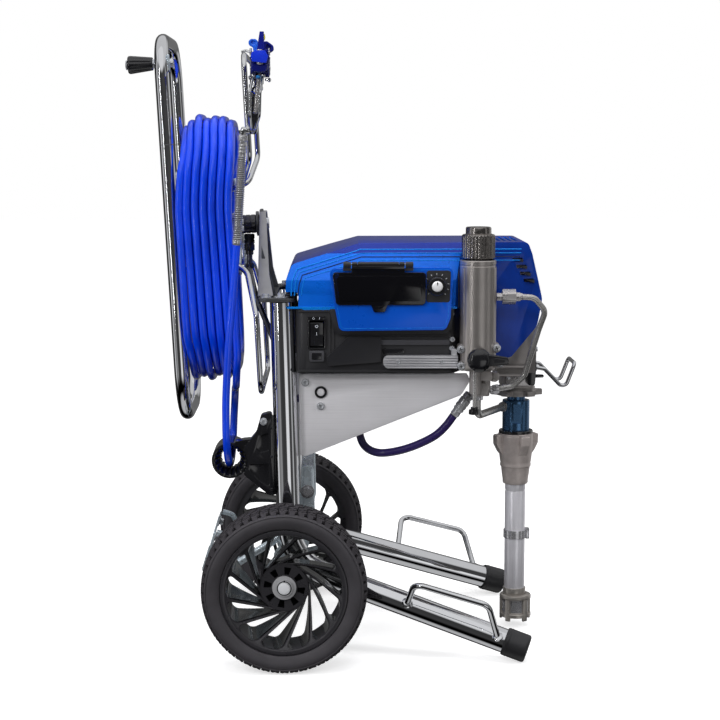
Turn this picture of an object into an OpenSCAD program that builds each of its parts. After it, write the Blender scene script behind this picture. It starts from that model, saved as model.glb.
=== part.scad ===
/* [Wheels] */
// Outside diameter of the tyres
tyre_d = 254; // [240:1:262]
// Width of each tyre
tyre_w = 86; // [76:1:90]
// Distance from the cart's middle plane to each wheel's middle plane
track_half = 242; // [236:1:250]
// Diameter of the axle
axle_d = 20; // [18:0.5:22]
// Number of blades in each wheel centre
blades = 13; // [9:1:15]

/* [Frame] */
// Outside diameter of the frame tubes
tube_d = 38.1; // [35:0.1:40]
// Wall of the frame tubes
tube_w = 2; // [1.5:0.1:3]
// Distance from the middle plane to each upright tube
post_y = 130; // [128:0.5:132]

/* [Hose reel] */
// Backward lean of the reel, in degrees
reel_lean = 3; // [2:0.5:4]
// Diameter of the tube of the outer hoop
hoop_d = 22; // [18:1:24]
// Half the width of the outer hoop, to the tube's centre line
hoop_v = 125; // [115:1:130]
// Half the height of the outer hoop, to the tube's centre line
hoop_h = 296; // [285:1:300]
// Diameter of the spray hose
hose_d = 12; // [10:0.5:13]

/* [Drive] */
// Gear module
gear_m = 2; // [2:1:2]
// Teeth on the motor pinion
pinion_z = 12; // [12:1:12]
// Teeth on the crankshaft gear
wheel_z = 50; // [50:1:50]
// Radius of the crank
crank_r = 17.5; // [15:0.5:18]

/* [Pump] */
// Distance of the pump's centre line in front of the axle
pump_x = 377; // [376:1:378]
// Outside diameter of the suction tube
suction_d = 33.5; // [30:0.5:36]
// Outside diameter of the filter body
filter_d = 56.5; // [52:0.5:58]

/* [Hidden] */

// The origin sits under the middle of the cart. Everything below is drawn from the axle's centre line.
ox = -113.5;
reel_x = -59;
reel_z = 671;
crank_z = 515;
motor_y = 47.37;
motor_z = 555;

module place() { translate([ox, 0, 0]) children(); }
function unit(v) = v / norm(v);

// Moves a child's +Z axis onto the line from a to b.
module between(a, b) {
  v = b - a;
  translate(a) rotate([0, acos(v[2] / norm(v)), atan2(v[1], v[0])]) children();
}
module stick(a, b, d, w = 0) {
  L = norm(b - a);
  between(a, b) if (w > 0) difference() {
    cylinder(h = L, d = d, $fn = 48);
    translate([0, 0, -1]) cylinder(h = L + 2, d = d - 2 * w, $fn = 48);
  } else cylinder(h = L, d = d, $fn = 48);
}
module at_frame(o, x, y, z) {
  multmatrix([[x[0], y[0], z[0], o[0]], [x[1], y[1], z[1], o[1]], [x[2], y[2], z[2], o[2]], [0, 0, 0, 1]]) children();
}
// A bent rod or tube: straight runs joined by bends of radius R.
module pipe(pts, d, R, w = 0) {
  n = len(pts);
  g = 0.02;
  u = [for (i = [0:n - 2]) unit(pts[i + 1] - pts[i])];
  th = [for (i = [0:n - 1]) (i == 0 || i == n - 1) ? 0 : acos(max(-1, min(1, u[i - 1] * u[i])))];
  t = [for (i = [0:n - 1]) (i == 0 || i == n - 1) ? 0 : R * tan(th[i] / 2)];
  for (i = [0:n - 2]) {
    a = pts[i] + u[i] * (t[i] + (i == 0 ? 0 : g));
    b = pts[i + 1] - u[i] * (t[i + 1] + (i == n - 2 ? 0 : g));
    if ((b - a) * u[i] > 0.2) stick(a, b, d, w);
  }
  for (i = [1:n - 2]) if (th[i] > 0.1) {
    a = pts[i] - u[i - 1] * t[i];
    z = unit(cross(u[i - 1], u[i]));
    xx = unit(cross(u[i - 1], z));
    o = a - xx * R;
    at_frame(o, xx, u[i - 1], z) rotate_extrude(angle = th[i], $fn = 96) translate([R, 0]) difference() {
      circle(d = d, $fn = 48);
      if (w > 0) circle(d = d - 2 * w, $fn = 48);
    }
  }
}
// A polygon with rounded corners, each corner with n chords.
function round_poly(p, r, n = 5) = [for (i = [0:len(p) - 1])
  let (a = p[(i + len(p) - 1) % len(p)], b = p[i], c = p[(i + 1) % len(p)],
       u = unit(a - b), v = unit(c - b), h = acos(max(-1, min(1, u * v))) / 2,
       rr = min(r, 0.45 * min(norm(a - b), norm(c - b)) * tan(h)), t = rr / tan(h), m = b + unit(u + v) * rr / sin(h),
       s = b + u * t, e = b + v * t, a0 = atan2(s[1] - m[1], s[0] - m[0]), a1 = atan2(e[1] - m[1], e[0] - m[0]),
       da = a1 - a0 > 180 ? a1 - a0 - 360 : (a1 - a0 < -180 ? a1 - a0 + 360 : a1 - a0))
  each [for (k = [0:n]) m + rr * [cos(a0 + da * k / n), sin(a0 + da * k / n)]]];
// Extrudes an outline drawn in X and Z from y0 to y1.
module side_slab(p, y0, y1) { translate([0, y1, 0]) rotate([90, 0, 0]) linear_extrude(y1 - y0) polygon(p); }
// Extrudes an outline drawn in Y and Z from x0 to x1.
module front_slab(p, x0, x1) { translate([x0, 0, 0]) rotate([90, 0, 90]) linear_extrude(x1 - x0) polygon(p); }
module top_slab(p, z0, z1) { translate([0, 0, z0]) linear_extrude(z1 - z0) polygon(p); }
module xcyl(x0, x1, y, z, d) { translate([x0, y, z]) rotate([0, 90, 0]) cylinder(h = x1 - x0, d = d, $fn = 64); }
module ycyl(y0, y1, x, z, d) { translate([x, y1, z]) rotate([90, 0, 0]) cylinder(h = y1 - y0, d = d, $fn = 64); }
module zcyl(z0, z1, x, y, d) { translate([x, y, z0]) cylinder(h = z1 - z0, d = d, $fn = 64); }
module box(a, b) { translate(a) cube(b - a); }
module both() { children(); mirror([0, 1, 0]) children(); }
module hex_bolt(d, h) { cylinder(h = h, d = d, $fn = 6); }
// The reel's own frame: x along its axle, y across, z up the hoop.
module reel() { translate([reel_x, 0, reel_z]) rotate([0, -reel_lean, 0]) children(); }

// ---------------------------------------------------------------- frame
post_top = [-4.7, post_y, 555];
post_low = [5.8, post_y, 142];
leg_end = [362, 212.1, 25.2];
leg_u = unit(leg_end - post_low);
module frame_tube() { pipe([post_top, post_low, leg_end], tube_d, 80, tube_w); }
module frame_tube_right() color("gainsboro") place() mirror([0, 1, 0]) frame_tube();
module frame_tube_left() color("gainsboro") place() frame_tube();
module foot_caps() color("black") place() both() intersection() {
  difference() {
    between(leg_end - leg_u * 22, leg_end + leg_u * 16) union() {
      cylinder(h = 38, d = tube_d + 6, $fn = 64);
    }
    between(leg_end - leg_u * 23, leg_end) cylinder(h = 23.3, d = tube_d + 0.3, $fn = 64);
  }
  box([300, 150, 0], [420, 260, 90]);
}
module leg_handles() color("gainsboro") place() both()
  pipe([[190, 193.5, 89], [199, 250, 134], [311, 263, 103], [328, 232.3, 45]], 9.5, 18);
module axle() color("silver") place() {
  ycyl(-253, 253, 0, 127, axle_d);
}
module wheel_retainers() color("silver") place() both() {
  difference() { ycyl(243.2, 246, 0, 127, 36); ycyl(243, 246.5, 0, 127, axle_d + 0.1); }
  difference() { ycyl(246.1, 250, 0, 127, 27); ycyl(246, 250.5, 0, 127, axle_d + 0.1); }
}
module axle_carrier() color("lightsteelblue") place() {
  both() difference() {
    side_slab(round_poly([[-22, 108], [22, 108], [46, 205], [44, 292], [24, 292], [22, 205], [-20, 150]], 8), 104, 110);
    ycyl(100, 112, 0, 127, axle_d + 0.1);
  }
  // channel between the two plates
  box([24, -103.9, 215], [28, 103.9, 290]);
  box([28.1, -103.9, 286], [44, 103.9, 290]);
  box([28.1, -103.9, 215], [40, 103.9, 219]);
  // spacer tubes on the axle
  both() difference() { ycyl(110.1, 185, 0, 127, 24); ycyl(109, 186, 0, 127, axle_d + 0.1); }
}
module rear_step() color("lightsteelblue") place() {
  pipe([[12, 97, 196], [-22, 97, 166], [-80, 97, 130], [-132, 92, 116], [-132, -92, 116], [-80, -97, 130], [-22, -97, 166], [12, -97, 196]], 12, 20);
  between([-132, 0, 124], [-112, 0, 190]) translate([-1.5, -80, 0]) cube([3, 160, 58]);
  pipe([[-113, 80, 178], [-96, 80, 173], [-80, 88, 136]], 9, 12);
  pipe([[-113, -80, 178], [-96, -80, 173], [-80, -88, 136]], 9, 12);
}
plate_p = [[21, 441], [287, 441], [290.5, 430], [278, 409], [23.5, 309]];
module side_plates() color("silver") place() {
  both() difference() {
    side_slab(round_poly(plate_p, 6), 127, 130);
    ycyl(120, 135, 55.8, 412.7, 17);
  }
  // grommet and screw heads
  both() {
    ycyl(126.5, 131.5, 55.8, 412.7, 16.8);
    ycyl(130.1, 133.5, 31.5, 428.1, 12);
    ycyl(130.1, 133.5, 55.4, 390.5, 12);
  }
  // tray that carries the housing
  difference() {
    box([21, -130, 441.1], [284.5, 130, 444.5]);
    box([120, -60, 440], [200, 60, 446]);
    box([266, -131, 440], [287, -70, 446]);
  }
  both() difference() { box([30, 112, 438], [262, 126.9, 441]); box([50, 111, 437], [240, 119, 442]); }
}
module reel_bracket() color("dimgray") place() {
  // plate on the posts
  difference() {
    top_slab(round_poly([[-41, -150], [16, -150], [16, -108], [-14, -92], [-14, 92], [16, 108], [16, 150], [-41, 150], [-41, 112], [-43, 108], [-43, -108], [-41, -112]], 14), 556, 562);
  }
  // upright
  difference() {
    front_slab(round_poly([[-118, 562.1], [118, 562.1], [24, 695], [-24, 695]], 8), -43, -38);
    front_slab(round_poly([[-70, 580], [70, 580], [24, 640], [-24, 640]], 8), -44, -37);
  }
  both() side_slab([[-37.9, 562.1], [-15, 562.1], [-37.9, 640]], 76, 79);
  // fixed spindle of the reel, with its head
  reel() { xcyl(-22, 15.5, 0, 0, 16); xcyl(21.7, 31, 0, 0, 19); }
  // bolts into the posts
  both() zcyl(562.1, 567, -4.7, 130, 14);
}
module hose_guide() color("#1c1c1e") place() {
  translate([-88, -95, 304]) rotate([90, 0, 0]) rotate_extrude($fn = 96)
    polygon(concat([for (k = [-6:6]) [16 + 9 * pow(abs(k) / 6, 2), k * 35 / 6]], [[28.7, 35], [28.7, -35]]));
  difference() {
    side_slab(round_poly([[-20.8, 383], [-19, 245], [-40, 262], [-66, 283], [-66, 326], [-46, 350], [-38, 378]], 5), -142, -118);
    ycyl(-143, -100, -88, 304, 56);
    ycyl(-143, -136, -34, 368, 12);
  }
}

// ---------------------------------------------------------------- wheels
module tyre() rotate([90, 0, 0]) rotate_extrude($fn = 128)
  polygon(round_poly([[101, -34], [107, -tyre_w / 2], [118, -tyre_w / 2], [tyre_d / 2 - 1, -30], [tyre_d / 2, -12],
   [tyre_d / 2, 12], [tyre_d / 2 - 1, 30], [118, tyre_w / 2], [107, tyre_w / 2], [101, 34]], 5, 3));
blade = [for (k = [0:8]) let (r = 30 + 60 * k / 8, a = -44 * pow(k / 8, 0.9)) r * [cos(a), sin(a)]];
blade2 = [for (k = [8:-1:0]) let (r = 30 + 60 * k / 8, a = -44 * pow(k / 8, 0.9) + 16 - 7 * k / 8) r * [cos(a), sin(a)]];
// A wheel centre with its outer face towards -Y.
module rim() {
  rotate([90, 0, 0]) rotate_extrude($fn = 128)
    polygon([[88, -33], [100.5, -33.5], [100.5, 33.5], [95, 37.5], [88, 35]]);
  difference() {
    union() {
      rotate([90, 0, 0]) translate([0, 0, -28]) linear_extrude(36)
        for (i = [0:blades - 1]) rotate(360 / blades * i) polygon(concat(blade, blade2));
      ycyl(0, 42, 0, 0, 76);
      ycyl(42, 54, 0, 0, 44);
    }
    ycyl(-60, 60, 0, 0, 26);
  }
}
module bush() { difference() { union() { ycyl(0, 14, 0, 0, 25.9); } ycyl(-1, 15, 0, 0, axle_d + 0.1); } translate([0, 39.5, 0]) difference() { ycyl(0, 14, 0, 0, 25.9); ycyl(-1, 15, 0, 0, axle_d + 0.1); } }
module tyre_right() color("#151517") place() translate([0, -track_half, 127]) tyre();
module tyre_left() color("#151517") place() translate([0, track_half, 127]) tyre();
module rim_right() color("#202023") place() translate([0, -track_half, 127]) rim();
module rim_left() color("#202023") place() rotate([0, 0, 180]) translate([0, -track_half, 127]) rim();
module bushes_right() color("gray") place() translate([0, -track_half, 127]) bush();
module bushes_left() color("gray") place() mirror([0, 1, 0]) translate([0, -track_half, 127]) bush();

// ---------------------------------------------------------------- hose reel
module reel_hoop() color("gainsboro") place() reel() {
  u = -116;
  pipe([[u, 0, hoop_h], [u, hoop_v, hoop_h], [u, hoop_v, -hoop_h], [u, -hoop_v, -hoop_h], [u, -hoop_v, hoop_h], [u, -0.05, hoop_h]], hoop_d, 80, 1.6);
  // bolt of the crank knob, through the hoop
  xcyl(u - 53, u - 11.1, -hoop_v + 12.5, 259, 8);
  xcyl(u - 56, u - 53.02, -hoop_v + 12.5, 259, 15);
  xcyl(u + 11.1, u + 17, -hoop_v + 12.5, 259, 15);
}
// Flat bars across the hoop, end plates and the rods the hose is wound on.
module reel_core() color("gainsboro") place() reel() {
  for (w = [-66, 66]) {
    box([-119, -hoop_v + 11.2, w - 12], [-115, hoop_v - 11.2, w + 12]);
  }
  box([-114.9, -30, -90], [-111, 30, 90]);
  for (v = [-84, 84]) for (w = [-66, 66]) xcyl(-114.9, -18.1, v, w, 12);
  // inner cross: plate on the hub with four arms
  difference() {
    front_slab(round_poly([[-94, -76], [-74, -76], [-30, -30], [30, -30], [74, -76], [94, -76], [94, -56], [44, 0], [94, 56], [94, 76],
      [74, 76], [30, 30], [-30, 30], [-74, 76], [-94, 76], [-94, 56], [-44, 0], [-94, -56]], 5, 3), -18, -14);
    xcyl(-19, -13, 0, 0, 30.2);
  }
}
module reel_hub() color("#55565a") place() reel() {
  difference() {
    union() { xcyl(-28, 9.5, 0, 0, 30); xcyl(-22.5, -18.1, 0, 0, 56); }
    xcyl(-24, 10, 0, 0, 16.1);
  }
  // hose connection inside the reel
  xcyl(-46, -28.1, 0, 0, 18);
  zcyl(9.1, 26, -38, 0, 12);
}
module reel_wires() color("gainsboro") place() reel() {
  pipe([[-114.9, -108, 60], [-6, -108, 60], [12.5, -155, 106], [12.5, -155, 264], [12.5, 155, 264], [12.5, 155, 106], [-6, 108, 60], [-114.9, 108, 60]], 9, 24);
  pipe([[-114.9, -108, -60], [-6, -108, -60], [8.5, -155, -136], [8.5, -155, -257], [8.5, 155, -257], [8.5, 155, -136], [-6, 108, -60], [-114.9, 108, -60]], 9, 24);
}
module crank_knob() color("#19191b") place() reel() difference() {
  union() {
    translate([-129.5, -hoop_v + 12.5, 259]) rotate([0, -90, 0]) cylinder(h = 38.8, d1 = 20, d2 = 29, $fn = 64);
  }
  xcyl(-180, -120, -hoop_v + 12.5, 259, 8.1);
}
coil_c = [[-148, -239], [148, -239], [148, 174], [-148, 174]];
coil_i = [[-123, -214], [123, -214], [123, 149], [-123, 149]];
module hose_coil() color("#1436e0") place() reel() {
  difference() {
    front_slab(round_poly(coil_c, 100, 9), -104.9, -19);
    front_slab(round_poly(coil_i, 76, 9), -105.5, -18);
    // room for the strand that leaves the coil
    box([-31.6, -149, -240], [-18, -135.6, -118.5]);
  }
  // the first strand bulges out beside the hoop
  for (v = [-148, 137.6]) box([-108.5, v, -128], [-104.8, v + 10.4, 66]);
  // the upper strands lean towards the cart
  intersection() {
    difference() {
      front_slab(round_poly(coil_c, 100, 9), -19.2, -10);
      front_slab(round_poly(coil_i, 76, 9), -20, -9);
    }
    box([-19.5, -149, 84], [-9.5, 149, 175]);
  }
}
// Points along the free hose: from the coil, down through the guide and up to the gun.
bend_r = 55.8;
loop_r = 57.8;
function bend(cy, cz, r, a0, a1, x0, x1, n) = [for (k = [0:n]) let (a = a0 + (a1 - a0) * k / n) [x0 + (x1 - x0) * k / n, cy + r * cos(a), cz + r * sin(a)]];
run_p = concat([[-77.7, -142, 550], [-76.3, -142, 524], [-75, -142, 498]],
  bend(-86.2, 472, bend_r, 180, 252, -73.8, -78.6, 5), bend(-99.3, 360.6, bend_r, 75, 0, -80.6, -85.6, 5),
  bend(-100.6, 353, loop_r, -6, -180, -86.2, -91.8, 12),
  [[-91.9, -157.9, 378], [-91.5, -160, 404], [-89, -164.5, 450], [-85.6, -168, 500], [-80, -168, 560], [-75.5, -168, 610], [-72.3, -167.2, 648]]);
function cr(p0, p1, p2, p3, t) = 0.5 * (2 * p1 + (p2 - p0) * t + (2 * p0 - 5 * p1 + 4 * p2 - p3) * t * t + (3 * p1 - p0 - 3 * p2 + p3) * t * t * t);
function smooth(p, n) = [for (i = [0:len(p) - 2]) for (k = [0:n - 1])
  cr(p[max(0, i - 1)], p[i], p[i + 1], p[min(len(p) - 1, i + 2)], k / n), p[len(p) - 1]];
function side_of(t, v) = unit(v - t * (v * t));
function carry(t, i, v) = i >= len(t) ? [] : let (w = side_of(t[i], v)) concat([w], carry(t, i + 1, w));
module sweep(p, d, k = 10) {
  n = len(p);
  t = [for (i = [0:n - 1]) unit(p[min(n - 1, i + 1)] - p[max(0, i - 1)])];
  a = carry(t, 0, [1, 0.1, 0.05]);
  pts = [for (i = [0:n - 1]) let (b = cross(t[i], a[i])) for (j = [0:k - 1]) p[i] + d / 2 * (cos(360 * j / k) * a[i] + sin(360 * j / k) * b)];
  polyhedron(pts, concat([[for (j = [k - 1:-1:0]) j]],
    [for (i = [0:n - 2]) for (j = [0:k - 1]) [i * k + j, i * k + (j + 1) % k, (i + 1) * k + (j + 1) % k, (i + 1) * k + j]],
    [[for (j = [0:k - 1]) (n - 1) * k + j]]), 10);
}
module hose_run() color("#1436e0") place() sweep(smooth(run_p, 2), hose_d);
// Spring guard and ferrule at the gun end of the hose.
hose_t = [-72, -167, 652];
hose_g = [-63, -171, 786];
module hose_end() color("silver") place() {
  stick(hose_t, hose_g, 15);
  stick(hose_g + unit(hose_g - hose_t) * 0.1, hose_g + unit(hose_g - hose_t) * 18, 13);
}

// ---------------------------------------------------------------- spray gun, stored on the reel
gx = -32;
gz = 926;
gun_a = hose_g + unit(hose_g - hose_t) * 18.2;
gun_u = unit(hose_g - hose_t);
module gun_swivel() color("silver") place() difference() {
  stick(gun_a, gun_a + gun_u * 9, 15.5);
  stick(gun_a - gun_u, gun_a + gun_u * 30, 5);
}
module gun_body() color("#8d9096") place() {
  difference() {
    union() {
      // barrel and head
      ycyl(-226, -160, gx, gz, 20);
      box([gx - 12, -216, gz - 26], [gx + 12, -162, gz - 5]);
      // grip, its lower end and the elbow to the swivel
      stick([gx - 9, -171, gz - 20], [-46, -174, 818], 16);
      stick([-60.7, -172, 818.6], [-46, -174, 824], 9);
      stick(gun_a + gun_u * 9.3, gun_a + gun_u * 20, 12);
    }
    // slot and pin hole of the trigger
    box([gx - 7, -217, gz - 27], [gx + 4, -194, gz - 8]);
    xcyl(gx - 14, gx + 14, -205, gz - 14, 4.1);
  }
  // hook over the reel's wire
  pipe([[gx - 2, -159.9, gz + 4], [gx - 2, -150, gz + 5], [-49, -130, gz + 13], [-58, -122, gz + 17], [-65.4, -121.5, gz + 14.5]], 4, 4);
  // rods of the trigger guard
  pipe([[gx + 3.5, -212, gz - 26.1], [gx - 0.5, -226, gz - 50], [gx - 1.5, -226, gz - 84], [-41, -208, gz - 104], [-46, -180, 817]], 4, 10);
  pipe([[gx - 11.5, -212, gz - 26.1], [gx - 16, -223, gz - 50], [gx - 16, -222, gz - 84], [-47, -206, gz - 104], [-46, -182, 818]], 4, 10);
}
module gun_trigger() color("#2a2b2e") place() {
  side = [[-210, 4], [-200, 4], [-201, -10], [-207, -44], [-212, -68], [-217, -66], [-215, -42], [-211.5, -10]];
  // the lever leans towards the reel, its pin is level
  difference() {
    translate([gx - 1.4, 0, gz - 14]) rotate([0, 6, 0]) front_slab(round_poly(side, 2, 2), -3.5, 3.5);
    xcyl(gx - 14, gx + 14, -205, gz - 14, 4);
  }
  xcyl(gx - 11.9, gx + 11.9, -205, gz - 14, 4);
}
module tip_guard() color("#1f4fd8") place() difference() {
  union() {
    ycyl(-242.9, -226.1, gx, gz, 30);
    side_slab(round_poly([[gx - 13, gz + 1.5], [gx - 8.5, gz - 8], [gx + 8.5, gz - 8], [gx + 13, gz + 1.5], [gx + 8.5, gz + 11], [gx - 8.5, gz + 11]], 1.5, 3), -258, -242.8);
    // guard wings behind the tip's flag
    side_slab(round_poly([[gx - 3, gz + 9], [gx - 3, gz + 25.5], [gx - 5.5, gz + 28.5], [gx - 14, gz + 28.5], [gx - 17, gz + 25.5], [gx - 15, gz + 9]], 2, 3), -242.9, -231);
    side_slab(round_poly([[gx + 4, gz + 8], [gx + 16, gz + 8], [gx + 21, gz + 11], [gx + 19.5, gz + 21], [gx + 9, gz + 25], [gx + 4, gz + 24]], 2, 3), -242.9, -231);
  }
  zcyl(gz - 20, gz + 30, gx, -250.5, 9.4);
}
module spray_tip() color("#1b2fa8") place() {
  zcyl(gz - 10, gz + 11.8, gx, -250.5, 9.2);
  side_slab([[gx - 4, gz + 11.6], [gx + 6.8, gz + 11.6], [gx + 6.4, gz + 38], [gx + 0.4, gz + 38]], -251.8, -249.2);
}

// ---------------------------------------------------------------- housing
module lower_housing() color("#141416") place() {
  difference() {
    union() {
      top_slab(round_poly([[17.5, -150], [262, -150], [278, -112], [278, 150], [17.5, 150]], 14), 445, 545);
      side_slab([[82.9, 503], [141.9, 503], [136, 471.5], [89, 471.5]], -157, -149);
    }
    top_slab(round_poly([[20.5, -147], [260, -147], [275, -111], [275, 147], [20.5, 147]], 11), 448, 546);
    // switch opening
    box([38, -160, 485], [61.5, -145, 528]);
    // opening at the front for the drive
    box([270, -110, 452], [290, 110, 546]);
    // inlet opening at the back
    xcyl(10, 30, 60, 480, 22);
  }
  // switch frame
  difference() { box([36, -153, 483], [63.5, -150.1, 535]); box([38, -154, 485], [61.5, -149, 528]); }
}
shroud_p = round_poly([[0, 545.6], [1, 560], [2.5, 592], [12, 614.5], [117, 646], [383, 646.5], [390, 628], [407, 556], [399, 514], [357, 463.5], [322, 463.5], [284, 545.6]], 12, 4);
shroud_in = round_poly([[-5, 540], [4, 560], [5.5, 591], [14.5, 612], [117.5, 643], [381, 643.5], [387, 627], [404, 556], [396, 515], [360, 460], [310, 455], [270, 540]], 9, 3);
module shroud() color("#0a48d8") place() difference() {
  intersection() {
    side_slab(shroud_p, -160, 160);
    front_slab(round_poly([[-108, 460], [108, 460], [150, 546], [145, 590], [128, 632], [108, 646.5], [-108, 646.5], [-128, 632], [-145, 590], [-150, 546]], 10, 4), -5, 420);
    top_slab(round_poly([[0, -156], [262, -156], [284, -108], [410, -98], [410, 98], [284, 108], [262, 156], [0, 156]], 12, 4), 450, 650);
  }
  intersection() {
    side_slab(shroud_in, -160, 160);
    front_slab([[-105, 455], [105, 455], [147, 546], [142, 590], [125, 631], [106, 643.5], [-106, 643.5], [-125, 631], [-142, 590], [-147, 546]], -6, 421);
    top_slab([[3, -152], [260, -152], [282, -105], [407, -95], [407, 95], [282, 105], [260, 152], [3, 152]], 440, 650);
  }
  // notches for the uprights, opening for the drive housing
  both() box([-10, 98, 540], [21.5, 160, 572]);
  box([280, -120, 440], [326, -90, 501]);
  box([322, -88, 455], [420, 88, 534]);
  // louvre slots at the front
  for (k = [0:3]) for (s = [-1, 1]) side_slab([[358 + 6 * k, 622 - 11 * k], [372 + 6 * k, 622 - 11 * k], [373.5 + 6 * k, 617 - 11 * k], [359.5 + 6 * k, 617 - 11 * k]], s > 0 ? 80 : -120, s > 0 ? 120 : -80);
}
panel_p = [[69, 610], [261, 612], [256.5, 533.5], [249.5, 515], [85.2, 513.7], [78.3, 548]];
module control_panel() color("#0a48d8") place() {
  difference() {
    side_slab(round_poly(panel_p, 9), -173, -157);
    side_slab(round_poly([[73, 606], [257, 608], [253, 536], [247, 519], [88, 517], [82, 548]], 7), -170, -156);
    // window for the screen and buttons
    side_slab(round_poly([[78, 603], [214, 603], [214, 558], [84, 558]], 4), -174, -169);
    ycyl(-174, -150, 234.8, 583.7, 6.1);
  }
  both_bosses();
}
module both_bosses() for (x = [90.6, 186.2]) box([x, -177.5, 607], [x + 12.4, -173.1, 612.6]);
door_y = -178.6;
door_z = 616.8;
module display_door() color([0.12, 0.14, 0.2, 0.85]) place() difference() {
  union() {
    side_slab(round_poly([[74, 604.5], [103.5, 604.5], [104, 613], [185, 613], [185.5, 604.5], [218, 604.5], [218, 554], [159, 554], [155, 543], [138, 543], [134, 554], [80, 554]], 4), -177.4, -174.6);
    xcyl(104, 185, door_y, door_z, 8);
    box([104, -181, 610], [185, -175.5, 616]);
  }
  xcyl(100, 190, door_y, door_z, 3.1);
}
// Pin and end bosses of the door's hinge belong to the screen's frame.
module display_unit() color("#202226") place() {
  difference() {
    box([84, -168.4, 553], [214, -166, 604]);
    ycyl(-170, -160, 102, 573, 12.6);
    ycyl(-170, -160, 189, 573, 12.6);
  }
  box([116, -169.9, 562], [176, -168.5, 600]);
  // hinge pin with its two end blocks
  xcyl(91, 198, door_y, door_z, 3);
  for (x = [91, 186.4]) difference() { union() { xcyl(x, x + 12, door_y, door_z, 8); box([x, -182, 614.2], [x + 12, -173.2, 616.6]); } xcyl(x - 1, x + 13, door_y, door_z, 3.01); }
}
module button(x) { ycyl(-171.6, -165.8, x, 573, 11.8); }
module button_left() color("#2a2c30") place() button(102);
module button_right() color("#2a2c30") place() button(189);
module pressure_knob() color("#151517") place() {
  ycyl(-192, -175, 234.8, 583.7, 31);
  ycyl(-195, -192, 234.8, 583.7, 20);
  ycyl(-175, -160, 234.8, 583.7, 6);
}
rock_z = 506.5;
module power_rocker() color("#101012") place() {
  xcyl(38.5, 61, -148, rock_z, 3.6);
  front_slab([[-155.4, rock_z + 19], [-152.6, rock_z], [-155.4, rock_z - 19], [-146, rock_z - 15], [-146, rock_z + 15]], 40, 59.5);
}
module heat_sink() color("#b9bcc2") place() {
  box([153, -162, 454], [269, -150.2, 474]);
  box([259, -160, 474.1], [267.5, -150.2, 484]);
}
module control_board() color("darkgreen") place() {
  box([90, -136, 470], [250, -134, 588]);
  for (x = [110, 136]) zcyl(452, 500, x, -119, 24);
  ycyl(-133.9, -126, 234.8, 575, 18);
  box([150, -133.9, 520], [200, -124, 560]);
}
module cord_gland() color("#101012") place() difference() {
  union() { xcyl(9, 17.4, 60, 480, 30); xcyl(17.4, 30, 60, 480, 21.6); }
  xcyl(-3, 31, 60, 480, 9);
}

// ---------------------------------------------------------------- drive
function inv_a(rb, r) = let (t = sqrt(max(0, (r / rb) * (r / rb) - 1))) t * 180 / PI - atan(t);
// Spur gear profile with backlash bl, first tooth on +x.
module gear_2d(m, z, bl = 0.3) {
  rp = m * z / 2;
  rb = rp * cos(20);
  ra = rp + 0.95 * m;
  rr = rp - 1.25 * m;
  ht = 90 / z - bl / rp * 90 / PI;
  r0 = max(rb, rr);
  fl = [for (i = [0:2]) let (r = r0 + (ra - r0) * i / 2) [r, ht + inv_a(rb, rp) - inv_a(rb, r)]];
  hb = ht + inv_a(rb, rp);
  polygon([for (t = [0:z - 1]) let (c = t * 360 / z) each concat(
    [rr * [cos(c - hb), sin(c - hb)]],
    [for (i = [0:2]) fl[i][0] * [cos(c - fl[i][1]), sin(c - fl[i][1])]],
    [for (i = [2:-1:0]) fl[i][0] * [cos(c + fl[i][1]), sin(c + fl[i][1])]],
    [rr * [cos(c + hb), sin(c + hb)]])]);
}
mesh_a = atan2(motor_z - crank_z, motor_y);
module motor_rotor() color("#7a6a5a") place() translate([0, motor_y, motor_z]) {
  xcyl(100, 289, 0, 0, 12);
  difference() { xcyl(140, 225, 0, 0, 60); xcyl(139, 226, 0, 0, 12); }
  translate([289.1, 0, 0]) rotate([90, 0, 90]) linear_extrude(15) rotate(mesh_a + 180) gear_2d(gear_m, pinion_z);
  // fan
  difference() { xcyl(103, 107, 0, 0, 92); xcyl(102, 108, 0, 0, 12.02); }
  for (k = [0:7]) rotate([45 * k, 0, 0]) box([107, 12, -1], [116, 44, 1]);
}
module motor_stator() color("#3a3c40") place() translate([0, motor_y, motor_z]) rotate([0, 90, 0]) {
  difference() {
    union() { translate([0, 0, 130]) cylinder(h = 110, d = 118, $fn = 96); translate([0, 0, 240]) cylinder(h = 43, d = 70, $fn = 96); }
    translate([0, 0, 136]) cylinder(h = 94, d = 62, $fn = 96);
    translate([0, 0, 120]) cylinder(h = 200, d = 12.1, $fn = 64);
    translate([0, 0, 260]) cylinder(h = 30, d = 50, $fn = 64);
  }
}
module drive_gear() color("#8a8d92") place() translate([0, 0, crank_z]) {
  difference() {
    translate([289.1, 0, 0]) rotate([90, 0, 90]) linear_extrude(14) rotate(mesh_a + 180 / wheel_z) gear_2d(gear_m, wheel_z);
    xcyl(280, 310, 0, 0, 20);
    for (k = [0:4]) rotate([72 * k, 0, 0]) xcyl(280, 310, 0, 32, 15);
  }
  xcyl(287, 341, 0, 0, 20);
  xcyl(341, 352, 0, 0, 62);
  xcyl(352, 369.4, 0, -crank_r, 16);
}
rod_z = crank_z - crank_r;
pin_z = rod_z - 52;
module con_rod() color("#9a9da3") place() difference() {
  union() {
    xcyl(370, 384, 0, rod_z, 30);
    xcyl(370, 384, 0, pin_z, 22);
    box([372, -6.5, pin_z], [382, 6.5, rod_z]);
  }
  xcyl(368, 386, 0, rod_z, 16.2);
  xcyl(368, 386, 0, pin_z, 10.1);
}
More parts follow.
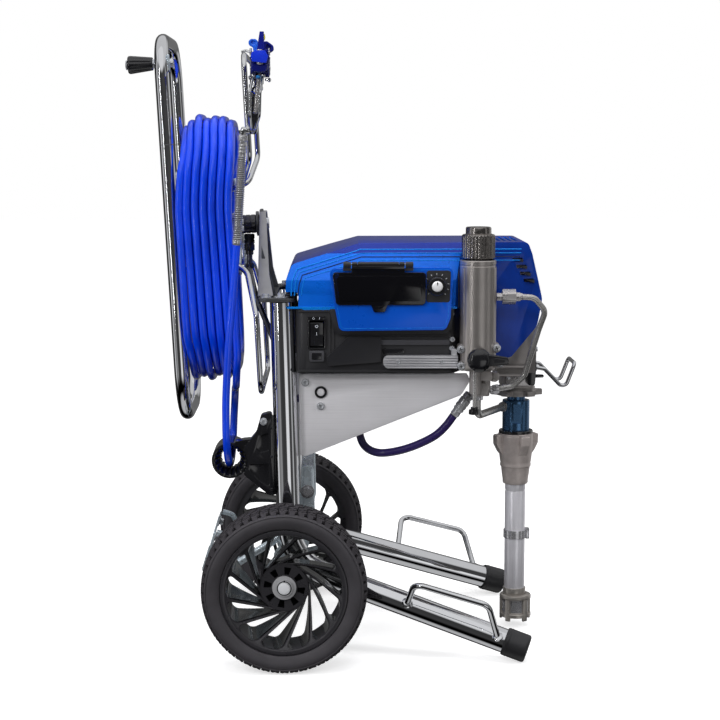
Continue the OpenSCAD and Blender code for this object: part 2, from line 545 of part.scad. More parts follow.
module drive_housing() color("#7e7f83") place() {
  difference() {
    union() {
      front_slab(round_poly([[-64, 440], [64, 440], [84, 500], [84, 585], [64, 604], [-40, 604], [-64, 580]], 10, 3), 285, 388);
      front_slab(round_poly([[-50, 425], [50, 425], [62, 470], [50, 530], [-50, 530], [-62, 470]], 8, 3), 340, 402);
      box([351, -38, 405.5], [402, 38, 440]);
      // block that carries the filter
      box([286, -121.5, 450], [322, -64, 498]);
    }
    // gear chamber
    xcyl(284, 309, 0, crank_z, 108);
    xcyl(284, 309, motor_y, motor_z, 32);
    // bearing of the crankshaft
    xcyl(300, 345, 0, crank_z, 20.1);
    // crank chamber
    xcyl(338.5, 354, 0, crank_z, 64);
    box([354, -36, 428], [391, 36, 560]);
    // way of the rod
    zcyl(404, 430, pump_x, 0, 30);
  }
}
module pail_hook() color("gainsboro") place()
  pipe([[402.8, -38, 440], [419, -38, 437], [446, -38, 409], [455, -38, 412], [468, -38, 446], [468, 38, 446], [455, 38, 412], [446, 38, 409], [419, 38, 437], [402.8, 38, 440]], 6.5, 7.8);

// ---------------------------------------------------------------- pump
module pump_rod() color("#c9ccd1") place() {
  difference() {
    union() { zcyl(290, pin_z - 13, pump_x, 0, 15.9); box([365.5, -9, pin_z - 13], [388.5, 9, pin_z + 8]); }
    box([369.6, -12, pin_z - 12.2], [384.4, 12, pin_z + 9]);
    xcyl(364, 390, 0, pin_z, 9.98);
  }
  xcyl(365.5, 388.5, 0, pin_z, 9.96);
  zcyl(283, 289.9, pump_x, 0, 24);
}
module pump_sleeve() color("#163a78") place() {
  difference() {
    union() {
      zcyl(327, 382, pump_x, 0, 44.6);
      zcyl(382, 404, pump_x, 0, 29.6);
    }
    zcyl(320, 400, pump_x, 0, 26);
    zcyl(399, 405, pump_x, 0, 16);
    box([pump_x - 9, -23, 345], [pump_x + 9, -21, 376]);
    box([pump_x - 9, 21, 345], [pump_x + 9, 23, 376]);
  }
  // lock nut with lugs
  difference() {
    union() {
      zcyl(390, 405, pump_x, 0, 66);
      for (k = [0:5]) translate([pump_x, 0, 390]) rotate(60 * k + 30) translate([28, -9, 0]) cube([15, 18, 9]);
    }
    zcyl(389, 406, pump_x, 0, 30);
  }
}
module pump_cylinder() color("#8b8782") place() difference() {
  union() {
    translate([pump_x, 0, 0]) rotate_extrude($fn = 96) polygon([[0, 241.5], [18, 241.5], [20.5, 246], [28, 300], [29, 326.8], [0, 326.8]]);
    for (k = [0:3]) translate([pump_x, 0, 0]) rotate(90 * k + 20) intersection() {
      box([20, -8, 296], [38, 8, 326]);
      rotate([90, 0, 0]) translate([0, 0, -9]) linear_extrude(18) polygon([[20, 285], [38, 310], [38, 326], [20, 326]]);
    }
  }
  zcyl(275, 327, pump_x, 0, 26);
  zcyl(262, 276, pump_x, 0, 24);
  zcyl(246, 263, pump_x, 0, 16);
  zcyl(240, 248, pump_x, 0, suction_d + 0.1);
}
module intake_ball() color("#d5d8dc") place() translate([pump_x, 0, 269.4]) sphere(d = 20, $fn = 48);
module suction_tube() color("#c4c6cb") place() {
  difference() { zcyl(57, 247.5, pump_x, 0, suction_d); zcyl(56, 249, pump_x, 0, suction_d - 4); }
  // clip on the tube
  difference() { zcyl(150, 164, pump_x, 0, suction_d + 4); zcyl(149, 165, pump_x, 0, suction_d + 0.04); }
  box([pump_x + 18.8, -7, 148], [pump_x + 24, 7, 166]);
}
module strainer() color("#9a9690") place() {
  difference() {
    union() {
      zcyl(47, 58, pump_x + 2, 0, 52);
      zcyl(17, 24, pump_x + 2, 0, 52);
      for (k = [0:4]) translate([pump_x + 2, 0, 0]) rotate(72 * k + 18) box([21, -4, 11], [26, 4, 47.5]);
      zcyl(24, 47, pump_x + 2, 0, 44);
    }
    zcyl(18.5, 59, pump_x + 2, 0, 38);
    zcyl(16, 19, pump_x + 2, 0, 30);
  }
  difference() { zcyl(54, 66, pump_x, 0, 37.4); zcyl(53, 67, pump_x, 0, suction_d + 0.06); }
}

// ---------------------------------------------------------------- filter, valve and fluid lines
fx = 300.5;
fy = -150;
module filter_manifold() color("#8d8781") place() {
  difference() {
    zcyl(450, 622, fx, fy, filter_d);
    zcyl(458, 621, fx, fy, 38);
    zcyl(620, 623, fx, fy, 30.4);
    ycyl(-180, -168, 299.5, 470.5, 10.1);
  }
  // flange towards the drive housing
  box([289, -125, 452], [319, -121.6, 494]);
  // lower block with the outlet passage
  box([292, -128, 405], [322, -90, 449.9]);
  // bolts
  for (p = [[273, 484], [329, 486], [274, 458]]) ycyl(-170, -137, p[0], p[1], 9);
}
module filter_element() color("#d9dadd") place() difference() { zcyl(462, 606, fx, fy, 26); zcyl(461, 607, fx, fy, 18); }
module filter_cap() color("#8d8781") place() {
  difference() {
    union() { zcyl(624, 662, fx, fy, 52); zcyl(662, 673, fx, fy, 40); zcyl(608, 624, fx, fy, 30.2); }
    box([fx - 21, fy - 3, 666], [fx + 21, fy + 3, 674]);
  }
}
module prime_valve() color("#151517") place() {
  ycyl(-206, -189, 299.5, 470.5, 37.5);
  side_slab(round_poly([[299, 481], [345, 476], [345, 464], [299, 460]], 4, 3), -202, -192);
  ycyl(-188.9, -179, 299.5, 470.5, 20);
  ycyl(-178.9, -171, 299.5, 470.5, 10);
}
module fluid_tubes() color("silver") place() {
  // outlet fittings
  between([329.4, fy, 564.5], [343, fy, 564.5]) cylinder(h = 8.6, d = 13, $fn = 6);
  difference() { xcyl(338.1, 359, fy, 564.5, 24); box([337, fy - 14, 578], [360, fy + 14, 560 + 20]); }
  xcyl(359.1, 366, fy, 564.5, 15);
  // outlet tube round the front of the shroud
  pipe([[366.1, -150, 564.5], [388, -149, 563], [407, -141, 541], [398, -130, 512], [378, -112, 436], [360, -110, 419], [323.2, -110, 412.2]], 9.5, 17, 1.2);
  // tube from the pump up to the filter
  pipe([[353, -12, 371], [304, -108, 371], [304, -108, 404.9]], 12, 14, 2);
  // drain tube
  zcyl(388, 449.9, 296, -152, 6);
  between([296, -152, 380], [296, -152, 390]) cylinder(h = 7.9, d = 18, $fn = 6);
  // fitting of the feed hose
  stick([287, -100, 397], [268, -94, 370], 18);
  // feed line to the reel: swivel and steel tube
  zcyl(628, 655, -60.5, 0, 17);
  zcyl(621, 627.9, -60.5, 0, 13);
  pipe([[-60.5, 0, 620.9], [-60.5, -3, 598], [-54, -18, 572], [-48.5, -30, 550], [-37, -50, 528], [-18, -84, 488], [-6, -98, 462], [-6, -98, 440]], 9.5, 18, 1.2);
}
// Points along the feed hose, from the filter's fitting round to the steel feed line.
feed_p = [[267.5, -93.8, 369.5], [256, -91, 353], [240, -88, 337], [219, -86, 325], [196, -84.5, 315.5], [172, -82, 309], [150, -75, 306], [134, -60, 308.5],
  [124, -40, 315], [119, -18, 326], [116, 2, 342], [110, 16, 360], [98, 20, 378], [80, 8, 391], [58, -18, 396], [34, -48, 394], [13, -74, 395], [-1, -92, 405], [-6, -98, 421], [-6, -98, 438.7]];
module feed_hose() color("#2a1d7a") place() sweep(smooth(feed_p, 2), 13, 10);

frame_tube_right();
frame_tube_left();
axle();
axle_carrier();
foot_caps();
leg_handles();
rear_step();
side_plates();
reel_bracket();
hose_guide();
tyre_right();
rim_right();
bushes_right();
tyre_left();
rim_left();
bushes_left();
wheel_retainers();
reel_hoop();
reel_core();
reel_wires();
reel_hub();
crank_knob();
hose_coil();
hose_run();
hose_end();
gun_body();
gun_trigger();
tip_guard();
spray_tip();
gun_swivel();
lower_housing();
shroud();
control_panel();
display_door();
display_unit();
button_left();
button_right();
pressure_knob();
power_rocker();
heat_sink();
control_board();
cord_gland();
motor_stator();
motor_rotor();
drive_gear();
con_rod();
drive_housing();
pail_hook();
pump_rod();
pump_sleeve();
pump_cylinder();
intake_ball();
suction_tube();
strainer();
filter_manifold();
filter_element();
filter_cap();
prime_valve();
fluid_tubes();
feed_hose();
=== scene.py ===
"""Looks of the airless paint sprayer. Lengths are in millimetres from the axle's centre line until Mesh.done turns them into metres."""
import math
import random

import bmesh
import bpy
from mathutils import Matrix, Vector

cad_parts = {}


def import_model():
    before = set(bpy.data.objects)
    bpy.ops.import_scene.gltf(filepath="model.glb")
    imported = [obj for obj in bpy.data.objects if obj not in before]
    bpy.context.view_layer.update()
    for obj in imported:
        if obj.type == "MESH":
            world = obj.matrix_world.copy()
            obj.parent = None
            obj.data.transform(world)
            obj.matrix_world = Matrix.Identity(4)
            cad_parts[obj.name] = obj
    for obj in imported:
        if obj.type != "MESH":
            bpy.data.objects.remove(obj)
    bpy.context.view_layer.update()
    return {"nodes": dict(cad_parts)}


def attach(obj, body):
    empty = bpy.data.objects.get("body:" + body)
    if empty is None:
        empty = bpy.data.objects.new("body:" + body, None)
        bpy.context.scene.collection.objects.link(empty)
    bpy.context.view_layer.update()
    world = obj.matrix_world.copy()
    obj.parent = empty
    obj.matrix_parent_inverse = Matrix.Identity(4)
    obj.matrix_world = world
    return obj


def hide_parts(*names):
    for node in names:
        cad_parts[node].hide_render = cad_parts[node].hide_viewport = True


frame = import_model()
OX = -113.5
PI = math.pi
rnd = random.Random(7)


def V(*a):
    return Vector(a[0] if len(a) == 1 else a)


def world(p):
    return Vector(((p[0] + OX) / 1000, p[1] / 1000, p[2] / 1000))


# ------------------------------------------------------------ camera
cam_data = bpy.data.cameras.new("camera")
cam = bpy.data.objects.new("camera", cam_data)
bpy.context.scene.collection.objects.link(cam)
cam_data.sensor_fit = "HORIZONTAL"
cam_data.sensor_width = 36
cam_data.lens = 88.8
cam_data.clip_end = 60
cam.location = world((73.38, -2896.26, 801.51))
cam.rotation_euler = (math.radians(90 - 6.966), 0, math.radians(-0.9126))
bpy.context.scene.camera = cam

# ------------------------------------------------------------ materials


class Nodes:
    def __init__(s, name):
        s.mat = bpy.data.materials.new(name)
        s.mat.use_nodes = True
        s.t = s.mat.node_tree
        s.b = s.t.nodes["Principled BSDF"]
        s.tc = None

    def n(s, kind, **kw):
        nd = s.t.nodes.new(kind)
        for k, v in kw.items():
            setattr(nd, k, v)
        return nd

    def link(s, a, b):
        s.t.links.new(a, b)

    def coord(s, scale=(1, 1, 1), rot=(0, 0, 0)):
        if s.tc is None:
            s.tc = s.n("ShaderNodeTexCoord")
        mp = s.n("ShaderNodeMapping")
        mp.inputs["Scale"].default_value = scale if hasattr(scale, "__len__") else (scale,) * 3
        mp.inputs["Rotation"].default_value = rot
        s.link(s.tc.outputs["Object"], mp.inputs["Vector"])
        return mp.outputs["Vector"]

    def noise(s, vec, detail=3.0, rough=0.55, scale=1.0, dist=0.0):
        nd = s.n("ShaderNodeTexNoise")
        nd.inputs["Scale"].default_value = scale
        nd.inputs["Detail"].default_value = detail
        nd.inputs["Roughness"].default_value = rough
        nd.inputs["Distortion"].default_value = dist
        s.link(vec, nd.inputs["Vector"])
        return nd.outputs["Fac"]

    def ramp(s, fac, lo, hi, a, b):
        nd = s.n("ShaderNodeMapRange")
        nd.inputs["From Min"].default_value = lo
        nd.inputs["From Max"].default_value = hi
        nd.inputs["To Min"].default_value = a
        nd.inputs["To Max"].default_value = b
        s.link(fac, nd.inputs["Value"])
        return nd.outputs["Result"]

    def mix(s, fac, a, b):
        nd = s.n("ShaderNodeMix", data_type="RGBA")
        for k, v in (("A", a), ("B", b)):
            sock = [i for i in nd.inputs if i.name == k and i.type == "RGBA"][0]
            if hasattr(v, "is_linked") or isinstance(v, bpy.types.NodeSocket):
                s.link(v, sock)
            else:
                sock.default_value = (*v[:3], 1)
        f = [i for i in nd.inputs if i.name == "Factor" and i.type == "VALUE"][0]
        if isinstance(fac, bpy.types.NodeSocket):
            s.link(fac, f)
        else:
            f.default_value = fac
        return [o for o in nd.outputs if o.type == "RGBA"][0]

    def bump(s, h, strength, dist):
        nd = s.n("ShaderNodeBump")
        nd.inputs["Strength"].default_value = strength
        nd.inputs["Distance"].default_value = dist / 1000
        s.link(h, nd.inputs["Height"])
        prev = s.b.inputs["Normal"].links[0].from_socket if s.b.inputs["Normal"].is_linked else None
        if prev:
            s.link(prev, nd.inputs["Normal"])
        s.link(nd.outputs["Normal"], s.b.inputs["Normal"])


def shade(c, k):
    return tuple(min(1.0, max(0.0, x * k)) for x in c[:3])


def material(name, color, rough, metal=0.0, var=0.08, var_s=35, rvar=0.05, rough_s=60, grain=0.0, grain_s=900, grain_d=0.05,
             coat=0.0, coat_r=0.05, spec=0.5, brush=None, alpha=1.0, trans=0.0, edge=0.0, hollow_shade=0.0, ior=1.5):
    m = Nodes(name)
    b = m.b
    b.inputs["Base Color"].default_value = (*color, 1)
    b.inputs["Metallic"].default_value = metal
    b.inputs["Roughness"].default_value = rough
    b.inputs["Specular IOR Level"].default_value = spec
    b.inputs["IOR"].default_value = ior
    b.inputs["Coat Weight"].default_value = coat
    b.inputs["Coat Roughness"].default_value = coat_r
    b.inputs["Alpha"].default_value = alpha
    b.inputs["Transmission Weight"].default_value = trans
    col = None
    if var:
        f = m.noise(m.coord(var_s), 4.0, 0.6)
        col = m.mix(m.ramp(f, 0.3, 0.7, 0, 1), shade(color, 1 - var), shade(color, 1 + var))
    if brush:
        f2 = m.noise(m.coord(brush), 3.0, 0.7)
        if col is not None:
            col2 = m.mix(m.ramp(f2, 0.3, 0.7, 0, 0.35), col, shade(color, 0.72))
            col = col2
    if edge:
        g = m.n("ShaderNodeNewGeometry")
        col = m.mix(m.ramp(g.outputs["Pointiness"], 0.51, 0.58, 0, edge), col if col is not None else color, tuple(min(1, c + 0.25) for c in color))
    # painted shade: darker in the hollows and creases, found by pointiness
    if hollow_shade:
        g = m.n("ShaderNodeNewGeometry")
        col = m.mix(m.ramp(g.outputs["Pointiness"], 0.5, 0.44, 0, hollow_shade), col if col is not None else color, shade(color, 0.35))
    if col is not None:
        m.link(col, b.inputs["Base Color"])
    if rvar:
        f = m.noise(m.coord(brush if brush else rough_s), 3.0, 0.6)
        m.link(m.ramp(f, 0.25, 0.75, max(0.0, rough - rvar), min(1.0, rough + rvar)), b.inputs["Roughness"])
    if brush:
        m.bump(m.noise(m.coord(brush), 4.0, 0.75), 0.25, 0.03)
    if grain:
        m.bump(m.noise(m.coord(grain_s), 3.0, 0.6), grain, grain_d)
    return m.mat


CHROME = material("chrome_tube", (0.80, 0.81, 0.84), 0.055, 1.0, var=0.03, var_s=18, rvar=0.02, rough_s=14)
WIRE = material("chrome_wire", (0.78, 0.79, 0.82), 0.06, 1.0, var=0.04, rvar=0.02)
ZINC = material("zinc_passivated", (0.62, 0.70, 0.76), 0.27, 0.6, var=0.12, var_s=60, rvar=0.08, grain=0.15, grain_s=500, grain_d=0.04)
STEEL = material("bright_steel", (0.62, 0.62, 0.65), 0.22, 0.75, var=0.05, rvar=0.06, rough_s=120, grain=0.08, grain_s=700, grain_d=0.02)
BOLT = material("plated_fastener", (0.66, 0.68, 0.72), 0.25, 0.65, var=0.06, rvar=0.06, rough_s=150)
PLATE = material("brushed_plate", (0.93, 0.92, 0.96), 0.42, 0.42, var=0.04, var_s=10, rvar=0.05, brush=(12, 90, 1500))
BLACKCOAT = material("black_powder_coat", (0.022, 0.023, 0.026), 0.38, 0.0, var=0.12, rvar=0.06, grain=0.25, grain_s=900, grain_d=0.05, edge=0.25)
HUBMET = material("dark_hub_metal", (0.10, 0.10, 0.11), 0.22, 0.9, var=0.1, rvar=0.05)
RUBBER = material("tyre_rubber", (0.050, 0.047, 0.053), 0.62, 0.0, var=0.14, var_s=25, rvar=0.07, rough_s=40, grain=0.22, grain_s=600, grain_d=0.08, spec=0.45)
TREAD = material("tyre_tread", (0.036, 0.033, 0.038), 0.68, 0.0, var=0.16, var_s=70, rvar=0.08, rough_s=90, grain=0.3, grain_s=900, grain_d=0.08, spec=0.4)
CAPRUB = material("foot_rubber", (0.020, 0.020, 0.022), 0.42, 0.0, var=0.1, rvar=0.08, grain=0.12, grain_s=800, grain_d=0.04, spec=0.5)
# near-black for the tread's groove floors, the hub's slots and the gap round the axle: painted shade
GROOVE_SHADE = material("groove_painted_shade", (0.004, 0.004, 0.0045), 0.85, 0.0, var=0.1, spec=0.1)
WASHER = material("washer_zinc", (0.52, 0.52, 0.54), 0.42, 0.3, var=0.06, rvar=0.05, grain=0.1, grain_s=600, grain_d=0.02)
AXLE_END = material("axle_steel", (0.86, 0.87, 0.90), 0.40, 0.12, var=0.05, rvar=0.05, grain=0.12, grain_s=500, grain_d=0.03)
RIM = material("rim_plastic", (0.026, 0.025, 0.029), 0.30, 0.0, var=0.08, rvar=0.05, grain=0.08, grain_s=1100, grain_d=0.03, spec=0.55)
BLADE = material("rim_blade", (0.010, 0.011, 0.0115), 0.15, 0.0, var=0.15, var_s=50, rvar=0.03, spec=0.6, coat=0.35, coat_r=0.06)
PLASTIC = material("black_moulding", (0.015, 0.015, 0.018), 0.34, 0.0, var=0.08, rvar=0.05, grain=0.12, grain_s=1700, grain_d=0.04, spec=0.5, edge=0.08)
PLASTIC2 = material("grey_moulding", (0.060, 0.060, 0.068), 0.48, 0.0, var=0.06, rvar=0.05, grain=0.4, grain_s=1900, grain_d=0.05, spec=0.5)
GLOSSBLK = material("gloss_black", (0.010, 0.010, 0.012), 0.16, 0.0, var=0.05, rvar=0.03, spec=0.6, coat=0.3, coat_r=0.05)
HOSE = material("hose_blue", (0.002, 0.055, 0.78), 0.18, 0.0, var=0.10, var_s=22, rvar=0.05, rough_s=30, spec=0.5, coat=0.5, coat_r=0.09, grain=0.05, grain_s=500, grain_d=0.03)
INDIGO = material("hose_indigo", (0.030, 0.018, 0.115), 0.30, 0.0, var=0.12, rvar=0.05, spec=0.5, coat=0.2, coat_r=0.15)
GUNBLUE = material("gun_blue", (0.005, 0.010, 0.21), 0.32, 0.0, var=0.08, rvar=0.04, spec=0.4, coat=0.15, coat_r=0.1)
GUNPLATE = material("gun_plate_blue", (0.007, 0.034, 0.62), 0.32, 0.0, var=0.06, rvar=0.04, spec=0.4, coat=0.15, coat_r=0.1)
GUNBLUE2 = material("gun_bright_blue", (0.020, 0.125, 0.66), 0.32, 0.0, var=0.06, rvar=0.04, spec=0.4, coat=0.15, coat_r=0.1)
GUNDARK = material("gun_dark_blue", (0.004, 0.008, 0.135), 0.28, 0.0, var=0.1, rvar=0.05, spec=0.45, coat=0.1)
CYAN = material("collar_cyan", (0.03, 0.28, 0.75), 0.3, 0.0, var=0.05, rvar=0.03)
YELLOW = material("tip_yellow", (0.82, 0.74, 0.03), 0.35, 0.0, var=0.05, rvar=0.03)
GUNMETAL = material("gun_cast", (0.58, 0.56, 0.56), 0.27, 0.75, var=0.08, rvar=0.07, grain=0.08, grain_s=500, grain_d=0.03)
# painted shade darkens the hollows of this casting
BEAD = material("cast_bead_blasted", (0.42, 0.395, 0.385), 0.36, 0.70, var=0.08, var_s=70, rvar=0.07, grain=0.25, grain_s=900, grain_d=0.05, hollow_shade=0.3)
NICKEL = material("nickel_satin", (0.54, 0.505, 0.485), 0.34, 0.85, var=0.05, rvar=0.05, brush=(900, 900, 25))
NICKEL_T = material("nickel_turned", (0.54, 0.505, 0.485), 0.30, 0.80, var=0.05, rvar=0.05, brush=(40, 40, 900))
LINE = material("steel_line", (0.58, 0.57, 0.56), 0.27, 0.75, var=0.05, rvar=0.05)
SLEEVE = material("anodised_blue", (0.085, 0.19, 0.36), 0.24, 0.85, var=0.10, rvar=0.05, brush=(30, 30, 900))
# painted shade darkens the hollows of this casting
BRONZE = material("cast_brownish", (0.58, 0.52, 0.50), 0.42, 0.50, var=0.12, var_s=90, rvar=0.08, grain=0.45, grain_s=700, grain_d=0.10, hollow_shade=0.4)
SUCTION = material("satin_aluminium", (0.90, 0.89, 0.95), 0.32, 0.45, var=0.04, rvar=0.05, brush=(500, 500, 12))
STRAINER = material("stainless_mesh", (0.46, 0.43, 0.40), 0.32, 0.75, var=0.12, rvar=0.08, grain=0.2, grain_s=500)
SINK = material("sink_aluminium", (0.86, 0.86, 0.90), 0.36, 0.70, var=0.03, rvar=0.04, brush=(10, 90, 1400))
BOARD = material("circuit_board", (0.012, 0.09, 0.035), 0.4, 0.0, var=0.1, rvar=0.05)
COPPER = material("copper_winding", (0.55, 0.22, 0.09), 0.35, 1.0, var=0.15, rvar=0.06)
SCREEN = material("screen_glass", (0.006, 0.010, 0.022), 0.08, 0.0, var=0.03, rvar=0.02, spec=0.7, coat=0.5, coat_r=0.03)
WHITE = material("knob_cap", (0.80, 0.80, 0.82), 0.30, 0.0, var=0.03, rvar=0.03, spec=0.6)
MARK = material("dial_marks", (0.75, 0.78, 0.85), 0.5, 0.0, var=0.02, rvar=0.02)


def fleck_paint(name, base, deep, rough, coat=0.35):
    m = Nodes(name)
    b = m.b
    b.inputs["Roughness"].default_value = rough
    b.inputs["Metallic"].default_value = 0.30
    b.inputs["Specular IOR Level"].default_value = 0.3
    b.inputs["Coat Weight"].default_value = coat
    b.inputs["Coat Roughness"].default_value = 0.07
    big = m.noise(m.coord(6), 3.0, 0.5)
    c = m.mix(m.ramp(big, 0.35, 0.65, 0.0, 0.25), base, deep)
    fl = m.n("ShaderNodeTexVoronoi")
    fl.inputs["Scale"].default_value = 1.0
    m.link(m.coord(1500), fl.inputs["Vector"])
    c = m.mix(m.ramp(fl.outputs["Distance"], 0.0, 0.35, 0.22, 0.0), c, tuple(min(1, x * 1.5 + k) for x, k in zip(base, (0.002, 0.03, 0.05))))
    m.link(c, b.inputs["Base Color"])
    m.link(m.ramp(m.noise(m.coord(80), 3.0, 0.6), 0.3, 0.7, rough - 0.04, rough + 0.05), b.inputs["Roughness"])
    m.bump(m.noise(m.coord(1500), 2.0, 0.5), 0.12, 0.03)
    return m.mat


SHROUD = fleck_paint("shroud_blue_fleck", (0.001, 0.150, 0.80), (0.001, 0.115, 0.70), 0.30)
SHROUD_D = fleck_paint("shroud_deep_blue", (0.002, 0.024, 0.31), (0.002, 0.018, 0.24), 0.32)
# lighter copy of the shroud paint: painted highlight for the ridge lines, ledges and the panel's border line
SHROUD_HIGHLIGHT = fleck_paint("shroud_painted_highlight_blue", (0.004, 0.25, 0.88), (0.003, 0.20, 0.80), 0.26)


def smoked():
    m = Nodes("smoked_clear")
    b = m.b
    b.inputs["Base Color"].default_value = (0.003, 0.003, 0.005, 1)
    b.inputs["Roughness"].default_value = 0.06
    b.inputs["Alpha"].default_value = 0.80
    b.inputs["Specular IOR Level"].default_value = 0.6
    b.inputs["Coat Weight"].default_value = 0.4
    m.link(m.ramp(m.noise(m.coord(60), 3.0, 0.6), 0.3, 0.7, 0.04, 0.12), b.inputs["Roughness"])
    return m.mat


SMOKED = smoked()


def knurl_metal(name, color):
    m = Nodes(name)
    b = m.b
    b.inputs["Base Color"].default_value = (*color, 1)
    b.inputs["Metallic"].default_value = 1
    b.inputs["Roughness"].default_value = 0.25
    m.link(m.mix(m.ramp(m.noise(m.coord((30, 30, 700)), 3.0, 0.6), 0.3, 0.7, 0, 1), shade(color, 0.85), shade(color, 1.1)), b.inputs["Base Color"])
    m.link(m.ramp(m.noise(m.coord(120), 3.0, 0.6), 0.3, 0.7, 0.18, 0.32), b.inputs["Roughness"])
    return m.mat


KNURL = knurl_metal("nickel_ribbed", (0.38, 0.355, 0.34))

# ------------------------------------------------------------ geometry


def unit(v):
    return v.normalized()


def basis(o, a, x=None):
    """Matrix with origin o, +Z along a, and +X as near to x as it can be."""
    z = unit(V(a))
    if x is None:
        x = V(1, 0, 0) if abs(z.x) < 0.9 else V(0, 1, 0)
    x = V(x)
    x = unit(x - z * x.dot(z))
    y = z.cross(x)
    m = Matrix((x, y, z)).transposed().to_4x4()
    m.translation = V(o)
    return m


REEL = Matrix.Translation(V(-59, 0, 671)) @ Matrix.Rotation(math.radians(-3), 4, "Y")


def on_reel(p):
    return REEL @ V(p)


def bends(pts, R, step=6.0):
    """Polyline with its corners rounded to radius R."""
    pts = [V(p) for p in pts]
    Rs = R if hasattr(R, "__len__") else [R] * len(pts)
    out = [pts[0]]
    for i in range(1, len(pts) - 1):
        a, b, c = pts[i - 1], pts[i], pts[i + 1]
        u, w = unit(b - a), unit(c - b)
        th = math.acos(max(-1, min(1, u.dot(w))))
        if th < 0.01:
            out.append(b)
            continue
        t = Rs[i] * math.tan(th / 2)
        t = min(t, 0.499 * (b - a).length, 0.499 * (c - b).length)
        r = t / math.tan(th / 2)
        z = unit(u.cross(w))
        x = unit(u.cross(z))
        o = (b - u * t) - x * r
        n = max(2, int(math.degrees(th) / step))
        for k in range(n + 1):
            f = th * k / n
            out.append(o + x * (r * math.cos(f)) + u * (r * math.sin(f)))
    out.append(pts[-1])
    res = [out[0]]
    for p in out[1:]:
        if (p - res[-1]).length > 0.02:
            res.append(p)
    return res


def catmull(p, n=8):
    p = [V(q) for q in p]
    out = []
    for i in range(len(p) - 1):
        a, b, c, d = p[max(0, i - 1)], p[i], p[i + 1], p[min(len(p) - 1, i + 2)]
        for k in range(n):
            t = k / n
            out.append(0.5 * (2 * b + (c - a) * t + (2 * a - 5 * b + 4 * c - d) * t * t + (3 * b - a - 3 * c + d) * t ** 3))
    out.append(p[-1])
    return out


def round2(p, r, n=5):
    """2D outline with rounded corners; r is one radius or one per corner."""
    out = []
    k = len(p)
    for i in range(k):
        a, b, c = Vector(p[i - 1]), Vector(p[i]), Vector(p[(i + 1) % k])
        rr = r[i] if hasattr(r, "__len__") else r
        if rr <= 0:
            out.append((b.x, b.y))
            continue
        u, w = (a - b), (c - b)
        lu, lw = u.length, w.length
        u /= lu
        w /= lw
        h = math.acos(max(-1, min(1, u.dot(w)))) / 2
        if abs(h - PI / 2) < 0.02:
            out.append((b.x, b.y))
            continue
        t = min(rr / math.tan(h), 0.47 * min(lu, lw))
        rr = t * math.tan(h)
        m = b + (u + w).normalized() * rr / math.sin(h)
        s, e = b + u * t, b + w * t
        a0, a1 = math.atan2(s.y - m.y, s.x - m.x), math.atan2(e.y - m.y, e.x - m.x)
        d = a1 - a0
        d = d - 2 * PI if d > PI else d + 2 * PI if d < -PI else d
        for j in range(n + 1):
            f = a0 + d * j / n
            out.append((m.x + rr * math.cos(f), m.y + rr * math.sin(f)))
    return out


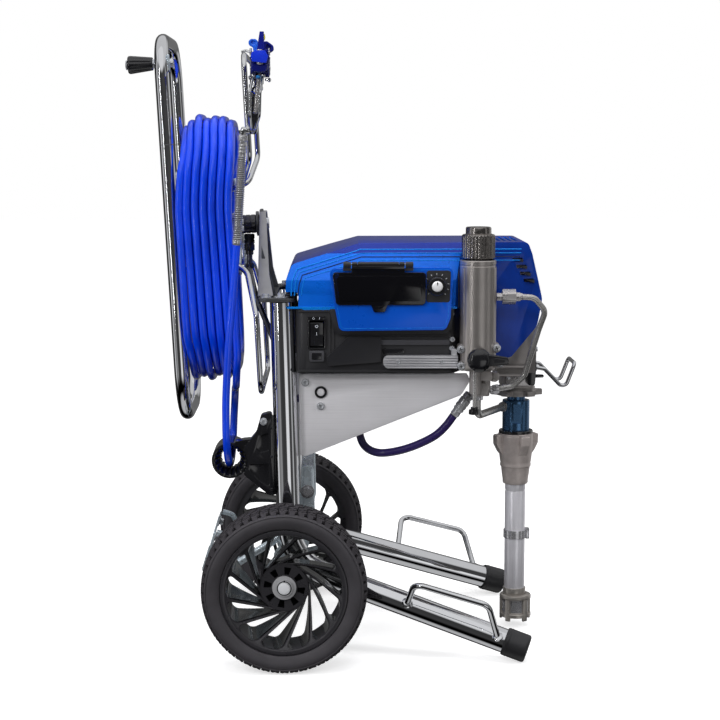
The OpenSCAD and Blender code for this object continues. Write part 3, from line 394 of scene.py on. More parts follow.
class Mesh:
    """Collects solids, in millimetres, into one object."""

    def __init__(s):
        s.v, s.f, s.m = [], [], []
        s.mi = 0

    def add(s, verts, faces, mi=None, mat=None):
        o = len(s.v)
        if mat is not None:
            verts = [mat @ V(p) for p in verts]
        s.v.extend([(p[0], p[1], p[2]) for p in verts])
        s.f.extend([tuple(i + o for i in f) for f in faces])
        s.m.extend([s.mi if mi is None else mi] * len(faces))

    def bm(s, b, mat=None, mi=None):
        b.verts.index_update()
        vs = [v.co.copy() for v in b.verts]
        fs = [[v.index for v in f.verts] for f in b.faces]
        s.add(vs, fs, mi, mat)
        b.free()

    def tube(s, pts, r, n=20, closed=False, caps=True, mi=None, squash=None, up=None):
        pts = [V(p) for p in pts]
        k = len(pts)
        rs = r if hasattr(r, "__len__") else [r] * k
        tan = []
        for i in range(k):
            a = pts[(i - 1) % k] if closed or i > 0 else pts[0]
            b = pts[(i + 1) % k] if closed or i < k - 1 else pts[-1]
            tan.append(unit(b - a))
        x = V(up) if up is not None else (V(0.13, 0.2, 1) if abs(tan[0].z) < 0.9 else V(1, 0.1, 0))
        x = unit(x - tan[0] * x.dot(tan[0]))
        xs = [x]
        for i in range(1, k):
            x = xs[-1] - tan[i] * xs[-1].dot(tan[i])
            xs.append(unit(x))
        if closed:
            x = xs[-1] - tan[0] * xs[-1].dot(tan[0])
            x = unit(x)
            tw = math.atan2(xs[0].cross(x).dot(tan[0]), xs[0].dot(x))
            xs = [Matrix.Rotation(-tw * i / k, 3, tan[i]) @ xs[i] for i in range(k)]
        vs, fs = [], []
        for i in range(k):
            y = tan[i].cross(xs[i])
            for j in range(n):
                a = 2 * PI * j / n
                ca, sa = math.cos(a), math.sin(a)
                if squash:
                    ca, sa = ca * squash[0], sa * squash[1]
                vs.append(pts[i] + (xs[i] * ca + y * sa) * rs[i])
        for i in range(k if closed else k - 1):
            for j in range(n):
                a, b = i * n + j, i * n + (j + 1) % n
                c, d = ((i + 1) % k) * n + (j + 1) % n, ((i + 1) % k) * n + j
                fs.append((a, b, c, d))
        if caps and not closed:
            fs.append(tuple(range(n - 1, -1, -1)))
            fs.append(tuple(range((k - 1) * n, k * n)))
        s.add(vs, fs, mi)

    def pipe(s, pts, r, wall=1.6, n=24, mi=None, depth=25):
        """Open tube end: outside, rim and a short way inside."""
        pts = [V(p) for p in pts]
        s.tube(pts, r, n, caps=False, mi=mi)
        for e, q in ((pts[0], pts[1]), (pts[-1], pts[-2])):
            a = unit(q - e)
            m = basis(e, a)
            s.lathe([(r, 0), (r - wall * 0.3, -0.3), (r - wall * 0.8, -0.3), (r - wall, 0), (r - wall, depth), (0, depth)], m=m, n=n, mi=mi)

    def lathe(s, prof, o=None, a=None, n=64, m=None, mi=None, closed=False, x=None, arc=None):
        """Turns (radius, height) about an axis through o along a."""
        if m is None:
            m = basis(o, a, x)
        vs, fs, rings = [], [], []
        for r, h in prof:
            if r < 1e-6:
                rings.append([len(vs)])
                vs.append(V(0, 0, h))
            else:
                rings.append(list(range(len(vs), len(vs) + n)))
                for j in range(n):
                    t = 2 * PI * j / n
                    vs.append(V(r * math.cos(t), r * math.sin(t), h))
        pairs = list(zip(rings, rings[1:] + ([rings[0]] if closed else [])))
        for p, q in pairs if closed else pairs[: len(rings) - 1]:
            for j in range(n):
                k = (j + 1) % n
                if len(p) == 1 and len(q) == 1:
                    continue
                if len(p) == 1:
                    fs.append((p[0], q[k], q[j]))
                elif len(q) == 1:
                    fs.append((p[j], p[k], q[0]))
                else:
                    fs.append((p[j], p[k], q[k], q[j]))
        s.add(vs, fs, mi, m)

    def cyl(s, o, a, r, h, c=0.5, n=40, mi=None, r0=None):
        """Cylinder with chamfered ends, from o along a."""
        r0 = r if r0 is None else r0
        c = min(c, 0.45 * h, 0.6 * r)
        k = c * 0.3
        s.lathe([(0, 0), (r0 - c, 0), (r0 - k, k), (r0, c), (r, h - c), (r - k, h - k), (r - c, h), (0, h)], o, a, n, mi=mi)

    def ring(s, o, a, r, ri, h, c=0.4, n=48, mi=None):
        c = min(c, 0.4 * h, 0.4 * (r - ri))
        s.lathe([(ri + c, 0), (r - c, 0), (r, c), (r, h - c), (r - c, h), (ri + c, h), (ri, h - c), (ri, c)], o, a, n, mi=mi, closed=True)

    def prism(s, out, ax, lo, hi, bevel=0.8, seg=2, mi=None, mat=None, ang=25, top_only=False):
        b = bmesh.new()
        f = {"x": lambda u, w, h: V(h, u, w), "y": lambda u, w, h: V(u, h, w), "z": lambda u, w, h: V(u, w, h)}[ax]
        lowv = [b.verts.new(f(u, w, lo)) for u, w in out]
        hiv = [b.verts.new(f(u, w, hi)) for u, w in out]
        n = len(out)
        b.faces.new(lowv[::-1])
        b.faces.new(hiv)
        for i in range(n):
            b.faces.new((lowv[i], lowv[(i + 1) % n], hiv[(i + 1) % n], hiv[i]))
        bmesh.ops.recalc_face_normals(b, faces=b.faces)
        if bevel:
            es = [e for e in b.edges if len(e.link_faces) == 2 and e.calc_face_angle() > math.radians(ang)]
            if top_only:
                es = [e for e in es if all(v in hiv for v in e.verts)]
            bmesh.ops.bevel(b, geom=es, offset=bevel, segments=seg, profile=0.6, affect="EDGES", clamp_overlap=True)
        s.bm(b, mat, mi)

    def box(s, a, b, bevel=0.8, seg=2, mi=None, mat=None):
        s.prism([(a[0], a[1]), (b[0], a[1]), (b[0], b[1]), (a[0], b[1])], "z", a[2], b[2], bevel, seg, mi, mat)

    def hexa(s, o, a, af, h, c=0.6, mi=None, turn=0.0):
        """Hexagon nut or head, across flats af, with chamfered corners."""
        m = basis(o, a) @ Matrix.Rotation(turn, 4, "Z")
        R = af / math.sqrt(3)
        vs, fs, rings = [], [], []
        n = 36
        for (k, z) in ((0.93, 0), (1.0, c * 0.55), (1.0, h - c * 0.55), (0.93, h), (0.86, h)):
            ring = []
            for j in range(n):
                t = 2 * PI * j / n
                ph = (t % (PI / 3)) - PI / 6
                rr = R * math.cos(PI / 6) / math.cos(ph)
                rr = min(rr, R * k) if k < 1 else rr
                rr = min(rr, R * 0.985)
                ring.append(len(vs))
                vs.append(V(rr * math.cos(t), rr * math.sin(t), z))
            rings.append(ring)
        for p, q in zip(rings, rings[1:]):
            for j in range(n):
                k2 = (j + 1) % n
                fs.append((p[j], p[k2], q[k2], q[j]))
        fs.append(tuple(rings[0][::-1]))
        fs.append(tuple(rings[-1]))
        s.add(vs, fs, mi, m)

    def bolt(s, o, a, af, h, washer=None, mi=None, turn=0.3):
        """Hex head on a washer, with chamfered corners."""
        o, a = V(o), unit(V(a))
        w = 0
        if washer:
            w = 1.4
            s.ring(o, a, washer / 2, af * 0.25, w, 0.3, 32, mi=mi)
        s.hexa(o + a * w, a, af, h, 0.8, mi, turn)

    def socket(s, o, a, d, h, af=None, depth=None, mi=None, washer=None):
        """Cap screw with a hexagon socket."""
        o, a = V(o), unit(V(a))
        if washer:
            s.ring(o, a, washer / 2, d * 0.3, 1.2, 0.3, 32, mi=mi)
            o = o + a * 1.2
        af = af or d * 0.55
        depth = depth or h * 0.6
        n = 36
        m = basis(o, a)
        vs, fs, rings = [], [], []

        def circ(r, z):
            ring = [len(vs) + j for j in range(n)]
            vs.extend([V(r * math.cos(2 * PI * j / n), r * math.sin(2 * PI * j / n), z) for j in range(n)])
            rings.append(ring)

        def hexr(z):
            ring = [len(vs) + j for j in range(n)]
            for j in range(n):
                t = 2 * PI * j / n
                rr = af / 2 / math.cos((t % (PI / 3)) - PI / 6)
                vs.append(V(rr * math.cos(t), rr * math.sin(t), z))
            rings.append(ring)

        c = min(0.8, h * 0.25)
        circ(d / 2, 0)
        circ(d / 2, h - c)
        circ(d / 2 - c * 0.3, h - c * 0.3)
        circ(d / 2 - c, h)
        hexr(h)
        hexr(h - depth)
        for p, q in zip(rings, rings[1:]):
            for j in range(n):
                k2 = (j + 1) % n
                fs.append((p[j], p[k2], q[k2], q[j]))
        fs.append(tuple(rings[0][::-1]))
        fs.append(tuple(rings[-1]))
        s.add(vs, fs, mi, m)

    def done(s, name, body, mats, replaces=(), angle=32, smooth=True, fix=True):
        me = bpy.data.meshes.new(name)
        me.from_pydata([((x + OX) / 1000, y / 1000, z / 1000) for x, y, z in s.v], [], s.f)
        for m in mats if hasattr(mats, "__len__") else [mats]:
            me.materials.append(m)
        me.polygons.foreach_set("material_index", s.m)
        if fix:
            b = bmesh.new()
            b.from_mesh(me)
            bmesh.ops.recalc_face_normals(b, faces=b.faces)
            b.to_mesh(me)
            b.free()
        me.update()
        if smooth:
            me.shade_smooth()
            me.set_sharp_from_angle(angle=math.radians(angle))
        o = bpy.data.objects.new(name, me)
        bpy.context.scene.collection.objects.link(o)
        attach(o, body)
        if replaces:
            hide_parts(*([replaces] if isinstance(replaces, str) else replaces))
        return o


def paint(node, *mats):
    """A better material on a CAD node."""
    o = frame["nodes"][node]
    o.data.materials.clear()
    for m in mats:
        o.data.materials.append(m)


def boolean(base, tool, op):
    """bmesh in, bmesh out, through Blender's exact solver."""
    def ob(b, nm):
        me = bpy.data.meshes.new(nm)
        b.to_mesh(me)
        b.free()
        o = bpy.data.objects.new(nm, me)
        bpy.context.scene.collection.objects.link(o)
        return o
    a, t = ob(base, "tmp_a"), ob(tool, "tmp_b")
    md = a.modifiers.new("b", "BOOLEAN")
    md.operation = op
    md.solver = "EXACT"
    md.object = t
    dg = bpy.context.evaluated_depsgraph_get()
    dg.update()
    me = bpy.data.meshes.new_from_object(a.evaluated_get(dg))
    out = bmesh.new()
    out.from_mesh(me)
    for o in (a, t):
        d = o.data
        bpy.data.objects.remove(o)
        bpy.data.meshes.remove(d)
    bpy.data.meshes.remove(me)
    return out


def slab(out, ax, lo, hi):
    b = bmesh.new()
    f = {"x": lambda u, w, h: V(h, u, w), "y": lambda u, w, h: V(u, h, w), "z": lambda u, w, h: V(u, w, h)}[ax]
    lowv = [b.verts.new(f(u, w, lo)) for u, w in out]
    hiv = [b.verts.new(f(u, w, hi)) for u, w in out]
    n = len(out)
    b.faces.new(lowv[::-1])
    b.faces.new(hiv)
    for i in range(n):
        b.faces.new((lowv[i], lowv[(i + 1) % n], hiv[(i + 1) % n], hiv[i]))
    bmesh.ops.recalc_face_normals(b, faces=b.faces)
    return b


def soften(b, offset, seg=3, ang=30, profile=0.5):
    es = [e for e in b.edges if len(e.link_faces) == 2 and e.calc_face_angle() > math.radians(ang)]
    bmesh.ops.bevel(b, geom=es, offset=offset, segments=seg, profile=profile, affect="EDGES", clamp_overlap=True)
    return b

# ------------------------------------------------------------ spray hose
HOSE_D = 12.0
BEND_R, LOOP_R = 55.8, 57.8


def bend(cy, cz, r, a0, a1, x0, x1, n):
    out = []
    for k in range(n + 1):
        a = math.radians(a0 + (a1 - a0) * k / n)
        out.append((x0 + (x1 - x0) * k / n, cy + r * math.cos(a), cz + r * math.sin(a)))
    return out


# the run's points, as in the CAD
RUN_P = ([(-77.7, -142, 550), (-76.3, -142, 524), (-75, -142, 498)] + bend(-86.2, 472, BEND_R, 180, 252, -73.8, -78.6, 5)
         + bend(-99.3, 360.6, BEND_R, 75, 0, -80.6, -85.6, 5) + bend(-100.6, 353, LOOP_R, -6, -180, -86.2, -91.8, 12)
         + [(-91.9, -157.9, 378), (-91.5, -160, 404), (-89, -164.5, 450), (-85.6, -168, 500), (-80, -168, 560), (-75.5, -168, 610), (-72.3, -167.2, 648)])
COIL_U0, COIL_U1 = -102.4, -25.0      # first and last visible strand


def turn_point(s, half_v, w_lo, w_hi, r):
    """Point on a rounded rectangle by the share s of a turn, from the top middle towards -v and down the near side."""
    segs = [("l", (0, w_hi), (-half_v + r, w_hi)), ("a", (-half_v + r, w_hi - r), 90), ("l", (-half_v, w_hi - r), (-half_v, w_lo + r)), ("a", (-half_v + r, w_lo + r), 180),
            ("l", (-half_v + r, w_lo), (half_v - r, w_lo)), ("a", (half_v - r, w_lo + r), 270), ("l", (half_v, w_lo + r), (half_v, w_hi - r)), ("a", (half_v - r, w_hi - r), 0),
            ("l", (half_v - r, w_hi), (0, w_hi))]
    ls = [math.dist(g[1], g[2]) if g[0] == "l" else PI * r / 2 for g in segs]
    d = (s % 1.0) * sum(ls)
    for g, l in zip(segs, ls):
        if d <= l or g is segs[-1]:
            f = min(1.0, d / l)
            if g[0] == "l":
                (a, b), (c, e) = g[1], g[2]
                return a + (c - a) * f, b + (e - b) * f
            t = math.radians(g[2] + 90 * f)
            return g[1][0] + r * math.cos(t), g[1][1] + r * math.sin(t)
        d -= l


def near_share(w, half_v, w_lo, w_hi, r):
    """Share of the turn at height w on the near side."""
    per = 2 * (2 * half_v + w_hi - w_lo) - 8 * r + 2 * PI * r
    return ((half_v - r) + PI * r / 2 + (w_hi - r - w)) / per


def hose_path():
    outer = (142.0, -233.0, 166.0, 94.0)
    inner = (129.7, -220.7, 153.7, 82.0)
    s_start = 54.0 / (2 * (2 * inner[0] + inner[2] - inner[1]) - 8 * inner[3] + 2 * PI * inner[3])
    s_end = near_share(-120, *outer)
    jit = random.Random(11)
    n_out, n_in = 6, 6
    tops = [-5.0, 0.0, 8.5, 2.0, 5.0, 3.5, -3.0, -3.0]
    bots = [5.0, 1.0, 7.5, 0.5, 8.0, 2.0, 0.0, 0.0]
    pts = []
    # from the hub's fitting up to the first inner turn
    for k in range(0, 9):
        f = k / 8
        pts.append((-38 + 0.0 * f, 0, 26 + 30 * f))
    for k in range(1, 9):
        f = k / 8
        e = f * f * (3 - 2 * f)
        pts.append((-38 + 12.0 * e, 0, 56 + 43.7 * f))
    for k in range(1, 10):
        t = PI / 2 * k / 9
        pts.append((-26, -54 * (1 - math.cos(t)), 99.7 + 54 * math.sin(t)))
    M = 56
    S = s_start
    total_in = n_in - 0.12
    steps = int(total_in * M)
    ui0, ui1 = -26.0, -95.5
    for k in range(1, steps + 1):
        f = k / steps
        v, w = turn_point(S + total_in * f, *inner)
        u = ui0 + (ui1 - ui0) * (total_in * f) / total_in
        pts.append((u, v, w))
    # rise to the outer layer over the last part, then back towards the hub
    s0 = S + total_in
    n_left = (math.floor(s0) + 1 + s_end + 0.0) - s0
    s_first = math.floor(s0) + 1 + s_end
    total_out = (s_first - s0) + n_out
    steps = int(total_out * M)
    for k in range(1, steps + 1):
        f = k / steps
        s = s0 + total_out * f
        lift = min(1.0, (s - s0) / 0.22)
        lift = lift * lift * (3 - 2 * lift)
        par = [a + (b - a) * lift for a, b in zip(inner, outer)]
        v, w = turn_point(s, *par)
        turns = s - s_first
        # beside the hoop's tube the first strand is pushed in a little
        q = min(1.0, max(0.0, (abs(v) - 125) / 16))
        u_first = -98.8 + (COIL_U0 + 98.8) * q * q * (3 - 2 * q)
        u = u_first + (COIL_U1 - u_first) * max(0.0, turns) / n_out
        if turns < 0:
            u = -95.5 + (u_first + 95.5) * lift
        # strands lie a little uneven: some arch higher, some hang lower
        idx = s - math.floor(s_first - s_end)
        i0 = int(math.floor(idx))
        fr = idx - i0
        g = lambda tab, i: tab[max(0, min(len(tab) - 1, i))]
        wt = max(0.0, (math.cos(2 * PI * fr) + 0.35) / 1.35) ** 1.5
        top = g(tops, i0 + (1 if fr > 0.5 else 0)) * wt
        wb = max(0.0, -math.cos(2 * PI * fr)) ** 1.5
        bot = g(bots, i0) * wb
        end = min(1.0, max(0.0, (s0 + total_out - s) / 0.12))
        w += (top - bot) * lift * end
        pts.append((u, v, w))
    # the upper strands lean towards the cart
    def lean(p):
        k = min(1.0, max(0.0, (p[2] - 20) / 110))
        r = math.hypot(p[1], p[2])
        k *= min(1.0, max(0.0, (r - 40) / 85))
        return (p[0] + 9.6 * k * k * (3 - 2 * k), p[1], p[2])
    pts = [on_reel(lean(p)) for p in pts]
    run = catmull(RUN_P, 6)
    pts = pts[:-1] + run + [V(-72, -167, 652)]
    out = [pts[0]]
    for p in pts[1:]:
        if (p - out[-1]).length > 2.5:
            out.append(p)
    return out


HP = hose_path()
t = Mesh()
t.tube(HP, HOSE_D / 2, 18)
HOSE_LEN = sum((b - a).length for a, b in zip(HP, HP[1:])) / 1000
spray_hose = t.done("spray_hose", "reel", HOSE, ("hose_coil", "hose_run"), angle=60)

# spring guard and ferrule at the gun end
HT, HG = V(-72, -167, 652), V(-63, -171, 786)
hu = unit(HG - HT)
t = Mesh()
hb = basis(HT, hu)
L = (HG - HT).length
turns = 40
pts = []
for k in range(turns * 18 + 1):
    f = k / (turns * 18)
    r = 6.55 - 0.9 * max(0.0, (f - 0.72) / 0.28)
    pts.append(hb @ V(r * math.cos(2 * PI * turns * f), r * math.sin(2 * PI * turns * f), 2 + (L - 6) * f))
t.tube(pts, 0.95, 8, mi=0)
t.lathe([(0, 0), (5.4, 0), (6.1, 0.8), (6.1, L * 0.7), (5.2, L - 6), (0, L - 5)], m=hb, n=40, mi=1)
t.lathe([(0, -6), (6.4, -6), (7.2, -5), (7.4, -1), (7.3, 2.4), (6.0, 3.0), (0, 3)], m=hb, n=48, mi=0)
g = basis(HG, hu)
t.lathe([(0, -7), (5.0, -7), (5.9, -6), (6.1, -4), (6.1, 0), (6.4, 0.5), (6.5, 3), (6.1, 3.6), (6.1, 5.2), (6.5, 5.8), (6.5, 8.0), (6.1, 8.6), (6.1, 10.2), (6.5, 10.8), (6.5, 13), (6.0, 13.8), (0, 14)], m=g, n=48, mi=0)
t.hexa(HG + hu * 13.6, hu, 11.6, 4.4, 0.6, mi=0)
spring_guard = t.done("hose_spring_guard", "reel", [STEEL, material("spring_core", (0.20, 0.20, 0.22), 0.4, 0.8)], "hose_end", angle=40)
print("hose length", round(HOSE_LEN, 3))

# ------------------------------------------------------------ feed hose under the side plate
FEED_P = [(267.5, -93.8, 369.5), (256, -91, 353), (240, -88, 337), (219, -86, 325), (196, -84.5, 315.5), (172, -82, 309), (150, -75, 306), (134, -60, 308.5),
          (124, -40, 315), (119, -18, 326), (116, 2, 342), (110, 16, 360), (98, 20, 378), (80, 8, 391), (58, -18, 396), (34, -48, 394), (13, -74, 395), (-1, -92, 405), (-6, -98, 421), (-6, -98, 438.7)]
FP = catmull(FEED_P, 5)
t = Mesh()
t.tube(FP, 6.5, 24)
feed_hose = t.done("feed_hose_tube", "cart", INDIGO, "feed_hose", angle=60)
t = Mesh()
a, b = V(287, -100, 397), V(268, -94, 370)
u = unit(b - a)
m = basis(a, u)
t.lathe([(0, 0), (8.2, 0), (8.9, 0.8), (9.0, 9), (8.2, 9.6), (8.2, 11), (9.0, 11.6), (9.0, 16), (8.0, 17), (7.4, 18), (8.6, 19.2), (8.8, 20.8), (8.4, 22), (7.2, 23), (7.4, 31.5), (6.9, 32.6), (6.4, 33)], m=m, n=56)
m2 = basis(FP[-1], V(0, 0, -1))
t.lathe([(5.0, -3), (7.6, -2), (8.0, 0), (8.0, 10), (7.4, 11), (7.4, 17), (6.6, 18)], m=m2, n=48)
feed_ends = t.done("feed_hose_ferrules", "cart", material("ferrule_zinc", (0.74, 0.75, 0.78), 0.26, 0.6, var=0.05, rvar=0.05), (), angle=40)

# ------------------------------------------------------------ wheels


def wheel_basis(side):
    return basis((0, side * 242, 127), (0, side, 0), (1, 0, 0))


def pol(r, a, h):
    return V(r * math.cos(a), r * math.sin(a), h)


def tyre(side):
    m = wheel_basis(side)
    t = Mesh()
    t.mi = 0
    # carcass, from the inner bead round to the outer bead
    half = [(97.5, 33.0), (97.5, 35.6), (98.4, 37.2), (100.4, 38.8), (103.8, 40.6), (108.5, 42.2), (112.5, 42.7), (116.2, 41.6), (118.6, 39.9), (120.2, 38.0), (121.3, 35.6), (122.2, 31),
            (122.9, 24), (123.3, 14), (123.4, 0)]
    prof = [(r, h) for r, h in half] + [(r, -h) for r, h in half[-2::-1]] + [(100.8, -20), (100.8, 20)]
    t.lathe(prof, m=m, n=168, closed=True)
    # the ground between the blocks is painted near-black as shade
    for k, f in enumerate(t.f):
        c = sum((V(t.v[i]) for i in f), V(0, 0, 0)) / len(f)
        if math.hypot(c.x, c.z - 127) > 121.5:
            t.m[k] = 2
    # raised line on each side wall
    for s in (1, -1):
        t.lathe([(117.6, s * 40.8), (118.4, s * 41.6), (119.6, s * 41.0), (120.4, s * 39.0), (119.4, s * 38.0)], m=m, n=168, closed=True)
    # tread blocks: outlines as (share of a pitch, distance from the middle)
    N = 54
    zig = [(0.06, 1.0), (0.48, 1.0), (0.60, 5.2), (0.92, 6.0), (0.98, 10.4), (0.88, 14.6), (0.50, 14.6), (0.42, 10.6), (0.12, 9.6), (0.02, 5.4)]
    mid = [(0.10, 16.4), (0.60, 16.4), (0.74, 20.0), (0.98, 20.8), (1.00, 25.2), (0.62, 26.4), (0.52, 23.6), (0.18, 22.4)]
    sh1 = [(0.05, 25.0), (0.40, 26.0), (0.52, 28.4), (0.94, 27.6), (0.98, 31.0), (0.86, 34.2), (0.84, 38.4), (0.84, 40.2), (0.30, 40.2), (0.28, 38.4), (0.30, 33.0), (0.06, 30.0)]

    def crown(h):
        return 127.0 - 2.6 * (abs(h) / 38) ** 2.4 - (max(0, abs(h) - 34) ** 1.6) * 0.32

    def block(poly, i, sgn, off):
        c = (sum(p[0] for p in poly) / len(poly), sum(p[1] for p in poly) / len(poly))
        vs = []
        for lay, (k, dr) in enumerate(((1.0, -4.6), (0.985, -0.5), (0.95, 0.0))):
            for u, h in poly:
                uu, hh = c[0] + (u - c[0]) * k, c[1] + (h - c[1]) * k
                a = (i + off + (uu if sgn > 0 else -uu)) * 2 * PI / N
                vs.append(pol(crown(hh) + dr, a, sgn * hh))
        n = len(poly)
        fs = [(l * n + j, l * n + (j + 1) % n, (l + 1) * n + (j + 1) % n, (l + 1) * n + j) for l in (0, 1) for j in range(n)]
        fs.append(tuple(range(2 * n, 3 * n)))
        fs.append(tuple(range(n - 1, -1, -1)))
        t.add(vs, fs, 1, m)

    for i in range(N):
        for sgn in (1, -1):
            off = 0.0 if sgn > 0 else 0.45
            block(zig, i, sgn, off)
            block(mid, i, sgn, off)
            block(sh1, i, sgn, off)
    nm = "right" if side < 0 else "left"
    t.done("tyre_tread_" + nm, "wheel_" + nm, [RUBBER, TREAD, GROOVE_SHADE], "tyre_" + nm, angle=28)


def rim(side):
    m = wheel_basis(side)
    t = Mesh()
    # ring between the tyre and the blades, and the barrel behind it
    t.lathe([(88.0, -33), (100.6, -35), (100.6, 31.5), (96.9, 32.0), (96.9, 35.6), (96.4, 36.6), (95.4, 37.0), (90.6, 36.6), (89.3, 36.1), (88.5, 35.0), (88.3, 32.6), (88.3, 27),
             (88.2, 15), (88.0, 0), (87.8, -20)], m=m, n=168, closed=True)
    # hub: flange with eight slots, raised middle, and the back of the hub
    n = 8
    k = 12
    vs, fs, dark = [], [], []
    slot_in, slot_out = 20.5, 32.0

    def add(v):
        vs.append(v)
        return len(vs) - 1
    edge = 38.0
    hf = 0.0
    for i in range(n):
        a0 = math.radians(80 - 45 * i - 22.5)
        a1 = a0 + math.radians(45)
        ac = (a0 + a1) / 2
        w0, w1 = 3.3 / slot_in, 5.4 / slot_out
        q = [pol(slot_in, ac - w0, hf), pol(slot_in, ac + w0, hf), pol(slot_out, ac + w1, hf), pol(slot_out, ac - w1, hf)]
        iq = [add(p) for p in q]
        down = [add(p - V(0, 0, 9)) for p in q]
        for a, b in ((0, 1), (1, 2), (2, 3), (3, 0)):
            fs.append((iq[a], iq[b], down[b], down[a]))
        fs.append(tuple(down))
        # the slot's walls and floor are painted near-black as shade
        dark += list(range(len(fs) - 5, len(fs)))
        ins = [add(pol(14, a0 + (a1 - a0) * j / k, hf)) for j in range(k + 1)]
        out = [add(pol(edge - 1.2, a0 + (a1 - a0) * j / k, hf)) for j in range(k + 1)]
        out2 = [add(pol(edge, a0 + (a1 - a0) * j / k, hf - 1.2)) for j in range(k + 1)]
        out3 = [add(pol(edge, a0 + (a1 - a0) * j / k, hf - 41.5)) for j in range(k + 1)]
        h = k // 2
        fs.append(tuple(ins[0:h + 1] + [iq[0]]))
        fs.append(tuple(ins[h:k + 1] + [iq[1]]))
        fs.append((ins[h], iq[1], iq[0]))
        fs.append((ins[0], iq[0], iq[3], out[0]))
        fs.append((ins[k], out[k], iq[2], iq[1]))
        fs.append(tuple([iq[3]] + [out[j] for j in range(h, -1, -1)]))
        fs.append(tuple([iq[2]] + [out[j] for j in range(k, h - 1, -1)]))
        fs.append((iq[3], iq[2], out[h]))
        for j in range(k):
            fs.append((out[j], out[j + 1], out2[j + 1], out2[j]))
            fs.append((out2[j], out2[j + 1], out3[j + 1], out3[j]))
    t.add(vs, fs, 0, m)
    for k in dark:
        t.m[len(t.m) - len(fs) + k] = 2
    t.lathe([(14.2, -0.2), (19.2, -0.1), (19.4, 0.9), (18.8, 1.2), (13.2, 1.2), (13.0, 0.6), (13.0, -53.5), (21, -53.8), (22, -52.8), (22, -42.5), (36.8, -42.2), (38, -41)], m=m, n=96)
    for i in range(8):
        a = math.radians(45 * i + 20)
        t.prism([(21.8, -1.3), (37, -1.3), (37, 1.3), (21.8, 1.3)], "z", -52 + 9, -42.3, 0.5, 1, mat=m @ Matrix.Rotation(a, 4, "Z"))
    # spokes: straight ribs that leave the hub along its edge, deep side walls, rounded window ends at the ring
    NB = 13
    R0, R1 = 37.2, 89.6
    RT = 37.0
    nr, nh = 26, 8
    for b in range(NB):
        base = 2 * PI * b / NB + math.radians(5.5)
        vs, fs0, fs1 = [], [], []
        grid = {}
        for i in range(nr + 1):
            u = i / nr
            r = R0 + (R1 - R0) * u
            a = base - math.acos(min(1.0, RT / r)) - math.radians(3.0) * u
            hf2 = -0.6 + 35.2 * (u ** 1.25)
            hb = -30 + 3 * u
            thick = 3.4 + 1.8 * u
            w = thick / 2 / math.sqrt(max(0.02, 1 - (RT / r) ** 2))
            q = min(1.0, max(0.0, (u - 0.84) / 0.16))
            w += 17.5 * (1 - math.sqrt(max(0.0, 1 - q * q)))
            w = min(w, PI * r / NB)
            # rounded front
            for k, (f, dh) in enumerate(((-1, -2.2), (-0.78, -0.55), (-0.3, 0), (0.3, 0), (0.78, -0.55), (1, -2.2))):
                grid["f", i, k] = len(vs)
                vs.append(pol(r, a + f * w / r, hf2 + dh * (1 - 0.75 * q)))
            for sd in (0, 1):
                for jj in range(nh + 1):
                    v = jj / nh
                    h = hf2 - 2.2 * (1 - 0.75 * q) + (hb - hf2 + 2.2 * (1 - 0.75 * q)) * v
                    ww = w * (1 - 0.22 * math.sin(PI * min(1, v * 1.25)) * (1 - q)) + 1.2 * v
                    tw = math.radians(0.10) * (34 - h) * (0.3 + 0.7 * u)
                    grid[sd, i, jj] = len(vs)
                    vs.append(pol(r, a - tw + (ww / r) * (1 if sd else -1), h))
        for i in range(nr):
            for k in range(5):
                fs0.append((grid["f", i, k], grid["f", i + 1, k], grid["f", i + 1, k + 1], grid["f", i, k + 1]))
            for jj in range(nh):
                fs1.append((grid[1, i, jj], grid[1, i + 1, jj], grid[1, i + 1, jj + 1], grid[1, i, jj + 1]))
                fs1.append((grid[0, i, jj], grid[0, i, jj + 1], grid[0, i + 1, jj + 1], grid[0, i + 1, jj]))
            fs1.append((grid[0, i, nh], grid[1, i, nh], grid[1, i + 1, nh], grid[0, i + 1, nh]))
        t.add(vs, fs0 + fs1, 0, m)
        t.m[-len(fs1):] = [1] * len(fs1)
    nm = "right" if side < 0 else "left"
    t.done("wheel_centre_" + nm, "wheel_" + nm, [RIM, BLADE, GROOVE_SHADE], "rim_" + nm, angle=38)


for side in (-1, 1):
    tyre(side)
    rim(side)
    nm = "right" if side < 0 else "left"
    t = Mesh()
    for h in (-0.3, -39.5):
        t.ring((0, side * (242 + h), 127), (0, -side, 0), 12.95, 10.05, 13.8, 0.5, 48)
    t.done("hub_bushes_" + nm, "wheel_" + nm, STEEL, "bushes_" + nm)

t = Mesh()
for side in (-1, 1):
    a = (0, side, 0)
    t.ring((0, side * 243.3, 127), a, 18.4, 10.1, 2.6, 0.5, 72, mi=0)
    t.ring((0, side * 246.1, 127), a, 13.2, 11.3, 3.4, 0.5, 48, mi=0)
    # the gap round the axle and the slot are painted near-black as shade
    t.ring((0, side * 246.1, 127), a, 11.3, 9.9, 2.4, 0.3, 48, mi=1)
    t.box((-1.4, side * 246.2 if side > 0 else -249.6, 127 + 9.6), (1.4, 249.6 if side > 0 else side * 246.2, 127 + 12.9), 0.4, 1, mi=1)
t.done("wheel_washers", "cart", [WASHER, GROOVE_SHADE], "wheel_retainers")
t = Mesh()
t.lathe([(0, 0), (6.6, 0.1), (8.8, 0.9), (9.6, 2.4), (9.6, 6), (8.6, 6.6), (8.6, 8.4), (9.95, 9.4), (9.95, 496.6), (8.6, 497.6), (8.6, 499.4), (9.6, 500), (9.6, 503.6), (8.8, 505.1), (6.6, 505.9), (0, 506)],
        (0, -253, 127), (0, 1, 0), 48)
t.done("axle_rod", "cart", AXLE_END, "axle")

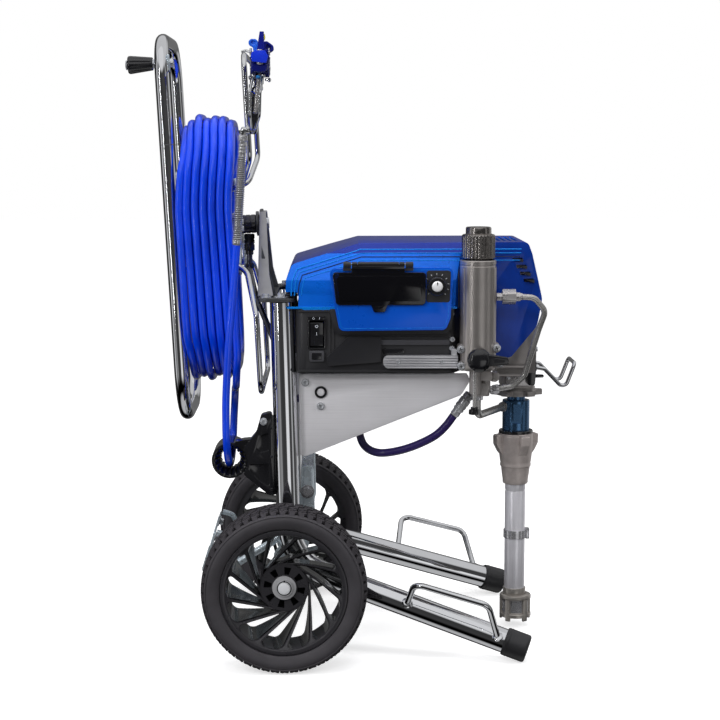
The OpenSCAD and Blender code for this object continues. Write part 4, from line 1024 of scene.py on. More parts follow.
# ------------------------------------------------------------ frame
LOW = V(5.8, 130, 142)
TOP = V(-4.7, 130, 555)
LEG = V(362, 212.1, 25.2)
for side, nm in ((-1, "right"), (1, "left")):
    f = lambda p: V(p[0], side * p[1], p[2])
    t = Mesh()
    t.pipe(bends([f(TOP), f(LOW), f(LEG)], 80, 3), 19.05, 2.0, 48)
    t.done("chrome_tube_" + nm, "cart", CHROME, "frame_tube_" + nm, angle=40)

LU = unit(LEG - LOW)
t = Mesh()
for side in (-1, 1):
    f = lambda p: V(p[0], side * p[1], p[2])
    e, u = f(LEG), unit(f(LEG) - f(LOW))
    b = basis(e - u * 22, u, (0, 0, 1))
    prof = [(19.15, 0.6), (19.7, 0), (20.9, 0), (21.6, 0.8), (22.0, 3), (22.0, 33), (21.6, 35.4), (20.2, 37.2), (17.5, 38), (0, 38)]
    n = 72
    vs, fs, rings = [], [], []
    for r, h in prof:
        if r == 0:
            rings.append([len(vs)])
            vs.append(b @ V(0, 0, h))
            continue
        rings.append(list(range(len(vs), len(vs) + n)))
        for j in range(n):
            a = 2 * PI * j / n
            p = b @ V(r * math.cos(a), r * math.sin(a), h)
            p.z = max(p.z, 0.0)
            vs.append(p)
    for p, q in zip(rings, rings[1:]):
        for j in range(n):
            k = (j + 1) % n
            fs.append((p[j], p[k], q[0]) if len(q) == 1 else (p[j], p[k], q[k], q[j]))
    t.add(vs, fs)
    # rib round the cap
    t.ring(e - u * 16, u, 22.4, 21.2, 2.0, 0.5, 72)
t.done("rubber_feet", "cart", CAPRUB, "foot_caps", angle=35)

t = Mesh()
for side in (-1, 1):
    f = lambda p: V(p[0], side * p[1], p[2])
    pts = [f((190, 193.5, 89)), f((199, 250, 134)), f((311, 263, 103)), f((328, 232.3, 45))]
    # flattened and bolted ends
    t.tube(bends(pts, 18, 5), 4.75, 20)
    for q, d in ((pts[0], unit(pts[1] - pts[0])), (pts[-1], unit(pts[-2] - pts[-1]))):
        m = basis(q + d * 1.5, d)
        t.lathe([(0, -3), (8.2, -3), (8.6, -2.4), (8.6, -0.4), (7.6, 0.4), (4.6, 2.2), (0, 2.2)], m=m, n=32)
t.done("lifting_handles", "cart", CHROME, "leg_handles", angle=40)

# axle carrier: bent ribbed plates
t = Mesh()
out = [(-22, 108), (22, 108), (46, 205), (44, 292), (24, 292), (22, 205), (-20, 150)]
for side in (-1, 1):
    y0, y1 = (104, 110) if side > 0 else (-110, -104)
    t.prism(round2(out, 8, 4), "y", y0, y1, 1.2, 2, mi=0)
    yo = 110.1 * side
    for z0, z1, x in ((215, 285, 34), (150, 205, 14)):
        t.prism(round2([(x - 6, z0), (x + 6, z0), (x + 6, z1), (x - 6, z1)], 5, 3), "y", min(yo, yo + side * 1.2), max(yo, yo + side * 1.2), 0.5, 1, mi=0)
    t.ring((0, side * 110.1, 127), (0, side, 0), 11.9, 10.05, 74.8, 0.6, 48, mi=1)
    t.bolt((34, side * 110.2, 250), (0, side, 0), 13, 6, 22, mi=1)
t.prism([(24, 215), (28, 215), (28, 290), (24, 290)], "y", -103.8, 103.8, 0.6, 1)
t.prism([(28.1, 286), (43.5, 286), (43.5, 290), (28.1, 290)], "y", -103.8, 103.8, 0.6, 1)
t.prism([(28.1, 215), (40, 215), (40, 219), (28.1, 219)], "y", -103.8, 103.8, 0.6, 1)
t.done("axle_carrier_plates", "cart", [ZINC, STEEL], "axle_carrier")

t = Mesh()
pts = [(12, 97, 196), (-22, 97, 166), (-80, 97, 130), (-132, 92, 116), (-132, -92, 116), (-80, -97, 130), (-22, -97, 166), (12, -97, 196)]
t.tube(bends(pts, 20, 5), 6, 24, mi=0)
bs = basis((-132, 0, 124), V(-112, 0, 190) - V(-132, 0, 124), (1, 0, 0))
t.prism(round2([(-80, 0), (80, 0), (80, 58), (-80, 58)], 6, 5), "x", -1.5, 1.5, 0.7, 2, mi=1, mat=bs)
for k in range(-3, 4):
    t.prism(round2([(k * 20 - 2.5, 8), (k * 20 + 2.5, 8), (k * 20 + 2.5, 52), (k * 20 - 2.5, 52)], 2.2, 3), "x", -2.3, -1.4, 0.4, 1, mi=1, mat=bs)
for s in (-1, 1):
    t.tube(bends([(-113, s * 80, 178), (-96, s * 80, 173), (-80, s * 88, 136)], 12, 6), 4.5, 18, mi=0)
    t.bolt(bs @ V(1.6, s * 62, 44), bs.to_3x3() @ V(1, 0, 0), 10, 5, 18, mi=2)
t.done("rear_step_plate", "cart", [ZINC, ZINC, BOLT], "rear_step")

# side plates: brushed sheet with folded edges, screws and grommets
PLATE_P = [(21, 441), (287, 441), (290.5, 430), (278, 409), (23.5, 309)]
t = Mesh()
for side in (-1, 1):
    y0, y1 = (127, 130) if side > 0 else (-130, -127)
    b = slab(round2(PLATE_P, [3, 5, 7, 9, 4], 5), "y", y0, y1)
    hole = slab([(55.8 + 8.4 * math.cos(2 * PI * j / 40), 412.7 + 8.4 * math.sin(2 * PI * j / 40)) for j in range(40)], "y", y0 - 5, y1 + 5)
    b = boolean(b, hole, "DIFFERENCE")
    soften(b, 0.6, 2, 40)
    t.bm(b, None, 0)
    yo = 130.05 * side
    a = (0, side, 0)
    # folded lips along the upper, rear and sloping edges
    t.prism([(22, 438.2), (286, 438.2), (286, 441.3), (22, 441.3)], "y", min(yo, yo - side * 9), max(yo, yo - side * 9), 0.8, 2, mi=0)
    t.tube([(22.2, side * 129.2, 440), (22.2, side * 129.2, 420), (24.6, side * 129.2, 312)], 1.2, 12, mi=0)
    t.tube([(30, side * 128.3, 311.2), (276, side * 128.3, 408.6)], 1.6, 12, mi=0)
    # grommet: black ring round a bright centre
    t.ring((55.8, side * 128.2, 412.7), a, 9.6, 6.2, 4.6, 1.0, 56, mi=2)
    t.ring((55.8, side * 127.2, 412.7), a, 8.2, 5.9, 2.0, 0.3, 56, mi=2)
    t.lathe([(6.15, 0), (6.15, 3.2), (5.6, 3.9), (2.0, 4.4), (0, 4.4)], (55.8, side * 127.4, 412.7), a, 48, mi=3)
    for x, z in ((31.5, 428.1), (55.4, 390.5)):
        t.socket((x, side * 130.2, z), a, 9.5, 3.0, 4.4, 1.8, mi=1, washer=12.4)
# tray and its flanges
b = slab(round2([(21, -126.6), (284.3, -126.6), (284.3, 126.6), (21, 126.6)], 3, 2), "z", 441.2, 444.4)
cut = slab([(120, -60), (200, -60), (200, 60), (120, 60)], "z", 435, 450)
b = boolean(b, cut, "DIFFERENCE")
cut = slab([(266, -131), (290, -131), (290, -70), (266, -70)], "z", 435, 450)
b = boolean(b, cut, "DIFFERENCE")
soften(b, 0.5, 1, 40)
t.bm(b, None, 0)
for s in (-1, 1):
    t.prism([(30, 438.2), (262, 438.2), (262, 441), (30, 441)], "y", 112 if s > 0 else -126, 126 if s > 0 else -112, 0.5, 1, mi=0)
t.done("side_sheets", "cart", [PLATE, BOLT, GLOSSBLK, PLATE], "side_plates", angle=30)

# reel bracket
t = Mesh()
pl = [(-41, -150), (16, -150), (16, -108), (-14, -92), (-14, 92), (16, 108), (16, 150), (-41, 150), (-41, 112), (-43, 108), (-43, -108), (-41, -112)]
t.prism(round2(pl, [14, 14, 14, 14, 14, 14, 14, 14, 2, 2, 2, 2], 5), "z", 556, 562, 1.4, 3, mi=0)
b = slab(round2([(-118, 562.1), (118, 562.1), (24, 695), (-24, 695)], [4, 4, 14, 14], 5), "x", -43, -38)
cut = slab(round2([(-70, 580), (70, 580), (24, 640), (-24, 640)], 9, 5), "x", -50, -30)
b = boolean(b, cut, "DIFFERENCE")
soften(b, 1.0, 2, 40)
t.bm(b, None, 0)
for s in (-1, 1):
    # folded flange along the upright's edge
    e0, e1 = V(-38.2, s * 117, 562.5), V(-38.2, s * 25, 691)
    d = unit(e1 - e0)
    t.prism([(-4.6, 0), (20, 0), (13, 40), (6, (e1 - e0).length), (-4.6, (e1 - e0).length)], "y", -2.2, 2.2, 1.2, 2, mi=1,
            mat=basis(e0, d, (1, 0, 0)))
    t.prism([(-37.9, 562.1), (-15, 562.1), (-37.9, 640)], "y", 76 if s > 0 else -79, 79 if s > 0 else -76, 0.7, 1, mi=0)
    t.bolt((-4.7, s * 130, 562.2), (0, 0, 1), 13, 5, 24, mi=2)
    t.bolt((-30, s * 132, 562.2), (0, 0, 1), 10, 4.5, 18, mi=2)
    # tab with its bolt at the far corner
    t.box((-8, s * 96 - 12, 562.1), (14, s * 96 + 12, 566), 1.2, 2, mi=1)
    t.socket((2, s * 96, 566), (0, 0, 1), 10, 6, mi=2)
m = REEL
t.lathe([(0, 0), (7.3, 0), (7.9, 0.6), (7.9, 37.2), (7.3, 37.5), (0, 37.5)], m=m @ basis((-22, 0, 0), (1, 0, 0)), n=48, mi=3)
t.lathe([(9.4, 0.3), (17.0, 0.3), (17.4, 0.8), (17.4, 2.4), (16.8, 3), (9, 3)], m=m @ basis((21.5, 0, 0), (1, 0, 0)), n=48, mi=2, closed=True)
t.hexa(m @ V(24.4, 0, 0), m.to_3x3() @ V(1, 0, 0), 17, 6.4, 1.0, mi=2)
# boss ring behind the upright
t.ring(m @ V(10.2, 0, 0), m.to_3x3() @ V(1, 0, 0), 20, 8.3, 4.6, 0.6, 48, mi=0)
t.done("reel_bracket_plates", "cart", [BLACKCOAT, material("bracket_flange_grey", (0.42, 0.42, 0.44), 0.4, 1.0, grain=0.2), BOLT, STEEL], "reel_bracket", angle=35)

# hose guide ring with teeth round its mouth
t = Mesh()
m = basis((-88, -95, 304), (0, -1, 0), (1, 0, 0))
prof = [(27.8, -35), (28.7, -34), (28.7, 34), (27.8, 35), (25.6, 35.4), (24.0, 34.8)] + \
       [(16.3 + 8.4 * abs(k / 6) ** 2, k * 34 / 6) for k in range(6, -7, -1)] + [(24.0, -34.8), (25.6, -35.4)]
t.lathe(prof, m=m, n=96, closed=True)
NT = 16
for i in range(NT):
    a = 2 * PI * i / NT
    rm = m @ Matrix.Rotation(a, 4, "Z")
    t.prism([(16.2, -12), (16.0, 0), (16.2, 12), (19.5, 24), (24.0, 33.4), (27.6, 35.6), (28.2, 37.2), (26.2, 37.4), (21.4, 34.8), (17.5, 24.5), (15.3, 12), (15.0, 0), (15.3, -12), (17.5, -24.5),
             (21.4, -34.8), (26.2, -37.4), (28.2, -37.2), (27.6, -35.6), (24.0, -33.4), (19.5, -24)], "y", -1.5, 1.5, 0.4, 1, mat=rm)
# arms to the upright and the body between them
b = slab(round2([(-20.8, 383), (-19, 245), (-40, 262), (-66, 283), (-66, 326), (-46, 350), (-38, 378)], [5, 5, 8, 12, 12, 8, 6], 5), "y", -142, -118)
cut = bmesh.new()
bmesh.ops.create_cone(cut, cap_ends=True, segments=64, radius1=28.4, radius2=28.4, depth=60, matrix=Matrix.Translation(V(-88, -125, 304)) @ Matrix.Rotation(PI / 2, 4, "X"))
b = boolean(b, cut, "DIFFERENCE")
cut = slab(round2([(-26, 350), (-25, 322), (-40, 318), (-46, 326), (-40, 345)], 3, 3), "y", -150, -139)
b = boolean(b, cut, "DIFFERENCE")
cut = slab(round2([(-26, 300), (-24.5, 262), (-40, 273), (-56, 290), (-56, 300)], 3, 3), "y", -150, -139)
b = boolean(b, cut, "DIFFERENCE")
soften(b, 1.0, 2, 35)
t.bm(b)
for z in (358, 312, 260):
    t.box((-24, -143.5, z - 2), (-19.9, -116.5, z + 2), 0.8, 1)
t.socket((-34, -141.8, 368), (0, -1, 0), 9, 3.5, mi=1, washer=12)
t.tube([V(-21.0, -130, 376), V(-20.6, -130, 250)], 6.0, 20)
# upper arm from the top of the ring to the flange
t.prism(round2([(-84, 334), (-66, 338), (-49, 339.5), (-38, 347), (-26, 357), (-26, 341), (-37, 327), (-52, 318), (-66, 320)], [3, 6, 8, 6, 2, 2, 6, 5, 4], 4), "y", -138, -112, 1.6, 3, mi=0)
t.done("guide_ring", "cart", [GLOSSBLK, BOLT], "hose_guide", angle=35)

# ------------------------------------------------------------ reel
RM3 = REEL.to_3x3()


def rtube(t, pts, r, R, n=20, mi=0, step=4):
    t.tube([on_reel(p) for p in bends(pts, R, step)], r, n, mi=mi)


# outer hoop: tubes joined at the lower half, with buttons
t = Mesh()
u = -116
loop = bends([(u, 0, 296), (u, 125, 296), (u, 125, -296), (u, -125, -296), (u, -125, 296), (u, 0, 296)], 80, 2.5)
loop = [on_reel(p) for p in loop]
t.tube(loop[:-1], 11, 44, closed=True, mi=0)
for v in (-125, 125):
    # joint line and snap button
    t.lathe([(10.7, -0.7), (11.25, -0.5), (11.25, 0.5), (10.7, 0.7)], m=REEL @ basis((u, v, 134), (0, 0, 1)), n=56, mi=1, closed=True)
    t.lathe([(0, 0), (3.4, 0), (3.2, 1.6), (2.0, 2.4), (0, 2.7)], m=REEL @ basis((u + 10.2, v, -12), (1, 0, 0)), n=32, mi=2)
# bracket and through bolt of the crank knob
kv, kw = -112.5, 259
t.lathe([(0, -20), (8.2, -20), (8.8, -19.2), (8.8, -16.8), (8.2, -16), (4.0, -16), (4.0, -53.4), (4.8, -53.4), (6.9, -53.6), (7.4, -54.2), (7.4, -55.2), (6.0, -56), (0, -56.2)],
        m=REEL @ basis((u, kv, kw), (1, 0, 0)), n=48, mi=2)
t.hexa(on_reel((u - 16.4, kv, kw)), RM3 @ V(1, 0, 0), 14, 5, 0.7, mi=2)
t.prism(round2([(-12.5, -13), (0, -13), (7.5, -6), (7.5, 6), (0, 13), (-12.5, 13)], 3, 3), "x", 9.6, 12.4, 0.6, 2, mi=3, mat=REEL @ Matrix.Translation(V(u, kv, kw)))
t.hexa(on_reel((u + 12.4, kv, kw)), RM3 @ V(1, 0, 0), 13, 5.4, 0.8, mi=2)
t.done("reel_hoop_tube", "reel", [CHROME, BLACKCOAT, BOLT, ZINC], "reel_hoop", angle=40)

# flat bars, centre plate, rods and inner cross
t = Mesh()
for w in (-66, 66):
    t.prism(round2([(-117.6, w - 12), (117.6, w - 12), (117.6, w + 12), (-117.6, w + 12)], 2, 2), "x", -119, -115, 0.7, 2, mi=0, mat=REEL)
    for s in (-1, 1):
        # flattened ends with bolts into the hoop
        t.bolt(on_reel((-114.8, s * 106.5, w)), RM3 @ V(1, 0, 0), 11, 5, 17, mi=2)
        t.prism(round2([(s * 108 - 9, w - 13), (s * 108 + 9, w - 13), (s * 108 + 9, w + 13), (s * 108 - 9, w + 13)], 4, 4), "x", -121.4, -119.1, 0.7, 2, mi=0, mat=REEL)
t.prism(round2([(-30, -90), (30, -90), (30, 90), (-30, 90)], 12, 5), "x", -114.8, -111, 0.8, 2, mi=0, mat=REEL)
for k in (-66, 66):
    for s in (-18, 18):
        t.bolt(on_reel((-110.9, s, k)), RM3 @ V(1, 0, 0), 8, 3.6, 13, mi=2)
for v in (-84, 84):
    for w in (-66, 66):
        t.tube([on_reel((-114.9, v, w)), on_reel((-18.1, v, w))], 6, 28, mi=1)
        t.lathe([(8.6, 0), (9.2, 0.5), (9.2, 2.4), (8.4, 3), (6, 3.2)], m=REEL @ basis((-114.9, v, w), (1, 0, 0)), n=32, mi=1)
cross = [(-94, -76), (-74, -76), (-30, -30), (30, -30), (74, -76), (94, -76), (94, -56), (44, 0), (94, 56), (94, 76),
         (74, 76), (30, 30), (-30, 30), (-74, 76), (-94, 76), (-94, 56), (-44, 0), (-94, -56)]
b = slab(round2(cross, [5, 5, 9, 9, 5, 5, 5, 16, 5, 5, 5, 9, 9, 5, 5, 5, 16, 5], 4), "x", -18, -14)
c = bmesh.new()
bmesh.ops.create_cone(c, cap_ends=True, segments=56, radius1=15.15, radius2=15.15, depth=20, matrix=Matrix.Translation(V(-16, 0, 0)) @ Matrix.Rotation(PI / 2, 4, "Y"))
b = boolean(b, c, "DIFFERENCE")
soften(b, 0.7, 2, 40)
t.bm(b, REEL, 0)
for s in (-1, 1):
    for q in (-1, 1):
        t.bolt(on_reel((-13.9, s * 27, q * 5.5)), RM3 @ V(1, 0, 0), 8, 3.4, 12, mi=2)
t.done("reel_core_bars", "reel", [ZINC, WIRE, BOLT], "reel_core", angle=35)

# wire loops
t = Mesh()
rtube(t, [(-114.9, -108, 60), (-6, -108, 60), (12.5, -155, 106), (12.5, -155, 264), (12.5, 155, 264), (12.5, 155, 106), (-6, 108, 60), (-114.9, 108, 60)], 4.5, 24, 24)
rtube(t, [(-114.9, -108, -60), (-6, -108, -60), (8.5, -155, -136), (8.5, -155, -257), (8.5, 155, -257), (8.5, 155, -136), (-6, 108, -60), (-114.9, 108, -60)], 4.5, 24, 24)
for s in (-1, 1):
    for q in (-1, 1):
        t.lathe([(4.4, -4.4), (6.2, -4.4), (6.9, -3.8), (6.9, -0.6), (6.3, 0), (4.4, 0)], m=REEL @ basis((-110.6, s * 108, q * 60), (1, 0, 0)), n=32, closed=True)
t.done("reel_wire_loops", "reel", WIRE, "reel_wires", angle=40)

# hub with its swivel
t = Mesh()
hm = REEL @ basis((0, 0, 0), (1, 0, 0))
t.lathe([(8.1, -24), (8.1, 9.3), (10.5, 9.6), (13.8, 9.6), (14.7, 8.9), (15.0, 7.8), (15.0, 2.0), (14.2, 1.5), (14.2, 0.5), (15.0, 0), (15.0, -6), (14.5, -6.6), (14.5, -8), (15.0, -8.6), (15.0, -13.6), (15.0, -18)],
        m=hm, n=80, mi=0)
t.lathe([(15.0, -18.2), (27.4, -18.2), (28, -18.8), (28, -21.9), (27.4, -22.5), (15.0, -22.5)], m=hm, n=80, mi=1, closed=True)
t.lathe([(15.0, -22.5), (15.0, -27), (14.3, -27.9), (9, -28), (8.1, -27)], m=hm, n=80, mi=0)
t.lathe([(0, -28.1), (9, -28.1), (9, -33), (8.4, -33.4), (8.4, -34.6), (9, -35), (9, -44.8), (8.2, -46), (0, -46)], m=hm, n=56, mi=2)
fm = REEL @ basis((-38, 0, 0), (0, 0, 1))
t.lathe([(0, 7), (6.6, 8.6), (7.0, 9.2), (7.0, 12), (6.2, 12.6), (6.2, 15), (7.0, 15.6), (7.2, 20), (7.0, 24.6), (6.3, 25.6), (6.3, 27)], m=fm, n=48, mi=2)
t.hexa(on_reel((-38, 0, 14)), RM3 @ V(0, 0, 1), 14.6, 7, 0.7, mi=2)
for k in range(4):
    a = PI / 4 + k * PI / 2
    t.bolt(on_reel((-22.6, 22 * math.cos(a), 22 * math.sin(a))), RM3 @ V(-1, 0, 0), 7, 3, 11, mi=3)
t.done("reel_hub_swivel", "reel", [HUBMET, STEEL, STEEL, BOLT], "reel_hub", angle=35)

# crank knob: black handle with flutes
t = Mesh()
km = REEL @ basis((-129.7, kv, kw), (-1, 0, 0))
n, rows = 96, [(0, 0.74, 0), (0, 0.93, 0), (0.7, 1.0, 0), (3.0, 1.0, 0.3), (5.0, 1.0, 1), (20, 1.0, 1), (33.5, 1.0, 1), (35.4, 0.985, 0.5), (37.4, 0.93, 0), (38.4, 0.84, 0), (38.6, 0.72, 0), (37.6, 0.60, 0), (37.2, 0.29, 0)]
vs, fs, rings = [], [], []
for h, k, fl in rows:
    r0 = (10 + 4.5 * h / 38.8) * k
    ring = []
    for j in range(n):
        a = 2 * PI * j / n
        ring.append(len(vs))
        flute = 0.9 * fl * (0.5 - 0.5 * math.cos(12 * a)) ** 2.2
        vs.append(V((r0 - flute) * math.cos(a), (r0 - flute) * math.sin(a), h))
    rings.append(ring)
for p, q in zip(rings, rings[1:]):
    for j in range(n):
        k = (j + 1) % n
        fs.append((p[j], p[k], q[k], q[j]))
t.add(vs, fs, 0, km)
t.lathe([(4.15, 0), (7.6, 0), (7.6, 0.2), (4.15, 37.0)], m=km, n=48, mi=0, closed=True)
t.done("crank_handle", "crank_knob", GLOSSBLK, "crank_knob", angle=35)

# ------------------------------------------------------------ spray gun
GX, GZ = -32, 926
GA = HG + hu * 18.2

t = Mesh()
m = basis(GA, hu)
t.lathe([(2.6, 0), (6.8, 0), (7.6, 0.7), (7.75, 1.6), (7.75, 3.2), (7.0, 3.6), (7.0, 4.6), (7.75, 5.0), (7.75, 7.6), (7.2, 8.6), (2.6, 9)], m=m, n=64, closed=True)
t.done("gun_swivel_nut", "gun_swivel", STEEL, "gun_swivel", angle=40)

t = Mesh()
# barrel with collars, head and rear plug
m = basis((GX, -160, GZ), (0, -1, 0))
t.lathe([(0, -0.1), (6.5, 0), (7.0, 0.5), (7.0, 6), (9.2, 6.6), (10, 7.4), (10, 22), (9.4, 22.6), (9.4, 24), (10, 24.6), (10, 40), (9.3, 40.6), (9.3, 43), (10.2, 43.6), (10.2, 50), (9.6, 50.8), (9.0, 52), (9.0, 64), (8.2, 65.6), (0, 66)],
        m=m, n=64, mi=0)
t.hexa((GX, -160, GZ), (0, 1, 0), 13, 5.5, 0.7, mi=3)
# navy body under the barrel, narrower behind
prof = [(-219, GZ - 20), (-210, GZ - 26.5), (-196, GZ - 27), (-188, GZ - 24), (-163, GZ - 23), (-161.5, GZ - 5), (-166, GZ + 4), (-214, GZ + 4), (-220, GZ - 3)]
b = slab(round2(prof, [4, 4, 3, 6, 4, 5, 4, 4, 4], 4), "x", GX - 14.6, GX + 12.6)
c = slab([(-221.5, GZ - 28), (-194, GZ - 28), (-194, GZ - 9), (-221.5, GZ - 9)], "x", GX - 7, GX + 4)
b = boolean(b, c, "DIFFERENCE")
soften(b, 2.6, 4, 35)
t.bm(b, None, 2)
# ribs of the body beside the trigger's slot
for x in (-11, -7.2, 7.0, 10.4):
    t.prism(round2([(-222.4, GZ - 19), (-219, GZ - 21), (-216, GZ - 22), (-216, GZ - 2), (-222.4, GZ - 3)], 1.6, 3), "x", GX + x - 0.9, GX + x + 0.9, 0.6, 2, mi=2)
# screws through both sides, and the trigger pin's heads
for s in (-1, 1):
    q = basis((GX + (-14.4 if s < 0 else 12.4), -205, GZ - 14), (s, 0, 0))
    t.lathe([(0, 0), (3.6, 0), (3.6, 1.2), (2.6, 2.0), (0, 2.2)], m=q, n=32, mi=3)
for p, s in (((-46.5, -214, 898.5), -1), ((-20.5, -212, 895), 1)):
    t.lathe([(0, -5), (2.0, -5), (2.0, 0), (3.1, 0.3), (3.3, 1.2), (3.1, 2.8), (2.4, 3.3), (0, 3.4)], p, (s, -0.35, -0.1), 28, mi=3)
# cyan ring under the body
t.lathe([(0, 0), (2.9, 0), (3.2, 0.6), (3.2, 2.6), (2.6, 3.3), (0, 3.5)], (-35.6, -216.5, 900.5), (0.05, -0.45, -0.9), 32, mi=4)
# grip: slim handle narrowing downwards, in gloss black with chrome bands at its sides as painted highlights
g0, g1 = V(GX - 9, -171, GZ - 20), V(-46, -174, 818)
gu = unit(g0 - g1)
gl = (g0 - g1).length
gm = basis(g1, gu, (0, -1, 0))
n = 64
rows = [(-3.2, 3.6, 4.4), (-2.0, 5.2, 5.6), (0.6, 6.2, 7.0), (8, 6.3, 7.4), (gl * 0.32, 6.6, 7.9), (gl * 0.55, 7.2, 8.1), (gl * 0.78, 8.0, 8.4), (gl * 0.92, 8.6, 8.6), (gl + 3, 9.0, 9.0)]
vs, rings = [], []
for h, rx, ry in rows:
    ring = []
    for j in range(n):
        a = 2 * PI * j / n
        ring.append(len(vs))
        vs.append(V(rx * math.copysign(abs(math.cos(a)) ** 0.85, math.cos(a)), ry * math.copysign(abs(math.sin(a)) ** 0.85, math.sin(a)), h))
    rings.append(ring)
fs, fm = [], []
for p, q in zip(rings, rings[1:]):
    for j in range(n):
        k = (j + 1) % n
        # the local x axis points to the front: the chrome bands at both sides of it are painted highlights on one cast
        # grip, the gloss black between them painted dark reflection
        a = (2 * PI * (j + 0.5) / n) % PI
        fs.append((p[j], p[k], q[k], q[j]))
        fm.append(3 if abs(a - PI / 2) < 0.62 else 1)
t.add(vs, fs + [tuple(rings[0][::-1]), tuple(rings[-1])], 1, gm)
t.m[-len(fm) - 2:-2] = fm
# front ribs of the grip
for k in range(7):
    h = 9 + k * (gl - 34) / 6
    t.lathe([(0, 0), (2.6, 0.1), (3.0, 0.5), (2.6, 1.1), (0, 1.3)], m=gm @ Matrix.Translation(V(6.2 + 1.4 * k / 6, 0, h)) @ Matrix.Rotation(PI / 2, 4, "Y"), n=24, mi=1)
# bright casting between the body and the grip, with its bosses
hd = basis((GX - 7.5, -176, GZ - 22), unit(V(-0.12, -0.03, -1.0)))
t.lathe([(0, -1), (9.6, 0), (10.4, 1.2), (10.4, 6.5), (9.4, 8.2), (8.6, 9.4), (8.6, 14), (9.6, 15.4), (10.0, 17.5), (9.5, 20), (8.0, 22.4), (6.6, 26), (5.4, 27), (0, 27.4)], m=hd, n=56, mi=3)
for p, r in (((-45.5, -181, 888), 3.4), ((-33, -184, 884), 3.2), ((-40, -186.5, 879), 4.2), ((-31.5, -180, 893), 2.6)):
    t.lathe([(0, -5), (r, -5), (r + 0.3, 0), (r - 0.4, 1.2), (0, 1.9)], p, (0.0, -0.96, 0.26), 28, mi=3)
# elbow from the grip to the swivel, with its nut
e0, e1 = V(-60.7, -172, 818.6), V(-46, -174, 824)
t.tube([GA + hu * 9.3, GA + hu * 14, e0 + V(0.2, 0, 2.2), e0 + (e1 - e0) * 0.35, e1], 5.6, 28, mi=3)
t.hexa(GA + hu * 11.2, hu, 13.4, 5.0, 0.6, mi=3)
t.lathe([(0, 0), (6.6, 0), (7.0, 0.6), (7.0, 3.2), (6.4, 4.0), (0, 4.4)], e0 + (e1 - e0) * 0.42, unit(e1 - e0), 36, mi=3)
# hook over the reel's wire and the trigger guard's rod
t.tube(bends([(GX - 2, -160.2, GZ + 4), (GX - 2, -150, GZ + 5), (-49, -130, GZ + 13), (-58, -122, GZ + 17), (-65.4, -121.5, GZ + 14.5)], 6, 6), 2.1, 16, mi=3)
t.tube(bends([(GX + 3.5, -212, GZ - 25.0), (GX - 0.5, -226, GZ - 50), (GX - 1.5, -226, GZ - 84), (-41, -208, GZ - 104), (-46, -180, 817)], 14, 5), 2.1, 16, mi=3)
t.tube(bends([(GX - 11.5, -212, GZ - 25.0), (GX - 16, -223, GZ - 50), (GX - 16, -222, GZ - 84), (-47, -206, GZ - 104), (-46, -182, 818)], 14, 5), 1.9, 16, mi=3)
for p in ((GX + 3.5, -211, GZ - 22.5), (GX - 11.5, -211.5, GZ - 22.5)):
    t.lathe([(0, 0), (3.8, 0), (3.8, 3), (2.9, 4.4), (0, 4.6)], p, (0.05, -0.36, -0.93), 28, mi=3)
t.done("gun_body_cast", "reel", [GUNMETAL, GLOSSBLK, GUNDARK, WIRE, CYAN], "gun_body", angle=38)

# trigger: curved lever with a finger rest
t = Mesh()
lev = Matrix.Translation(V(GX - 1.4, 0, GZ - 14)) @ Matrix.Rotation(math.radians(6), 4, "Y") @ Matrix.Translation(V(-GX, 0, -(GZ - 14)))
side_p = [(-211, GZ - 9), (-199.5, GZ - 9), (-200.5, GZ - 24), (-206, GZ - 58), (-210.5, GZ - 78), (-212.5, GZ - 82.4), (-217.4, GZ - 80), (-215.2, GZ - 56), (-211.8, GZ - 24)]
t.prism(round2(side_p, [3, 3, 12, 20, 4, 2, 2, 20, 8], 5), "x", GX - 2.9, GX + 2.9, 1.3, 3, mi=0, mat=lev)
rows = [(GZ - 30, -213.2, 2.9), (GZ - 40, -214.4, 3.3), (GZ - 56, -216.4, 3.5), (GZ - 70, -217.4, 3.3), (GZ - 79, -217.4, 2.4)]
vs, fs, rings = [], [], []
for z, y, h in rows:
    ring = []
    for k in range(14):
        a = PI * k / 13 * 1.0
        ring.append(len(vs))
        vs.append(V(GX - h * math.cos(a), y + 3.0 - 3.6 * math.sin(a), z))
    for k in range(13, -1, -1):
        a = PI * k / 13
        ring.append(len(vs))
        vs.append(V(GX - (h - 1.4) * math.cos(a), y + 4.4 - 3.6 * math.sin(a), z))
    rings.append(ring)
nn = len(rings[0])
for p, q in zip(rings, rings[1:]):
    for j in range(nn):
        k = (j + 1) % nn
        fs.append((p[j], p[k], q[k], q[j]))
fs.append(tuple(rings[0]))
fs.append(tuple(rings[-1][::-1]))
t.add(vs, fs, 0, lev)
t.lathe([(0, 0), (2.0, 0), (2.0, 23.6), (0, 23.6)], (GX - 11.8, -205, GZ - 14), (1, 0, 0), 28, mi=1)
t.done("gun_trigger_lever", "gun_trigger", [GUNMETAL, STEEL], "gun_trigger", angle=38)

# tip guard: nut, six-sided front block and two wings beside the flag
t = Mesh()
m = basis((GX, -226.1, GZ), (0, -1, 0))
n = 96
rows = [(0, 13.2, 0), (0.2, 14.2, 0.3), (1.4, 15, 1), (13, 15, 1), (15.5, 14.2, 0.4), (16.6, 12.4, 0), (16.8, 9.8, 0), (0, 9.8, 0)]
vs, fs, rings = [], [], []
for h, r, fl in rows:
    ring = []
    for j in range(n):
        a = 2 * PI * j / n
        d = 1.3 * fl * (0.5 - 0.5 * math.cos(12 * a)) ** 1.6
        ring.append(len(vs))
        vs.append(V((r - d) * math.cos(a), (r - d) * math.sin(a), h))
    rings.append(ring)
for p, q in zip(rings, rings[1:] + rings[:1]):
    for j in range(n):
        k = (j + 1) % n
        fs.append((p[j], p[k], q[k], q[j]))
t.add(vs, fs, 3, m)
